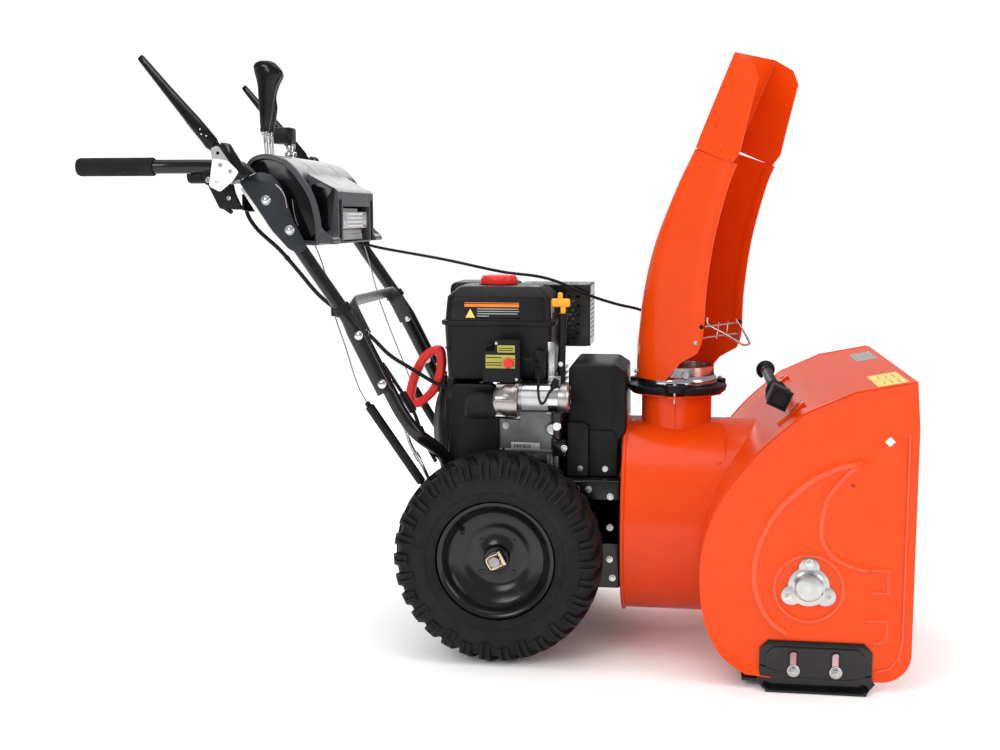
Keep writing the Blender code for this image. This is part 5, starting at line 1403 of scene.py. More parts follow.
for i in range(8):
    angle = 2 * math.pi * (i + 0.5) / 8
    spot = Vector((-0.1255, 0.046 * math.sin(angle), CRANK_Z + 0.046 * math.cos(angle)))
    shape.dome(spot + Vector((-0.0020, 0, 0)), (-1, 0, 0), 0.0040, 0.0010, 16)
shape.turned([(0.020, 0.0), (0.036, 0.0), (0.037, -0.0008), (0.037, -0.0022), (0.020, -0.0022)],
             (-0.1268, 0, CRANK_Z), (1, 0, 0), 64)
piece("recoil_dome", shape, "plastic", "chassis", "recoil_cover", 32)
# A near-black disk behind the cover's slots: painted shade inside the recoil cover.
shape = Shape()
shape.turned([(0.022, 0.0), (0.0635, 0.0), (0.0640, -0.0010), (0.022, -0.0010)],
             (-0.1135, 0, CRANK_Z), (1, 0, 0), 48)
piece("fan_slots_painted_shade", shape, "dark", "chassis")
bolts = Shape()
for angle in (35, 155, 275):
    turn = math.radians(angle)
    bolts.bolt((-0.0990, 0.0925 * math.sin(turn), CRANK_Z + 0.0925 * math.cos(turn)), (-1, 0, 0),
               0.0046)
piece("recoil_bolts", bolts, "zinc", "chassis")
outlet = Shape()
outlet.turned([(0.0030, 0.010), (0.0075, 0.010), (0.0090, 0.008), (0.0095, 0.0), (0.0030, 0.0)],
              (-0.1045, -0.050, 0.4880), (-0.98, 0, 0.199), 28)
piece("recoil_outlet", outlet, "plastic", "chassis")

# Recoil handle: a soft triangular loop.
loop = [(-0.1190, 0.5460), (-0.1440, 0.5330), (-0.1630, 0.5000), (-0.1740, 0.4620),
        (-0.1720, 0.4450), (-0.1590, 0.4420), (-0.1400, 0.4550), (-0.1250, 0.4740),
        (-0.1160, 0.4980), (-0.1130, 0.5240)]
line = smooth_loop([(x, -0.050, z) for x, z in loop], 6)
section = rounded((-0.0130, -0.0080), (0.0130, 0.0080), 0.0045, 4)
shape = Shape().tube(line, 0, closed=True, profile=section, up=(0, 1, 0))
shape.rod((-0.1125, -0.050, 0.500), (-0.1035, -0.050, 0.498), 0.0060, 20, 0.001)
piece("recoil_pull_loop", shape, "red", "pull_ring", "recoil_handle", 50)

# Fuel tank.
TANK_X = (-0.101, 0.113)
TANK_Y = (-0.130, 0.054)
TANK_SEAM = 0.603
TANK_TOP = 0.671
TANK_BOTTOM = 0.497
FILLER = (-0.004, -0.030)


def tank_level(height, shrink, corner):
    low = (TANK_X[0] + shrink, TANK_Y[0] + shrink)
    high = (TANK_X[1] - shrink, TANK_Y[1] - shrink)
    return [Vector((x, y, height)) for x, y in rounded(low, high, corner, 8)]


levels = [
    (0.4975, 0.018, 0.010), (0.4985, 0.014, 0.012), (0.503, 0.0115, 0.013), (0.520, 0.0105, 0.014),
    (0.560, 0.0080, 0.016), (0.590, 0.0062, 0.018), (0.5985, 0.0058, 0.018), (0.5995, 0.0012, 0.020),
    (0.6010, 0.0002, 0.021), (0.6060, 0.0, 0.021), (0.6078, 0.0010, 0.020), (0.6090, 0.0060, 0.018),
    (0.6110, 0.0070, 0.018), (0.6400, 0.0090, 0.019), (0.6510, 0.0102, 0.019),
    (0.6530, 0.0115, 0.019), (0.6680, 0.0280, 0.015), (0.6698, 0.0305, 0.015), (0.6706, 0.0340, 0.015),
    (0.6710, 0.0420, 0.015),
]
tank = Shape().loft([tank_level(*row) for row in levels])
scoop = Shape().rod((*FILLER, TANK_TOP - 0.006), (*FILLER, TANK_TOP + 0.02), 0.0400, 64, 0)
tank = boolean(tank, scoop)
tank.turned([(0.0285, TANK_TOP - 0.0002), (0.0300, TANK_TOP - 0.0010), (0.0310, TANK_TOP - 0.0062),
             (0.020, TANK_TOP - 0.0062), (0.020, TANK_TOP - 0.0002)], (*FILLER, 0), (0, 0, 1), 48)
# Pressed lines on the near side of the tank's lower half.
for x0, z0, x1, z1 in ((-0.0440, 0.5930, -0.0120, 0.5480), (-0.092, 0.5590, -0.086, 0.5510)):
    tank.tube([(x0, TANK_Y[0] + 0.0072, z0), ((x0 + x1) / 2, TANK_Y[0] + 0.0088, (z0 + z1) / 2),
               (x1, TANK_Y[0] + 0.0108, z1)], 0.0012, 8)
piece("tank_shell", tank, "plastic", "chassis", "fuel_tank", 32)

cap_profile = [(0, 0.0182), (0.0120, 0.0184), (0.0200, 0.0182), (0.0275, 0.0172), (0.0305, 0.0145),
               (0.0314, 0.0110), (0.0318, 0.0015), (0.0310, 0.0), (0.0200, 0.0), (0.0200, -0.0060),
               (0, -0.0060)]
cap_profile = [(radius * 1.08, height) for radius, height in cap_profile]
cap = Shape().turned(cap_profile, (*FILLER, TANK_TOP + 0.0003), (0, 0, 1), 64)
for i in range(36):
    angle = 2 * math.pi * i / 36
    out = Vector((math.cos(angle), math.sin(angle), 0))
    spot = Vector((*FILLER, TANK_TOP + 0.0018)) + out * 0.0340
    cap.rod(spot, spot + Vector((0, 0, 0.0088)), 0.0011, 8, 0.0004)
cap.turned([(0, 0.0008), (0.0150, 0.0008), (0.0165, 0.0), (0, 0.0)],
           (*FILLER, TANK_TOP + 0.0170), (0, 0, 1), 48)
piece("tank_cap_top", cap, "red", "tank_cap", "fuel_cap", 35)

# Plain stickers on the tank: an orange bar, a triangle and grey lines, with no lettering.


def tank_quad(shape, x0, z0, x1, z1, depth=0.0003):
    """A thin patch on the tank's slightly leaning near face."""
    def skin(x, z, out):
        return (x, TANK_Y[0] + 0.0072 + (z - 0.610) * 0.077 - out, z)
    shape.loft([[skin(x0, z0, d), skin(x1, z0, d), skin(x1, z1, d), skin(x0, z1, d)]
                for d in (0.00005, depth)])
    return shape


piece("tank_sticker_base", tank_quad(Shape(), -0.0575, 0.6120, 0.0475, 0.6430), "dark", "chassis")
piece("tank_sticker_bar", tank_quad(Shape(), -0.0560, 0.6335, 0.0458, 0.6415, 0.0005),
      "label_orange", "chassis")
shape = Shape()
apex, base_z, mid = 0.6300, 0.6125, -0.0450
shape.loft([[(mid - 0.0095, TANK_Y[0] + 0.0078 - d, base_z), (mid + 0.0095, TANK_Y[0] + 0.0078 - d,
                                                               base_z),
             (mid, TANK_Y[0] + 0.0090 - d, apex)] for d in (0.0001, 0.0007)])
piece("tank_sticker_triangle", shape, "label_gold", "chassis")
shape = Shape()
for row, reach in enumerate((0.0185, 0.0200, 0.0170, 0.0040)):
    z = 0.6290 - row * 0.0044
    tank_quad(shape, -0.0320, z, reach + 0.0260 - (0.040 if row == 3 else 0), z + 0.0018, 0.0006)
piece("tank_sticker_lines", shape, "grey_print_and_painted_shade", "chassis")
shape = Shape()
for y0, y1 in ((-0.112, -0.100), (-0.094, -0.070)):
    shape.loft([[(TANK_X[1] - 0.0078 + d, y0, 0.612), (TANK_X[1] - 0.0078 + d, y1, 0.612),
                 (TANK_X[1] - 0.0096 + d, y1, 0.644), (TANK_X[1] - 0.0096 + d, y0, 0.644)]
                for d in (0.0, 0.0006)])
piece("tank_side_labels", shape, "grey_print_and_painted_shade", "chassis")

# Carburettor cover and silencer guard on the far side.
low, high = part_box("carburettor_cover")
shape = Shape()
shape.box((low.x, low.y, low.z), (high.x, high.y, high.z), 0.014, None, 5)
for i in range(5):
    z = 0.530 + i * 0.022
    shape.box((low.x + 0.020, high.y - 0.0015, z), (high.x - 0.020, high.y, z + 0.006), 0.0008)
shape.box((low.x + 0.0, low.y + 0.030, 0.545), (low.x + 0.0015, high.y - 0.030, 0.625), 0.0006)
piece("carburettor_box", shape, "plastic", "chassis", "carburettor_cover", 32)
shape = Shape().rod((-0.050, 0.110, 0.6690), (-0.050, 0.110, 0.6700), 0.0060, 20, 0.0004)
shape.dome((-0.050, 0.110, 0.6695), (0, 0, 1), 0.0075, 0.0004, 24)
piece("carburettor_knob", shape, "zinc", "chassis")

low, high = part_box("muffler_guard")


def perforated(low_ab, high_ab, pitch_a, pitch_b, size_a, size_b):
    """Staggered slots over a rectangle, as hole outlines."""
    holes = []
    row = 0
    b = low_ab[1] + size_b
    while b < high_ab[1] - size_b:
        a = low_ab[0] + size_a + (pitch_a / 2 if row % 2 else 0)
        while a < high_ab[0] - size_a:
            holes.append(rounded((a - size_a / 2, b - size_b / 2), (a + size_a / 2, b + size_b / 2),
                                 min(size_a, size_b) * 0.45, 2))
            a += pitch_a
        b += pitch_b
        row += 1
    return holes


shape = Shape()
wall = 0.0016
holes_x = perforated((low.y + 0.012, low.z + 0.012), (high.y - 0.012, high.z - 0.012), 0.0150,
                     0.0090, 0.0090, 0.0046)
holes_y = perforated((low.x + 0.012, low.z + 0.012), (high.x - 0.012, high.z - 0.012), 0.0150,
                     0.0090, 0.0090, 0.0046)
holes_z = perforated((low.x + 0.016, low.y + 0.016), (high.x - 0.016, high.y - 0.016), 0.0150,
                     0.0100, 0.0090, 0.0046)
face_x = rounded((low.y + 0.004, low.z), (high.y - 0.004, high.z - 0.004), 0.004, 3)
face_y_loop = rounded((low.x + 0.004, low.z), (high.x - 0.004, high.z - 0.004), 0.004, 3)
face_z = rounded((low.x + 0.004, low.y + 0.004), (high.x - 0.004, high.y - 0.004), 0.004, 3)
shape.plate(face_x, "X", high.x - wall, high.x, 0, holes_x)
shape.plate(face_x, "X", low.x, low.x + wall, 0, holes_x)
shape.plate(face_y_loop, "Y", high.y - wall, high.y, 0, holes_y)
shape.plate(face_y_loop, "Y", low.y, low.y + wall, 0, holes_y)
shape.plate(face_z, "Z", high.z - wall, high.z, 0, holes_z)
edge = [(low.x + 0.003, low.y + 0.003), (high.x - 0.003, low.y + 0.003),
        (high.x - 0.003, high.y - 0.003), (low.x + 0.003, high.y - 0.003)]
for (ax, ay), (bx, by) in zip(edge, edge[1:] + edge[:1]):
    shape.rod((ax, ay, high.z - 0.0032), (bx, by, high.z - 0.0032), 0.0030, 12)
    shape.rod((ax, ay, low.z + 0.003), (ax, ay, high.z - 0.0032), 0.0030, 12)
    shape.rod((ax, ay, low.z + 0.003), (bx, by, low.z + 0.003), 0.0024, 12)
piece("silencer_guard", shape, "black_paint", "chassis", "muffler_guard", 30)
shape = Shape()
shape.box((low.x + 0.016, low.y + 0.014, low.z + 0.002), (high.x - 0.016, high.y - 0.014,
                                                         high.z - 0.014), 0.018, None, 5)
shape.rod(((low.x + high.x) / 2, 0.115, 0.494), ((low.x + high.x) / 2, 0.115, low.z + 0.01), 0.014,
          28)
piece("silencer_can", shape, "steel", "chassis")
hook = smooth_line([(high.x - 0.004, low.y + 0.010, high.z - 0.026),
                    (high.x - 0.001, low.y + 0.004, high.z - 0.012),
                    (high.x - 0.004, low.y + 0.004, high.z - 0.002)], 4)
piece("guard_clip", Shape().tube(hook, 0.0016, 8), "black_paint", "chassis")

# Switch panel, stop key, fan-side fittings.
PANEL_Y = -0.165
shape = Shape()
outline = softened([(-0.015, 0.4990), (0.0530, 0.4990), (0.0530, 0.5765), (0.0060, 0.5765),
                    (0.0060, 0.5560), (-0.015, 0.5560)], 0.003, 3)
shape.plate(outline, "Y", PANEL_Y + 0.0004, -0.1305, 0.0018)
shape.plate(softened([(-0.0110, 0.5020), (0.0490, 0.5020), (0.0490, 0.5730), (0.0095, 0.5730),
                      (0.0095, 0.5520), (-0.0110, 0.5520)], 0.002, 2), "Y", PANEL_Y, PANEL_Y + 0.002,
            0.0006)
shape.tube(smooth_line([(-0.012, -0.140, 0.5570), (-0.006, -0.140, 0.5640), (0.006, -0.140, 0.5680),
                        (0.014, -0.140, 0.5780)], 4), 0.0022, 10)
piece("switch_panel", shape, "plastic", "chassis", "control_panel", 32)
shape = Shape()
shape.box((-0.0095, PANEL_Y - 0.0004, 0.5250), (0.0445, PANEL_Y + 0.0004, 0.5495), 0.0002)
shape.box((0.0120, PANEL_Y - 0.0004, 0.5540), (0.0440, PANEL_Y + 0.0004, 0.5670), 0.0002)
piece("panel_labels", shape, "label_yellow", "chassis")
shape = Shape()
for x, z, r in ((0.0100, 0.5705, 0.0028), (0.0470, 0.5050, 0.0028)):
    shape.dome((x, PANEL_Y + 0.0002, z), (0, -1, 0), r, 0.0012, 20)
piece("panel_screws", shape, "chrome", "chassis")
shape = Shape()
for z in (0.5300, 0.5345, 0.5440):
    shape.box((-0.0080, PANEL_Y - 0.0006, z), (0.0200, PANEL_Y - 0.0003, z + 0.0014), 0)
for z in (0.5570, 0.5610):
    shape.box((0.0150, PANEL_Y - 0.0006, z), (0.0410, PANEL_Y - 0.0003, z + 0.0014), 0)
for i in range(3):
    shape.box((0.0415, PANEL_Y - 0.0006, 0.5290 + i * 0.006), (0.0435, PANEL_Y - 0.0003,
                                                               0.5310 + i * 0.006), 0)
piece("panel_marks", shape, "dark", "chassis")
shape = Shape().turned([(0, 0.0100), (0.0060, 0.0100), (0.0085, 0.0090), (0.0094, 0.0065),
                        (0.0094, 0.0010), (0.0088, 0.0003), (0.0040, 0.0003), (0.0040, -0.017),
                        (0, -0.017)], (0.033, PANEL_Y, 0.535), (0, -1, 0), 40)
piece("stop_key_head", shape, "red", "stop_key", "engine_key", 35)

# Electric starter: boot, flared nose, body with band and sticker, end cap, bolts.
START_Y, START_Z = -0.155, 0.4715
NOSE_Z = 0.4640
BOOT_Z = 0.4545
shape = Shape()
shape.turned([(0, 0.0060), (0.0250, 0.0060), (0.0290, 0.0110), (0.0300, 0.0180), (0.0330, 0.0240),
              (0.0340, 0.0300), (0.0340, 0.0440), (0.0310, 0.0500), (0, 0.0520)][::-1],
             (0, START_Y, NOSE_Z), (1, 0, 0), 56)
for angle in (15, 75, 145, 215, 300):
    turn = math.radians(angle)
    shape.box((0.0100, -0.0050, 0.0270), (0.0460, 0.0050, 0.0345), 0.0018,
              Matrix.Translation((0, START_Y, NOSE_Z)) @ Matrix.Rotation(turn, 4, "X"))
for angle in (105, 250):
    turn = math.radians(angle)
    spot = Vector((0.0440, START_Y + 0.0300 * math.cos(turn), NOSE_Z + 0.0300 * math.sin(turn)))
    shape.rod(spot, spot + Vector((0.0110, 0, 0)), 0.0050, 20)
shape.box((0.0080, START_Y + 0.010, NOSE_Z - 0.020), (0.0500, -0.1000, NOSE_Z + 0.0180), 0.006)
piece("starter_castings", shape, "nickel", "chassis", "starter_motor", 32)
shape = Shape().turned([(0, 0.0515), (0.0272, 0.0515), (0.0272, 0.1240), (0, 0.1240)][::-1],
                       (0, START_Y, START_Z), (1, 0, 0), 56)
piece("starter_body", shape, "chrome", "chassis")
shape = Shape().turned([(0, 0.1240), (0.0266, 0.1240), (0.0272, 0.1255), (0.0272, 0.1395),
                        (0.0250, 0.1430), (0.0080, 0.1440), (0, 0.1440)][::-1],
                       (0, START_Y, START_Z), (1, 0, 0), 56)
shape.turned([(0.0272, 0.0520), (0.0280, 0.0530), (0.0280, 0.0570), (0.0272, 0.0580)],
             (0, START_Y, START_Z), (1, 0, 0), 56)
piece("starter_end", shape, "nickel", "chassis")
shape = Shape()
STICKER_STEPS = 9
for i in range(STICKER_STEPS):
    quad = []
    for x, step in ((0.0580, i), (0.0580, i + 1), (0.1060, i + 1), (0.1060, i)):
        angle = math.radians(150 + step * 9)
        quad.append(Vector((x, START_Y + 0.0275 * math.cos(angle), START_Z + 0.0275 * math.sin(angle))))
    centre = Vector((0, START_Y, START_Z))
    inner = [Vector((p.x, *(centre + (p - centre) * 0.985).yz)) for p in quad]
    shape.loft([inner, quad])
piece("starter_sticker", shape, "label_silver", "chassis")
shape = Shape()
for angle in (60, 150, 240, 330):
    turn = math.radians(angle)
    spot = Vector((0.1430, START_Y + 0.0190 * math.cos(turn), START_Z + 0.0190 * math.sin(turn)))
    shape.rod(spot, spot + Vector((0.0012, 0, 0)), 0.0032, 16)
piece("starter_screws", shape, "zinc", "chassis")
shape = Shape()
shape.turned([(0, -0.0470), (0.0200, -0.0470), (0.0235, -0.0440), (0.0250, -0.0360), (0.0250, -0.0180),
              (0.0235, -0.0080), (0.0225, -0.0020), (0.0250, 0.0020), (0.0250, 0.0100), (0, 0.0115)][::-1],
             (0, START_Y, BOOT_Z), (1, 0, 0), 48)
piece("starter_boot", shape, "rubber", "chassis")
wire = [(0.0820, -0.1330, 0.5300), (0.0870, -0.1600, 0.5120), (0.0880, -0.1790, 0.4900),
        (0.0910, -0.1835, 0.4720), (0.0950, -0.1850, 0.4640), (0.1010, -0.1840, 0.4680),
        (0.1080, -0.1810, 0.4830), (0.1160, -0.1740, 0.4960)]
shape = Shape().tube(smooth_line(wire, 5), 0.0021, 12)
shape.turned([(0.0, 0.008), (0.0055, 0.008), (0.0065, 0.004), (0.0055, -0.006), (0.0035, -0.010),
              (0, -0.010)], (0.1175, -0.1700, 0.5000), (0.6, 0.3, 1), 24)
shape.rod((0.1180, -0.1680, 0.4880), (0.1180, -0.1640, 0.5010), 0.0058, 20)
wire = [(0.0530, -0.1500, 0.5450), (0.0640, -0.1540, 0.5400), (0.0740, -0.1500, 0.5420),
        (0.0820, -0.1400, 0.5360), (0.0840, -0.1280, 0.5220)]
shape.tube(smooth_line(wire, 5), 0.0019, 10)
shape.box((0.0770, -0.1380, 0.5020), (0.0960, -0.1180, 0.5560), 0.0030)
piece("starter_leads", shape, "plastic", "chassis")

# Control rods and brackets between the engine and the belt cover.
shape = Shape()
shape.box((0.0990, -0.1200, 0.4880), (0.1120, -0.1140, 0.5700), 0.0010)
shape.box((0.1010, -0.1260, 0.4900), (0.1240, -0.1200, 0.5080), 0.0010)
piece("engine_bracket", shape, "zinc", "chassis")
shape = Shape()
shape.rod((0.1180, -0.1220, 0.4550), (0.1180, -0.1220, 0.4200), 0.0110, 28, 0.002)
shape.rod((0.1180, -0.1260, 0.4180), (0.1180, -0.1260, 0.3900), 0.0075, 24, 0.002)
shape.box((0.1080, -0.1180, 0.3560), (0.1330, -0.1120, 0.3880), 0.0020)
piece("drain_fittings", shape, "black_paint", "chassis")
shape = Shape()
shape.rod((0.1180, -0.1340, 0.4150), (0.1180, -0.1220, 0.4150), 0.0085, 28, 0.001)
shape.bolt((0.1300, -0.1180, 0.3720), (0, -1, 0), 0.0056)
shape.bolt((0.1240, -0.1260, 0.5300), (0, -1, 0), 0.0040)
piece("drain_bolts", shape, "chrome", "chassis")

# Belt cover: a box with a chamfered front corner and a lower step.
COVER_X = (0.134, 0.2420)
COVER_HALF = 0.100
COVER_TOP = 0.527


def cover_rows(shrink, lift_by):
    """The cover's near outline in X and Z, with its front corner cut."""
    return [(COVER_X[0] + shrink, TOWER_TOP + 0.0006), (0.2315 - shrink, TOWER_TOP + 0.0006),
            (0.2315 - shrink, 0.3850), (COVER_X[1] + 0.0020 - shrink, 0.4030),
            (COVER_X[1] - shrink, 0.5134 - lift_by), (0.2210 - shrink, COVER_TOP - lift_by),
            (0.1440 + shrink, COVER_TOP - lift_by), (0.1360 + shrink, 0.5190 - lift_by)]


loops = []
for y, shrink, lift_by in ((-0.1000, 0.0055, 0.0055), (-0.0985, 0.0022, 0.0022),
                           (-0.0940, 0.0, 0.0), (0.0940, 0.0, 0.0), (0.0985, 0.0022, 0.0022),
                           (0.1000, 0.0055, 0.0055)):
    loops.append([Vector((x, y, z)) for x, z in softened(cover_rows(shrink, lift_by), 0.004, 3)])
shell = Shape().loft(loops)
room = Shape().box((COVER_X[0] + 0.009, -0.0960, TOWER_TOP - 0.010),
                   (0.2280, 0.0960, COVER_TOP - 0.036), 0)
shell = boolean(shell, room)
shell = boolean(shell, Shape().rod((COVER_X[0] - 0.01, 0, CRANK_Z), (COVER_X[0] + 0.01, 0, CRANK_Z),
                                   0.016, 40, 0))
for sign in (-1, 1):
    low, high = sorted((sign * 0.0990, sign * 0.1150))
    shell.plate(softened([(COVER_X[0] + 0.002, TOWER_TOP + 0.0010), (0.1750, TOWER_TOP + 0.0010),
                          (0.1750, 0.4120), (0.1680, 0.4200), (COVER_X[0] + 0.002, 0.4200)], 0.004),
                "Y", low, high, 0.0025)
    low, high = sorted((sign * 0.0990, sign * 0.1075))
    shell.plate(softened([(0.1740, TOWER_TOP + 0.0010), (0.2290, TOWER_TOP + 0.0010),
                          (0.2290, 0.3860), (0.2220, 0.4050), (0.1740, 0.4050)], 0.004),
                "Y", low, high, 0.0025)
    low, high = sorted((sign * 0.0990, sign * 0.1015))
    shell.plate(softened([(0.2195, 0.4100), (0.2225, 0.4100), (0.2225, 0.5020), (0.2195, 0.5020)],
                         0.001, 2), "Y", low, high, 0.0008)
piece("belt_cover_shell", shell, "plastic", "chassis", "belt_cover", 30)
shape = Shape()
for sign in (-1, 1):
    shape.bolt((0.2060, sign * 0.1072, 0.3330), (0, sign, 0), 0.0050)
    shape.bolt((0.1600, sign * 0.1148, 0.3340), (0, sign, 0), 0.0050)
piece("belt_cover_bolts", shape, "zinc", "chassis")

# ------------------------------------------------------------------ handles

TUBE = 0.0125
HANDLE_Y = 0.2185
LOWER_HANDLE_Y = 0.193
GRIP_Y = 0.262
GRIP_Z = 0.887
GRIP_X = (-0.735, -0.590)
UPPER_ROUTE = [(-0.732, 0.262, 0.887), (-0.575, 0.262, 0.887), (-0.500, 0.236, 0.888),
               (-0.455, 0.221, 0.889), (-0.436, 0.2185, 0.882), (-0.411, 0.2185, 0.850),
               (-0.338, 0.2185, 0.741), (-0.257, 0.2185, 0.626), (-0.235, 0.2185, 0.585),
               (-0.184, 0.2185, 0.484)]
LOWER_ROUTE = [(-0.250, 0.193, 0.614), (-0.187, 0.193, 0.492), (-0.160, 0.193, 0.440),
               (-0.132, 0.193, 0.404), (-0.106, 0.152, 0.374), (-0.092, 0.127, 0.350),
               (-0.087, 0.125, 0.325), (-0.087, 0.125, 0.2865)]


def bent(points, reach, steps=7):
    """The line with each corner turned into a bend that starts reach before it."""
    points = [Vector(p) for p in points]
    line = [points[0]]
    for before, here, after in zip(points, points[1:], points[2:]):
        a_reach = min(reach, (before - here).length * 0.48)
        b_reach = min(reach, (after - here).length * 0.48)
        start = here + (before - here).normalized() * a_reach
        end = here + (after - here).normalized() * b_reach
        for i in range(steps + 1):
            t = i / steps
            line.append(start * (1 - t) ** 2 + here * 2 * t * (1 - t) + end * t * t)
    return line + [points[-1]]


def flattened_tube(route, radius, flat_from, flat_radius):
    """A tube whose last stretch, past flat_from along it, is pressed to an oval."""
    shape = Shape()
    points = [Vector(p) for p in route]
    rings = []
    sides = 24
    run = 0.0
    normal = Vector((0, 1, 0))
    for i, point in enumerate(points):
        if i:
            run += (point - points[i - 1]).length
        before, after = points[max(i - 1, 0)], points[min(i + 1, len(points) - 1)]
        along = (after - before).normalized()
        side = (normal - along * normal.dot(along)).normalized()
        other = along.cross(side)
        share = min(max((run - flat_from) / 0.030, 0.0), 1.0)
        across = radius + (flat_radius - radius) * share
        wide = radius + 0.0035 * share
        rings.append([point + side * across * math.cos(2 * math.pi * k / sides)
                      + other * wide * math.sin(2 * math.pi * k / sides) for k in range(sides)])
    return shape.loft(rings)


def densified(points, step):
    points = [Vector(p) for p in points]
    line = [points[0]]
    for a, b in zip(points, points[1:]):
        count = max(1, int((b - a).length / step))
        line += [a + (b - a) * (i + 1) / count for i in range(count)]
    return line


for side, sign in SIDES.items():
    route = densified(bent([(x, sign * y, z) for x, y, z in UPPER_ROUTE], 0.030), 0.012)
    total = sum((b - a).length for a, b in zip(route, route[1:]))
    shape = flattened_tube(route, TUBE, total - 0.150, 0.0095)
    piece(f"upper_tube_{side}", shape, "black_paint", "chassis", f"upper_handle_{side}", 40)
    route = bent([(x, sign * y, z) for x, y, z in LOWER_ROUTE], 0.022)
    shape = Shape().tube(route, TUBE, 24)
    along = (Vector(LOWER_ROUTE[1]) - Vector(LOWER_ROUTE[0])).normalized()
    shape.turned([(0.0105, 0.0), (TUBE, 0.0), (TUBE + 0.0005, 0.0012), (TUBE, 0.003), (0.0105, 0.003)],
                 (LOWER_ROUTE[0][0], sign * LOWER_ROUTE[0][1], LOWER_ROUTE[0][2]),
                 (along.x, 0, along.z), 28)
    piece(f"lower_tube_{side}", shape, "black_paint", "chassis", f"lower_handle_{side}", 40)
    bolts = Shape()
    for x, z in ((-0.2300, 0.5870), (-0.1880, 0.5000)):
        spot = Vector((x, sign * 0.2275, z))
        bolts.dome(spot, (0, sign, 0), 0.0085, 0.0042, 32)
        bolts.rod(spot - Vector((0, sign * 0.003, 0)), spot, 0.0085, 32, 0.0)
        inner = Vector((x, sign * (LOWER_HANDLE_Y - TUBE), z))
        bolts.bolt(inner, (0, -sign, 0), 0.0065)
    piece(f"handle_bolts_{side}", bolts, "chrome", "chassis")
    # Grip: a soft tube with shallow rings and a round end.
    back, front = GRIP_X
    profile = [(0.0, 0.0005), (0.0110, 0.0005), (0.0145, 0.0020), (0.0162, 0.0060)]
    reach = front - back
    for i in range(46):
        spot = 0.008 + i * (reach - 0.022) / 45
        profile += [(0.0165, spot), (0.0159, spot + 0.0012), (0.0159, spot + 0.0018)]
    profile += [(0.0165, reach - 0.012), (0.0165, reach - 0.002), (0.0150, reach), (0.0127, reach),
                (0.0127, reach - 0.02), (0, reach - 0.02)]
    shape = Shape().turned(profile[::-1], (back, sign * GRIP_Y, GRIP_Z), (1, 0, 0), 40)
    piece(f"grip_sleeve_{side}", shape, "rubber", "chassis", f"grip_{side}", 25)
    clamp = Shape()
    spot = Vector((-0.2620, sign * HANDLE_Y, 0.6330))
    along = (Vector((-0.257, 0, 0.626)) - Vector((-0.338, 0, 0.741))).normalized()
    clamp.turned([(TUBE, 0.0075), (TUBE + 0.0030, 0.0075), (TUBE + 0.0040, 0.0060),
                  (TUBE + 0.0040, -0.0060), (TUBE + 0.0030, -0.0075), (TUBE, -0.0075)], spot, along, 32)
    clamp.box((spot.x - 0.020, spot.y - 0.006, spot.z - 0.012), (spot.x - 0.010, spot.y + 0.006,
                                                                 spot.z + 0.004), 0.002)
    piece(f"handle_clamp_{side}", clamp, "plastic", "chassis")

# The flat bar between the handles.
inner = LOWER_HANDLE_Y - TUBE - 0.0005
foot, head = Vector((-0.232, 0, 0.583)), Vector((-0.262, 0, 0.643))
route = bent([foot + Vector((0, -inner + 0.002, 0)), head + Vector((0, -inner + 0.002, 0)),
              head + Vector((0, inner - 0.002, 0)), foot + Vector((0, inner - 0.002, 0))], 0.034, 12)
bar_width = Vector((0.60, 0, 0.80)).normalized()
section = rounded((-0.0140, -0.0020), (0.0140, 0.0020), 0.0012, 3)
shape = Shape().tube(densified(route, 0.02), 0, profile=section, up=bar_width)
piece("handle_cross_bar", shape, "satin", "chassis", "handle_brace", 40)

# ------------------------------------------------------------------ clutch levers

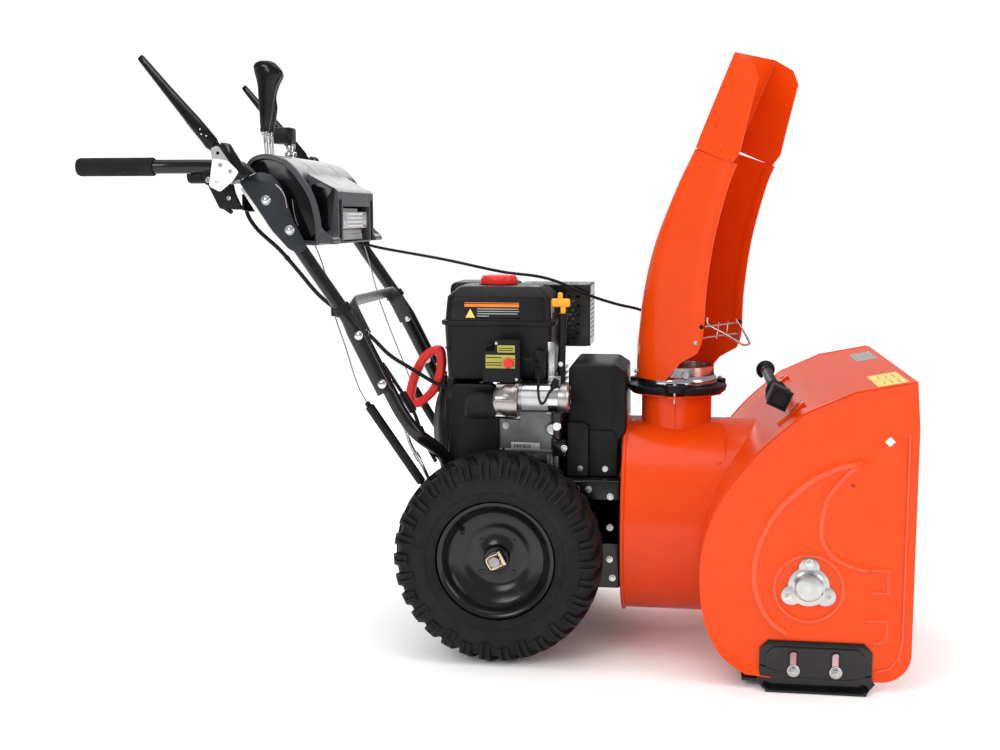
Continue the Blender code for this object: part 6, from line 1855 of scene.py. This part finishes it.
LEVER_PIVOT = (-0.455, 0.880)
LEVER_Y = 0.270
LEVER_TIP = (-0.610, 1.080)
LEVER_ROWS = [(0.0, 0.0100, 0.0036), (0.004, 0.0118, 0.0042), (0.060, 0.0118, 0.0042),
              (0.070, 0.0104, 0.0040), (0.076, 0.0128, 0.0046), (0.120, 0.0128, 0.0046),
              (0.200, 0.0086, 0.0044), (0.254, 0.0070, 0.0042), (0.268, 0.0064, 0.0038),
              (0.272, 0.0050, 0.0024)]
for side, sign, name, body in (("right", -1, "auger_lever", "right_clutch"),
                               ("left", 1, "drive_lever", "left_clutch")):
    tip = Vector((LEVER_TIP[0] + 0.003, 0, LEVER_TIP[1] - 0.002))
    heel = Vector((-0.4300, 0, 0.8680))
    along = (tip - heel).normalized()
    across = Vector((along.z, 0, -along.x))
    length = (tip - heel).length
    y = sign * LEVER_Y
    lever = Shape()
    rows = []
    for run, wide, thick in LEVER_ROWS:
        middle = heel + along * run * length / LEVER_ROWS[-1][0] + Vector((0, y, 0))
        rows.append([middle + across * a + Vector((0, b, 0))
                     for a, b in rounded((-wide, -thick), (wide, thick), min(thick * 0.8, 0.0032), 3)])
    lever.loft(rows)
    cover = softened([(-0.4636, 0.9287), (-0.4462, 0.9265), (-0.4113, 0.8700), (-0.4250, 0.8640),
                      (-0.4400, 0.8760)], 0.004, 4)
    low, high = sorted((sign * 0.2665, sign * 0.2752))
    lever.plate(cover, "Y", low, high, 0.0016)
    lever.rod((LEVER_PIVOT[0], sign * 0.2590, LEVER_PIVOT[1]), (LEVER_PIVOT[0], sign * 0.2750,
                                                                LEVER_PIVOT[1]), 0.0039, 20)
    piece(f"lever_{side}", lever, "gloss", body, name, 35)
    trim = Shape()
    strip_low = heel + along * 0.080 - across * 0.0116
    strip_high = heel + along * (length - 0.030) - across * 0.0066
    line_y = Vector((0, sign * (LEVER_Y + 0.0040), 0))
    trim.tube([strip_low + line_y, strip_high + line_y], 0.0010, 10)
    piece(f"lever_trim_{side}", trim, "chrome", body)
    marks = Shape()
    for run, a0 in ((0.092, 0.002), (0.100, -0.003), (0.108, 0.001)):
        spot = heel + along * run + across * a0 + Vector((0, sign * (LEVER_Y + 0.0045), 0))
        marks.dome(spot, (0, sign, 0), 0.0014, 0.0003, 12)
    piece(f"lever_marks_{side}", marks, "white", body)

    # The white plate beside each lever: its upper part is painted grey as painted shade, and a white skirt
    # covers its lower part.
    bracket = Shape()
    outline = softened([(-0.4800, 0.9180), (-0.4660, 0.9230), (-0.4380, 0.8830), (-0.4310, 0.8720),
                        (-0.4440, 0.8590), (-0.4820, 0.8660), (-0.4770, 0.8960)], 0.005, 4)
    hole = arc((-0.4665, 0.9095), 0.0030, 360, 18, 19)
    plate_y = 0.2757
    low, high = sorted((sign * plate_y, sign * (plate_y + 0.0018)))
    bracket.plate(outline, "Y", low, high, 0.0006, [hole])
    low, high = sorted((sign * 0.2375, sign * 0.2640))
    bracket.box((-0.4700, low, 0.8570), (-0.4400, high, 0.8640), 0.0015)
    low, high = sorted((sign * 0.2600, sign * (plate_y + 0.001)))
    bracket.box((-0.4760, low, 0.8560), (-0.4420, high, 0.8600), 0.0012)
    piece(f"lever_plate_painted_shade_{side}", bracket, "grey_print_and_painted_shade", "chassis", f"lever_bracket_{side}", 35,
          slot="zinc")
    skirt = Shape()
    outline = softened([(-0.4765, 0.9010), (-0.4480, 0.8960), (-0.4290, 0.8770), (-0.4400, 0.8610),
                        (-0.4640, 0.8420), (-0.4840, 0.8520)], 0.004, 4)
    low, high = sorted((sign * (plate_y + 0.0004), sign * (plate_y + 0.0020)))
    skirt.plate(outline, "Y", low, high, 0.0005)
    piece(f"lever_skirt_{side}", skirt, "white", "chassis", slot="zinc")
    rivets = Shape()
    for x, z in ((-0.4620, 0.8890), (-0.4440, 0.8780)):
        head = Vector((x, sign * (plate_y + 0.0018), z))
        outward = Vector((0, sign, 0))
        rivets.rod(head, head + outward * 0.0016, 0.0040, 24, 0.0008)
        rivets.rod(head + outward * 0.0016, head + outward * 0.0024, 0.0022, 16)
    rivets.dome((-0.4695, sign * (plate_y + 0.0020), 0.8590), (0, sign, 0), 0.0034, 0.0016, 20)
    piece(f"lever_rivets_{side}", rivets, "chrome", "chassis")
    under = Shape()
    outline = softened([(-0.5116, 0.8810), (-0.4860, 0.8810), (-0.4560, 0.8700), (-0.4500, 0.8407),
                        (-0.4359, 0.8110), (-0.4775, 0.8125)], 0.005, 4)
    low, high = sorted((sign * 0.2340, sign * 0.2460))
    under.plate(outline, "Y", low, high, 0.0015)
    low, high = sorted((sign * 0.2380, sign * 0.2440))
    under.box((-0.5310, low, 0.8600), (-0.5100, high, 0.8765), 0.0015)
    under.rod((-0.4960, sign * 0.2440, 0.8640), (-0.4960, sign * 0.2490, 0.8640), 0.0095, 28, 0.001)
    under.rod((-0.4780, sign * 0.2400, 0.8200), (-0.4560, sign * 0.2400, 0.8060), 0.0040, 18, 0.001)
    piece(f"switch_box_{side}", under, "plastic", "chassis")
    ring = Shape()
    ring.rod((-0.4960, sign * 0.2490, 0.8640), (-0.4960, sign * 0.2510, 0.8640), 0.0052, 24, 0.0008)
    ring.rod((-0.4600, sign * 0.2450, 0.8320), (-0.4600, sign * 0.2475, 0.8320), 0.0040, 24, 0.0008)
    piece(f"switch_bolt_{side}", ring, "chrome", "chassis")

# ------------------------------------------------------------------ dashboard

HOOD_LINE = [(-0.4550, 0.8560), (-0.4400, 0.8990), (-0.4120, 0.9120), (-0.3800, 0.9060),
             (-0.3600, 0.8940), (-0.3400, 0.8710), (-0.3190, 0.8375), (-0.3090, 0.8020),
             (-0.3065, 0.7750), (-0.3090, 0.7520), (-0.3160, 0.7470), (-0.3400, 0.7480),
             (-0.3630, 0.7520)]
HOOD_CURVE = [(x, z) for x, z, _ in smooth_line([(x, z, 0) for x, z in HOOD_LINE], 5)]
HOOD_HALF = 0.200
HOOD_WALL = 0.0030
HOOD_ROWS = 84
HOOD_FRONT_ENDS = 0.765
BOSS_HALF = 0.1370
BOSS_FRONT = -0.2895
LAMP_HALF = 0.1030
LAMP_Z = (0.7510, 0.8200)
SLOT_Y = (0.1100, 0.1290)


def hood_point(share, shrink):
    """A point on the hood's section, share of the way along it, moved in by shrink."""
    spot = share * (len(HOOD_CURVE) - 1)
    i = min(int(spot), len(HOOD_CURVE) - 2)
    here = Vector(HOOD_CURVE[i]).lerp(Vector(HOOD_CURVE[i + 1]), spot - i)
    along = (Vector(HOOD_CURVE[min(i + 2, len(HOOD_CURVE) - 1)])
             - Vector(HOOD_CURVE[max(i - 1, 0)])).normalized()
    return here + Vector((along.y, -along.x)) * shrink


def eased(value):
    value = min(max(value, 0.0), 1.0)
    return value * value * (3 - 2 * value)


def boss_front(z):
    """How far forward the lamp boss stands at this height; its roof slopes back to the hood."""
    if z > 0.8490:
        return BOSS_FRONT - 0.0020 - (z - 0.8490) * 1.95
    return BOSS_FRONT - max(0.7530 - z, 0.0) * 0.9


def hood_skin(y, share, depth):
    """The hood's surface: a lamp boss in the middle, a scoop and a flared lip at each side."""
    x, z = hood_point(share, depth)
    if share > HOOD_FRONT_ENDS or x < -0.372:
        return Vector((x, y, z))
    away = abs(y)
    front = boss_front(z) - depth
    boss = eased((BOSS_HALF + 0.0015 - away) / 0.0030)
    scoop = (eased((away - BOSS_HALF) / 0.0030) * eased((0.1900 - away) / 0.0110)
             * eased((0.8800 - z) / 0.0400) * eased((z - 0.7600) / 0.0140))
    lip = (eased((away - 0.1300) / 0.0060) * eased((0.1970 - away) / 0.0060)
           * eased((0.7830 - z) / 0.0300))
    x -= 0.0240 * scoop
    x += 0.0240 * lip
    return Vector((x + max(front - x, 0.0) * boss, y, z))


lines = []
edges = [(0.0, 0.0060), (0.0010, 0.0030), (0.0035, 0.0008), (0.0080, 0.0)]
stations = [(-HOOD_HALF + out, draw) for out, draw in edges]
stations += [(-HOOD_HALF + 0.008 + (2 * HOOD_HALF - 0.016) * i / 150, 0.0) for i in range(1, 150)]
stations += [(HOOD_HALF - out, draw) for out, draw in reversed(edges)]
for y, draw_in in stations:
    shares = [i / (HOOD_ROWS - 1) for i in range(HOOD_ROWS)]
    outer = [hood_skin(y, share, draw_in) for share in shares]
    inner = [hood_skin(y, share, draw_in + HOOD_WALL) for share in reversed(shares)]
    lines.append(outer + inner)
shell = Shape().loft(lines)
openings = Shape()
for y in (-0.084, -0.052):
    openings.box((-0.468, y - 0.0060, 0.84), (-0.404, y + 0.0060, 0.96), 0.001)
openings.rod((-0.436, 0.050, 0.84), (-0.436, 0.050, 0.96), 0.0128, 40, 0)
openings.box((-0.300, -LAMP_HALF, LAMP_Z[0]), (-0.276, LAMP_HALF, LAMP_Z[1]), 0)
for sign in (-1, 1):
    low, high = sorted((sign * SLOT_Y[0], sign * SLOT_Y[1]))
    slot = rounded((low, 0.7350), (high, 0.8320), 0.0070, 6)
    openings.plate(slot, "X", -0.3000, -0.2760)
    spin = (Matrix.Translation((-0.366, sign * 0.095, 0)) @ Matrix.Rotation(0.95 * sign, 4, "Z"))
    openings.box((-0.0012, -0.0300, 0.860), (0.0012, 0.0300, 0.960), 0, spin)
shell = boolean(shell, openings)
# The hood is glossy black; its grey colour is painted reflection.
piece("hood", shell, "hood_painted_reflection_grey", "chassis", "dashboard", 38)
ends = Shape()
outline = [tuple(hood_point(i / 40, 0.0012)) for i in range(41)]
for sign in (-1, 1):
    low, high = sorted((sign * (HOOD_HALF - 0.0080), sign * (HOOD_HALF - 0.0050)))
    ends.plate(outline, "Y", low, high, 0.0004)
piece("hood_ends", ends, "gloss", "chassis")

# Painted shade: dark gloss sheets in the scoops and on the boss's sides, where the hood itself looks dark
# only from shade and dark reflection, and dark rooms behind the slots of the boss.
painted_shade_liners = Shape()
for sign in (-1, 1):
    strips = []
    for i in range(25):
        y = sign * (BOSS_HALF + 0.0022 + i * 0.0018)
        fade = abs(i - 12) / 12
        strip = [hood_skin(y, 0.43 + 0.010 * fade + (0.247 - 0.030 * fade) * k / 40, -0.0006)
                 for k in range(41)]
        strips.append(strip + [p - Vector((0.0016, 0, 0)) for p in reversed(strip)])
    painted_shade_liners.loft(strips)
    low, high = sorted((sign * (SLOT_Y[0] - 0.001), sign * (SLOT_Y[1] + 0.001)))
    painted_shade_liners.box((-0.3100, low, 0.7480), (-0.2945, high, 0.8330), 0.0008)
    wall = softened([(-0.2950, 0.8495), (-0.3040, 0.7760), (-0.3120, 0.7700), (-0.3350, 0.8000),
                     (-0.3420, 0.8560), (-0.3230, 0.8615)], 0.003, 3)
    low, high = sorted((sign * (BOSS_HALF + 0.0008), sign * (BOSS_HALF + 0.0024)))
    painted_shade_liners.plate(wall, "Y", low, high, 0.0003)
piece("scoop_painted_shade", painted_shade_liners, "gloss", "chassis", smooth=50)

# The lamp: a frame round a near-black box of painted shade for its recess, with a grey box and a diode lens
# in it.
frame_ring = Shape()
outer = rounded((-LAMP_HALF - 0.0030, LAMP_Z[0] - 0.0016), (LAMP_HALF + 0.0030, LAMP_Z[1] + 0.0030),
                0.003, 4)
hole = rounded((-LAMP_HALF + 0.0012, LAMP_Z[0] + 0.0012), (LAMP_HALF - 0.0012, LAMP_Z[1] - 0.0012),
               0.002, 4)
frame_ring.plate(outer, "X", -0.3120, BOSS_FRONT + 0.0002, 0.0006, [hole])
piece("lamp_frame", frame_ring, "hood_painted_reflection_grey", "chassis", smooth=40)
room = Shape()
room.box((-0.3160, -LAMP_HALF - 0.002, LAMP_Z[0] - 0.001), (-0.3110, LAMP_HALF + 0.002,
                                                            LAMP_Z[1] + 0.002), 0.0008)
room.box((-0.3120, 0.0860, 0.7560), (-0.3030, 0.0920, 0.7740), 0.0008)
room.box((-0.3120, 0.0860, 0.8080), (-0.3030, 0.0920, 0.8170), 0.0008)
piece("lamp_recess_painted_shade", room, "dark", "chassis")
boxes = Shape()
boxes.box((-0.3120, -0.0970, 0.7540), (-0.2985, 0.0760, 0.7660), 0.0012)
boxes.box((-0.3120, -0.0970, 0.7660), (-0.3000, 0.0760, 0.7745), 0.0008)
boxes.box((-0.3120, -0.0900, 0.8070), (-0.3010, 0.0520, 0.8150), 0.0012)
piece("lamp_boxes", boxes, "grey_print_and_painted_shade", "chassis", slot="black_plastic")
lens = Shape()
outline = rounded((-0.0980, 0.7760), (0.0980, 0.8085), 0.0050, 5)
lens.plate(outline, "X", -0.3100, -0.2930, 0.0030)
piece("lamp_lens", lens, "lens", "chassis", smooth=40, slot="gloss_plastic")
dots, cells = Shape(), Shape()
for row in range(4):
    z = 0.7810 + row * 0.0075
    for i in range(17):
        dots.dome((-0.2932, -0.0560 + i * 0.0070, z), (1, 0, 0), 0.0023, 0.0010, 12)
    cells.box((-0.2936, -0.0620, z - 0.0034), (-0.2926, 0.0620, z - 0.0030), 0)
for sign in (-1, 1):
    cells.turned([(0, 0.0010), (0.0085, 0.0008), (0.0100, 0), (0, 0)],
                 (-0.2932, sign * 0.0790, 0.7920), (1, 0, 0), 28)
piece("lamp_diodes", dots, "white", "chassis", slot="gloss_plastic")
piece("lamp_cells", cells, "label_silver", "chassis", slot="gloss_plastic")

# A tray under the hood's open back, which holds the lever pivots.
tray = Shape()
tray.box((-0.4500, -0.1880, 0.8080), (-0.3700, 0.1880, 0.8110), 0.0010)
for y in (-0.098, -0.066, -0.038):
    tray.box((-0.4580, y - 0.0015, 0.8080), (-0.4180, y + 0.0015, 0.8620), 0.0005)
tray.rod((-0.4380, -0.100, 0.8270), (-0.4380, -0.036, 0.8270), 0.0030, 16)
tray.box((-0.4560, -0.188, 0.8100), (-0.4530, 0.188, 0.8400), 0.0010)
piece("lever_tray", tray, "black_paint", "chassis")

# Ear plates outside the handles that hold the hood, with their two round bolts.
EAR_LINE = [(-0.4460, 0.8630), (-0.4125, 0.8775), (-0.3980, 0.8770), (-0.3846, 0.8729),
            (-0.3735, 0.8630), (-0.3645, 0.8489), (-0.3585, 0.8340), (-0.3540, 0.8180),
            (-0.3437, 0.7898), (-0.3320, 0.7680), (-0.3210, 0.7475), (-0.3260, 0.7375),
            (-0.3370, 0.7335), (-0.3550, 0.7417), (-0.3839, 0.7728), (-0.4150, 0.8190)]
EAR_Y = 0.2330
for side, sign in SIDES.items():
    ear = Shape()
    low, high = sorted((sign * EAR_Y, sign * (EAR_Y + 0.0020)))
    ear.plate(softened(EAR_LINE, 0.0040, 4), "Y", low, high, 0.0006)
    for x, z in ((-0.4090, 0.8600), (-0.3450, 0.7560)):
        ear.rod((x, sign * (HOOD_HALF - 0.008), z), (x, sign * EAR_Y, z), 0.0050, 20)
    piece(f"hood_ear_{side}", ear, "steel_blue", "chassis", slot="black_paint")
    # Thin bright zinc lines along the ear's folded edges and beside it: painted highlights.
    edge = Shape()
    line = smooth_line([(-0.3760, sign * 0.2354, 0.8560), (-0.3660, sign * 0.2354, 0.8460),
                        (-0.3590, sign * 0.2354, 0.8330), (-0.3560, sign * 0.2354, 0.8140)], 6)
    edge.tube(line, 0.0009, 8)
    line = smooth_line([(-0.3570, sign * 0.2010, 0.8300), (-0.3530, sign * 0.2010, 0.8010),
                        (-0.3470, sign * 0.2010, 0.7830)], 6)
    edge.tube(line, 0.0009, 8)
    edge.tube([(-0.4440, sign * 0.2354, 0.8620), (-0.4130, sign * 0.2354, 0.8762)], 0.0007, 8)
    piece(f"ear_edge_highlight_{side}", edge, "zinc", "chassis")
    bolts = Shape()
    for x, z in ((-0.3950, 0.8280), (-0.3520, 0.7750)):
        spot = Vector((x, sign * (EAR_Y + 0.0020), z))
        bolts.rod(spot - Vector((0, sign * 0.0330, 0)), spot, 0.0038, 20)
        bolts.rod(spot, spot + Vector((0, sign * 0.0018, 0)), 0.0088, 32, 0.0005)
        bolts.dome(spot + Vector((0, sign * 0.0018, 0)), (0, sign, 0), 0.0066, 0.0032, 28)
    piece(f"hood_bolts_{side}", bolts, "chrome", "chassis")
    tab = Shape()
    low, high = sorted((sign * 0.2310, sign * 0.2325))
    tab.plate(softened([(-0.4420, 0.8480), (-0.4340, 0.8540), (-0.4040, 0.8100), (-0.3800, 0.7740),
                        (-0.3870, 0.7700), (-0.4120, 0.8020)], 0.001, 2), "Y", low, high, 0.0003)
    piece(f"hood_tab_{side}", tab, "white", "chassis", slot="zinc")

# ------------------------------------------------------------------ shift levers and knob


def lever_handle(y, rows):
    """The moulded handle: oval sections that flare to a hooked top."""
    loops = []
    for z, x, depth, width in rows:
        loops.append([Vector((x + depth * math.cos(2 * math.pi * i / 32),
                              y + width * math.sin(2 * math.pi * i / 32),
                              z)) for i in range(32)])
    return Shape().loft(loops)


GRIP_ROWS = [
    (0.9580, -0.4440, 0.0074, 0.0074), (0.9592, -0.4440, 0.0092, 0.0090),
    (0.9640, -0.4438, 0.0092, 0.0090), (0.9650, -0.4438, 0.0082, 0.0080),
    (0.9720, -0.4430, 0.0098, 0.0092), (0.9850, -0.4415, 0.0115, 0.0105),
    (1.0050, -0.4405, 0.0136, 0.0112), (1.0250, -0.4392, 0.0158, 0.0120),
    (1.0450, -0.4365, 0.0195, 0.0130), (1.0640, -0.4335, 0.0270, 0.0140),
    (1.0735, -0.4362, 0.0262, 0.0138), (1.0800, -0.4395, 0.0238, 0.0134),
    (1.0858, -0.4405, 0.0188, 0.0112), (1.0890, -0.4410, 0.0120, 0.0080),
    (1.0900, -0.4410, 0.0050, 0.0034),
]
for name, y, node, body in (("joystick", -0.084, "chute_joystick", "joystick"),
                            ("speed", -0.052, "speed_lever", "speed_selector")):
    slim = 1.0 if name == "joystick" else 0.86
    shaped = [(z, x - 0.0350 * (1 - slim) * (z > 1.02), depth * slim, width)
              for z, x, depth, width in GRIP_ROWS]
    rows = smooth_line([Vector(row) for row in shaped[3:-1]], 4)
    handle = lever_handle(y, [*shaped[:3], *rows, shaped[-1]])
    piece(f"{name}_grip", handle, "gloss", body, node, 60)
    seam = Shape()
    for sign in (-1, 1):
        line = [Vector((x - depth * 0.05, y + sign * (width - 0.0002), z))
                for z, x, depth, width in shaped[4:10]]
        seam.tube(smooth_line(line, 4), 0.0005, 8)
    piece(f"{name}_seam", seam, "dark", body, slot="black_plastic")
    metal = Shape()
    metal.tube(smooth_line([(-0.4380, y, 0.8160), (-0.4395, y, 0.8700), (-0.4425, y - 0.0026, 0.9200),
                            (-0.4450, y - 0.0030, 0.9560)], 5), 0.0019, 12)
    metal.tube(smooth_line([(-0.4380, y, 0.8160), (-0.4385, y, 0.8700), (-0.4395, y + 0.0030, 0.9200),
                            (-0.4415, y + 0.0030, 0.9560)], 5), 0.0019, 12)
    metal.turned([(0, 0.0100), (0.0064, 0.0100), (0.0074, 0.0085), (0.0074, 0.0055), (0.0060, 0.0040),
                  (0.0060, 0.0010), (0.0050, 0.0), (0, 0.0)], (-0.4448, y, 0.9508), (0, 0, 1), 28)
    metal.rod((-0.4380, y - 0.0055, 0.8160), (-0.4380, y + 0.0055, 0.8160), 0.0048, 20)
    piece(f"{name}_rods", metal, "chrome", body)
    clip = Shape().tube(smooth_line([(-0.4450, y - 0.003, 0.9500), (-0.4420, y - 0.0050, 0.9460),
                                     (-0.4420, y - 0.0050, 0.9400), (-0.4450, y - 0.0040, 0.9370)],
                                    5), 0.0013, 10)
    piece(f"{name}_clip", clip, "steel", body)

# The knob that tips the deflector, on its stack of washers.
knob = Shape()
knob.plate(rounded((-0.4706, 0.0310), (-0.4281, 0.0690), 0.0085, 6), "Z", 0.9425, 0.9745, 0.0045)
piece("tip_knob", knob, "plastic", "knob", "deflector_knob", 40)
stack = Shape()
stack.turned([(0, 0.0620), (0.0080, 0.0620), (0.0092, 0.0600), (0.0092, 0.0520), (0.0075, 0.0500),
              (0.0075, 0.0470), (0.0120, 0.0450), (0.0125, 0.0400), (0.0105, 0.0380),
              (0.0105, 0.0), (0, 0.0)], (-0.436, 0.050, 0.8800), (0, 0, 1), 40)
piece("knob_stack", stack, "chrome", "knob")
seat = Shape()
lean = Vector((0.18, 0, 1)).normalized()
seat.turned([(0.0135, 0.0095), (0.0165, 0.0095), (0.0185, 0.0070), (0.0190, 0.0020), (0.0215, 0.0005),
             (0.0220, -0.0015), (0.0135, -0.0015)], (-0.4350, 0.050, 0.9035), lean, 40)
piece("knob_seat", seat, "zinc", "chassis")

# ------------------------------------------------------------------ cables and rods

CABLE_ROUTE = [(-0.3010, 0.100, 0.7440), (-0.256, 0.085, 0.7350), (-0.125, 0.030, 0.7160),
               (-0.010, 0.030, 0.6925), (0.060, 0.030, 0.6840), (0.105, 0.032, 0.6720),
               (0.165, 0.040, 0.646), (0.215, 0.085, 0.627), (0.262, 0.130, 0.612),
               (0.305, 0.150, 0.585), (0.332, 0.148, 0.535), (0.338, 0.132, 0.495),
               (0.340, 0.120, 0.462)]
shape = Shape().tube(smooth_line(CABLE_ROUTE, 7), 0.0029, 14)
shape.rod(CABLE_ROUTE[-1], Vector(CABLE_ROUTE[-1]) + Vector((0.001, -0.006, 0.024)), 0.0042, 18)
shape.rod(Vector(CABLE_ROUTE[0]) + Vector((-0.008, 0.001, 0.001)), Vector((-0.290, 0.097, 0.7418)),
          0.0044, 18)
piece("chute_control_cable", shape, "rubber", "chassis", "chute_cable", 40)
LOOM_ROUTE = [(-0.440, -0.140, 0.845), (-0.464, -0.140, 0.815), (-0.447, -0.140, 0.779),
              (-0.401, -0.140, 0.737), (-0.364, -0.142, 0.696), (-0.326, -0.145, 0.654),
              (-0.285, -0.125, 0.616), (-0.246, -0.085, 0.575), (-0.208, -0.080, 0.537),
              (-0.165, -0.080, 0.511), (-0.125, -0.078, 0.487), (-0.0985, -0.075, 0.475)]
shape = Shape().tube(smooth_line(LOOM_ROUTE, 7), 0.0038, 14)
for route, share in ((LOOM_ROUTE, 0.30), (LOOM_ROUTE, 0.62)):
    line = smooth_line(route, 7)
    i = int(len(line) * share)
    here, there = Vector(line[i]), Vector(line[i + 1])
    shape.rod(here, here + (there - here).normalized() * 0.008, 0.0046, 18, 0.001)
piece("wiring_lead", shape, "rubber", "chassis", "wiring_loom", 40)

inner_wires, sheaths = Shape(), Shape()
near = [(-0.307, -0.190, 0.717), (-0.287, -0.190, 0.630), (-0.266, -0.190, 0.566),
        (-0.243, -0.190, 0.493), (-0.222, -0.190, 0.455)]
far = [(-0.297, 0.100, 0.731), (-0.279, 0.112, 0.650), (-0.263, 0.128, 0.589),
       (-0.229, 0.160, 0.482), (-0.213, 0.165, 0.441)]
inner_wires.tube(smooth_line([(-0.345, -0.185, 0.800), *near], 6), 0.0012, 8)
inner_wires.tube(smooth_line([(-0.320, 0.090, 0.790), *far], 6), 0.0012, 8)
for start, end in ((Vector((-0.2220, -0.190, 0.4550)), Vector((-0.128, -0.172, 0.311))),
                   (Vector((-0.213, 0.165, 0.441)), Vector((-0.128, 0.150, 0.311)))):
    sheaths.rod(start, end, 0.0086, 24, 0.002)
    along = (start - end).normalized()
    sheaths.rod(start, start + along * 0.008, 0.0052, 18, 0.0015)
    sheaths.rod(end, end - along * 0.010, 0.0045, 16, 0.001)
piece("clutch_wires", inner_wires, "steel", "chassis")
piece("clutch_sheaths", sheaths, "plastic", "chassis")
rods = Shape()
rods.tube(smooth_line([(-0.182, -0.150, 0.452), (-0.166, -0.150, 0.412), (-0.153, -0.150, 0.375),
                       (-0.131, -0.148, 0.335), (-0.118, -0.144, 0.302)], 5), 0.0040, 14)
rods.rod((-0.146, -0.150, 0.362), (-0.138, -0.149, 0.347), 0.0062, 20)
piece("shift_rod", rods, "chrome", "chassis")
bundle = Shape()
bundle.tube(smooth_line([(-0.205, -0.155, 0.530), (-0.195, -0.155, 0.516), (-0.177, -0.155, 0.489),
                         (-0.158, -0.155, 0.461), (-0.143, -0.155, 0.433), (-0.128, -0.150, 0.387),
                         (-0.106, -0.148, 0.346)], 5), 0.0036, 12)
bundle.rod((-0.168, -0.155, 0.476), (-0.146, -0.155, 0.440), 0.0074, 18, 0.0015)
bundle.rod((-0.136, -0.153, 0.412), (-0.124, -0.150, 0.376), 0.0066, 18, 0.0015)
piece("lead_connectors", bundle, "plastic", "chassis")
tag = Shape()
tag.box((-0.012, -0.0010, -0.0095), (0.012, 0.0010, 0.0095), 0.0006,
        Matrix.Translation((-0.086, -0.152, 0.310)) @ Matrix.Rotation(math.radians(35), 4, "Y"))
piece("blank_tag", tag, "white", "chassis")
lead = Shape().tube(smooth_line([(-0.078, -0.152, 0.306), (-0.060, -0.150, 0.308),
                                 (-0.032, -0.146, 0.317), (0.000, -0.138, 0.341),
                                 (0.018, -0.124, 0.371)], 6), 0.0024, 12)
piece("sensor_lead", lead, "rubber", "chassis")
holder = Shape()
holder.plate(softened([(0.325, 0.4380), (0.356, 0.4380), (0.356, 0.4560), (0.348, 0.4640),
                       (0.332, 0.4640), (0.325, 0.4560)], 0.003), "Y", 0.1140, 0.1165, 0.0004)
piece("cable_bracket", holder, "zinc", "chassis")

# ------------------------------------------------------------------ frame parts that stay

replaced = {n for o in bpy.data.objects for n in o.get("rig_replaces", [])}
for name, node in frame["nodes"].items():
    if name in replaced:
        continue
    node.data.materials.clear()
    node.data.materials.append(LOOKS[SLOT_LOOKS[node_slot[name]]])

# ------------------------------------------------------------------ floor, light and camera


def pale(name, colour, roughness):
    made = bpy.data.materials.new(name)
    made.use_nodes = True
    tree = made.node_tree
    shader = tree.nodes["Principled BSDF"]
    noise = tree.nodes.new("ShaderNodeTexNoise")
    noise.inputs["Scale"].default_value = 3.0
    mix = tree.nodes.new("ShaderNodeMix")
    mix.data_type = "RGBA"
    mix.inputs["A"].default_value = (*colour, 1)
    mix.inputs["B"].default_value = (*(c * 0.985 for c in colour), 1)
    tree.links.new(noise.outputs["Fac"], mix.inputs["Factor"])
    tree.links.new(mix.outputs["Result"], shader.inputs["Base Color"])
    shader.inputs["Roughness"].default_value = roughness
    return made


scene = bpy.context.scene
floor_mesh = bpy.data.meshes.new("floor")
FLOOR_REACH = 40
floor_mesh.from_pydata([(-FLOOR_REACH, -FLOOR_REACH, 0), (FLOOR_REACH, -FLOOR_REACH, 0),
                        (FLOOR_REACH, FLOOR_REACH, 0), (-FLOOR_REACH, FLOOR_REACH, 0)], [],
                       [(0, 1, 2, 3)])
floor = bpy.data.objects.new("floor", floor_mesh)
floor.location.z = -0.0008
floor_mesh.materials.append(pale("pale_floor", (0.97, 0.97, 0.97), 0.9))
scene.collection.objects.link(floor)

world = bpy.data.worlds.new("studio")
world.use_nodes = True
world.node_tree.nodes["Background"].inputs["Color"].default_value = (1, 1, 1, 1)
# Glossy surfaces see a dimmer room than the open white one, so that the lights stand out in them.
world_tree = world.node_tree
ray = world_tree.nodes.new("ShaderNodeLightPath")
level = world_tree.nodes.new("ShaderNodeMapRange")
level.inputs["To Min"].default_value = 1.12
level.inputs["To Max"].default_value = 0.36
world_tree.links.new(ray.outputs["Is Glossy Ray"], level.inputs["Value"])
world_tree.links.new(level.outputs["Result"], world_tree.nodes["Background"].inputs["Strength"])
scene.world = world


def softbox(name, place, aim, size, power, height=None):
    """A large soft area light turned to the object."""
    light = bpy.data.lights.new(name, "AREA")
    light.shape = "RECTANGLE"
    light.size = size
    light.size_y = height or size
    light.energy = power
    made = bpy.data.objects.new(name, light)
    made.location = place
    made.rotation_euler = (Vector(aim) - Vector(place)).to_track_quat("-Z", "Y").to_euler()
    scene.collection.objects.link(made)
    return made


softbox("top_light", (0.1, 0.2, 3.2), (0, 0, 0.4), 2.6, 34)
softbox("key_light", (-1.4, -3.2, 2.4), (0.1, 0, 0.5), 1.5, 34)
softbox("front_light", (2.8, -1.2, 1.6), (0.4, 0, 0.4), 1.0, 16, 1.6)
softbox("back_light", (-0.8, 3.0, 2.0), (0, 0, 0.5), 1.8, 24)

camera_data = bpy.data.cameras.new("camera")
camera_data.lens = 46.8
camera_data.sensor_width = 36
camera_data.clip_end = 200
camera = bpy.data.objects.new("camera", camera_data)
camera.location = (0.354, -2.49, 0.80)
camera.rotation_euler = (math.radians(90 - 6.97), 0, math.radians(8.25))
scene.collection.objects.link(camera)
scene.camera = camera
scene.view_settings.view_transform = "Standard"
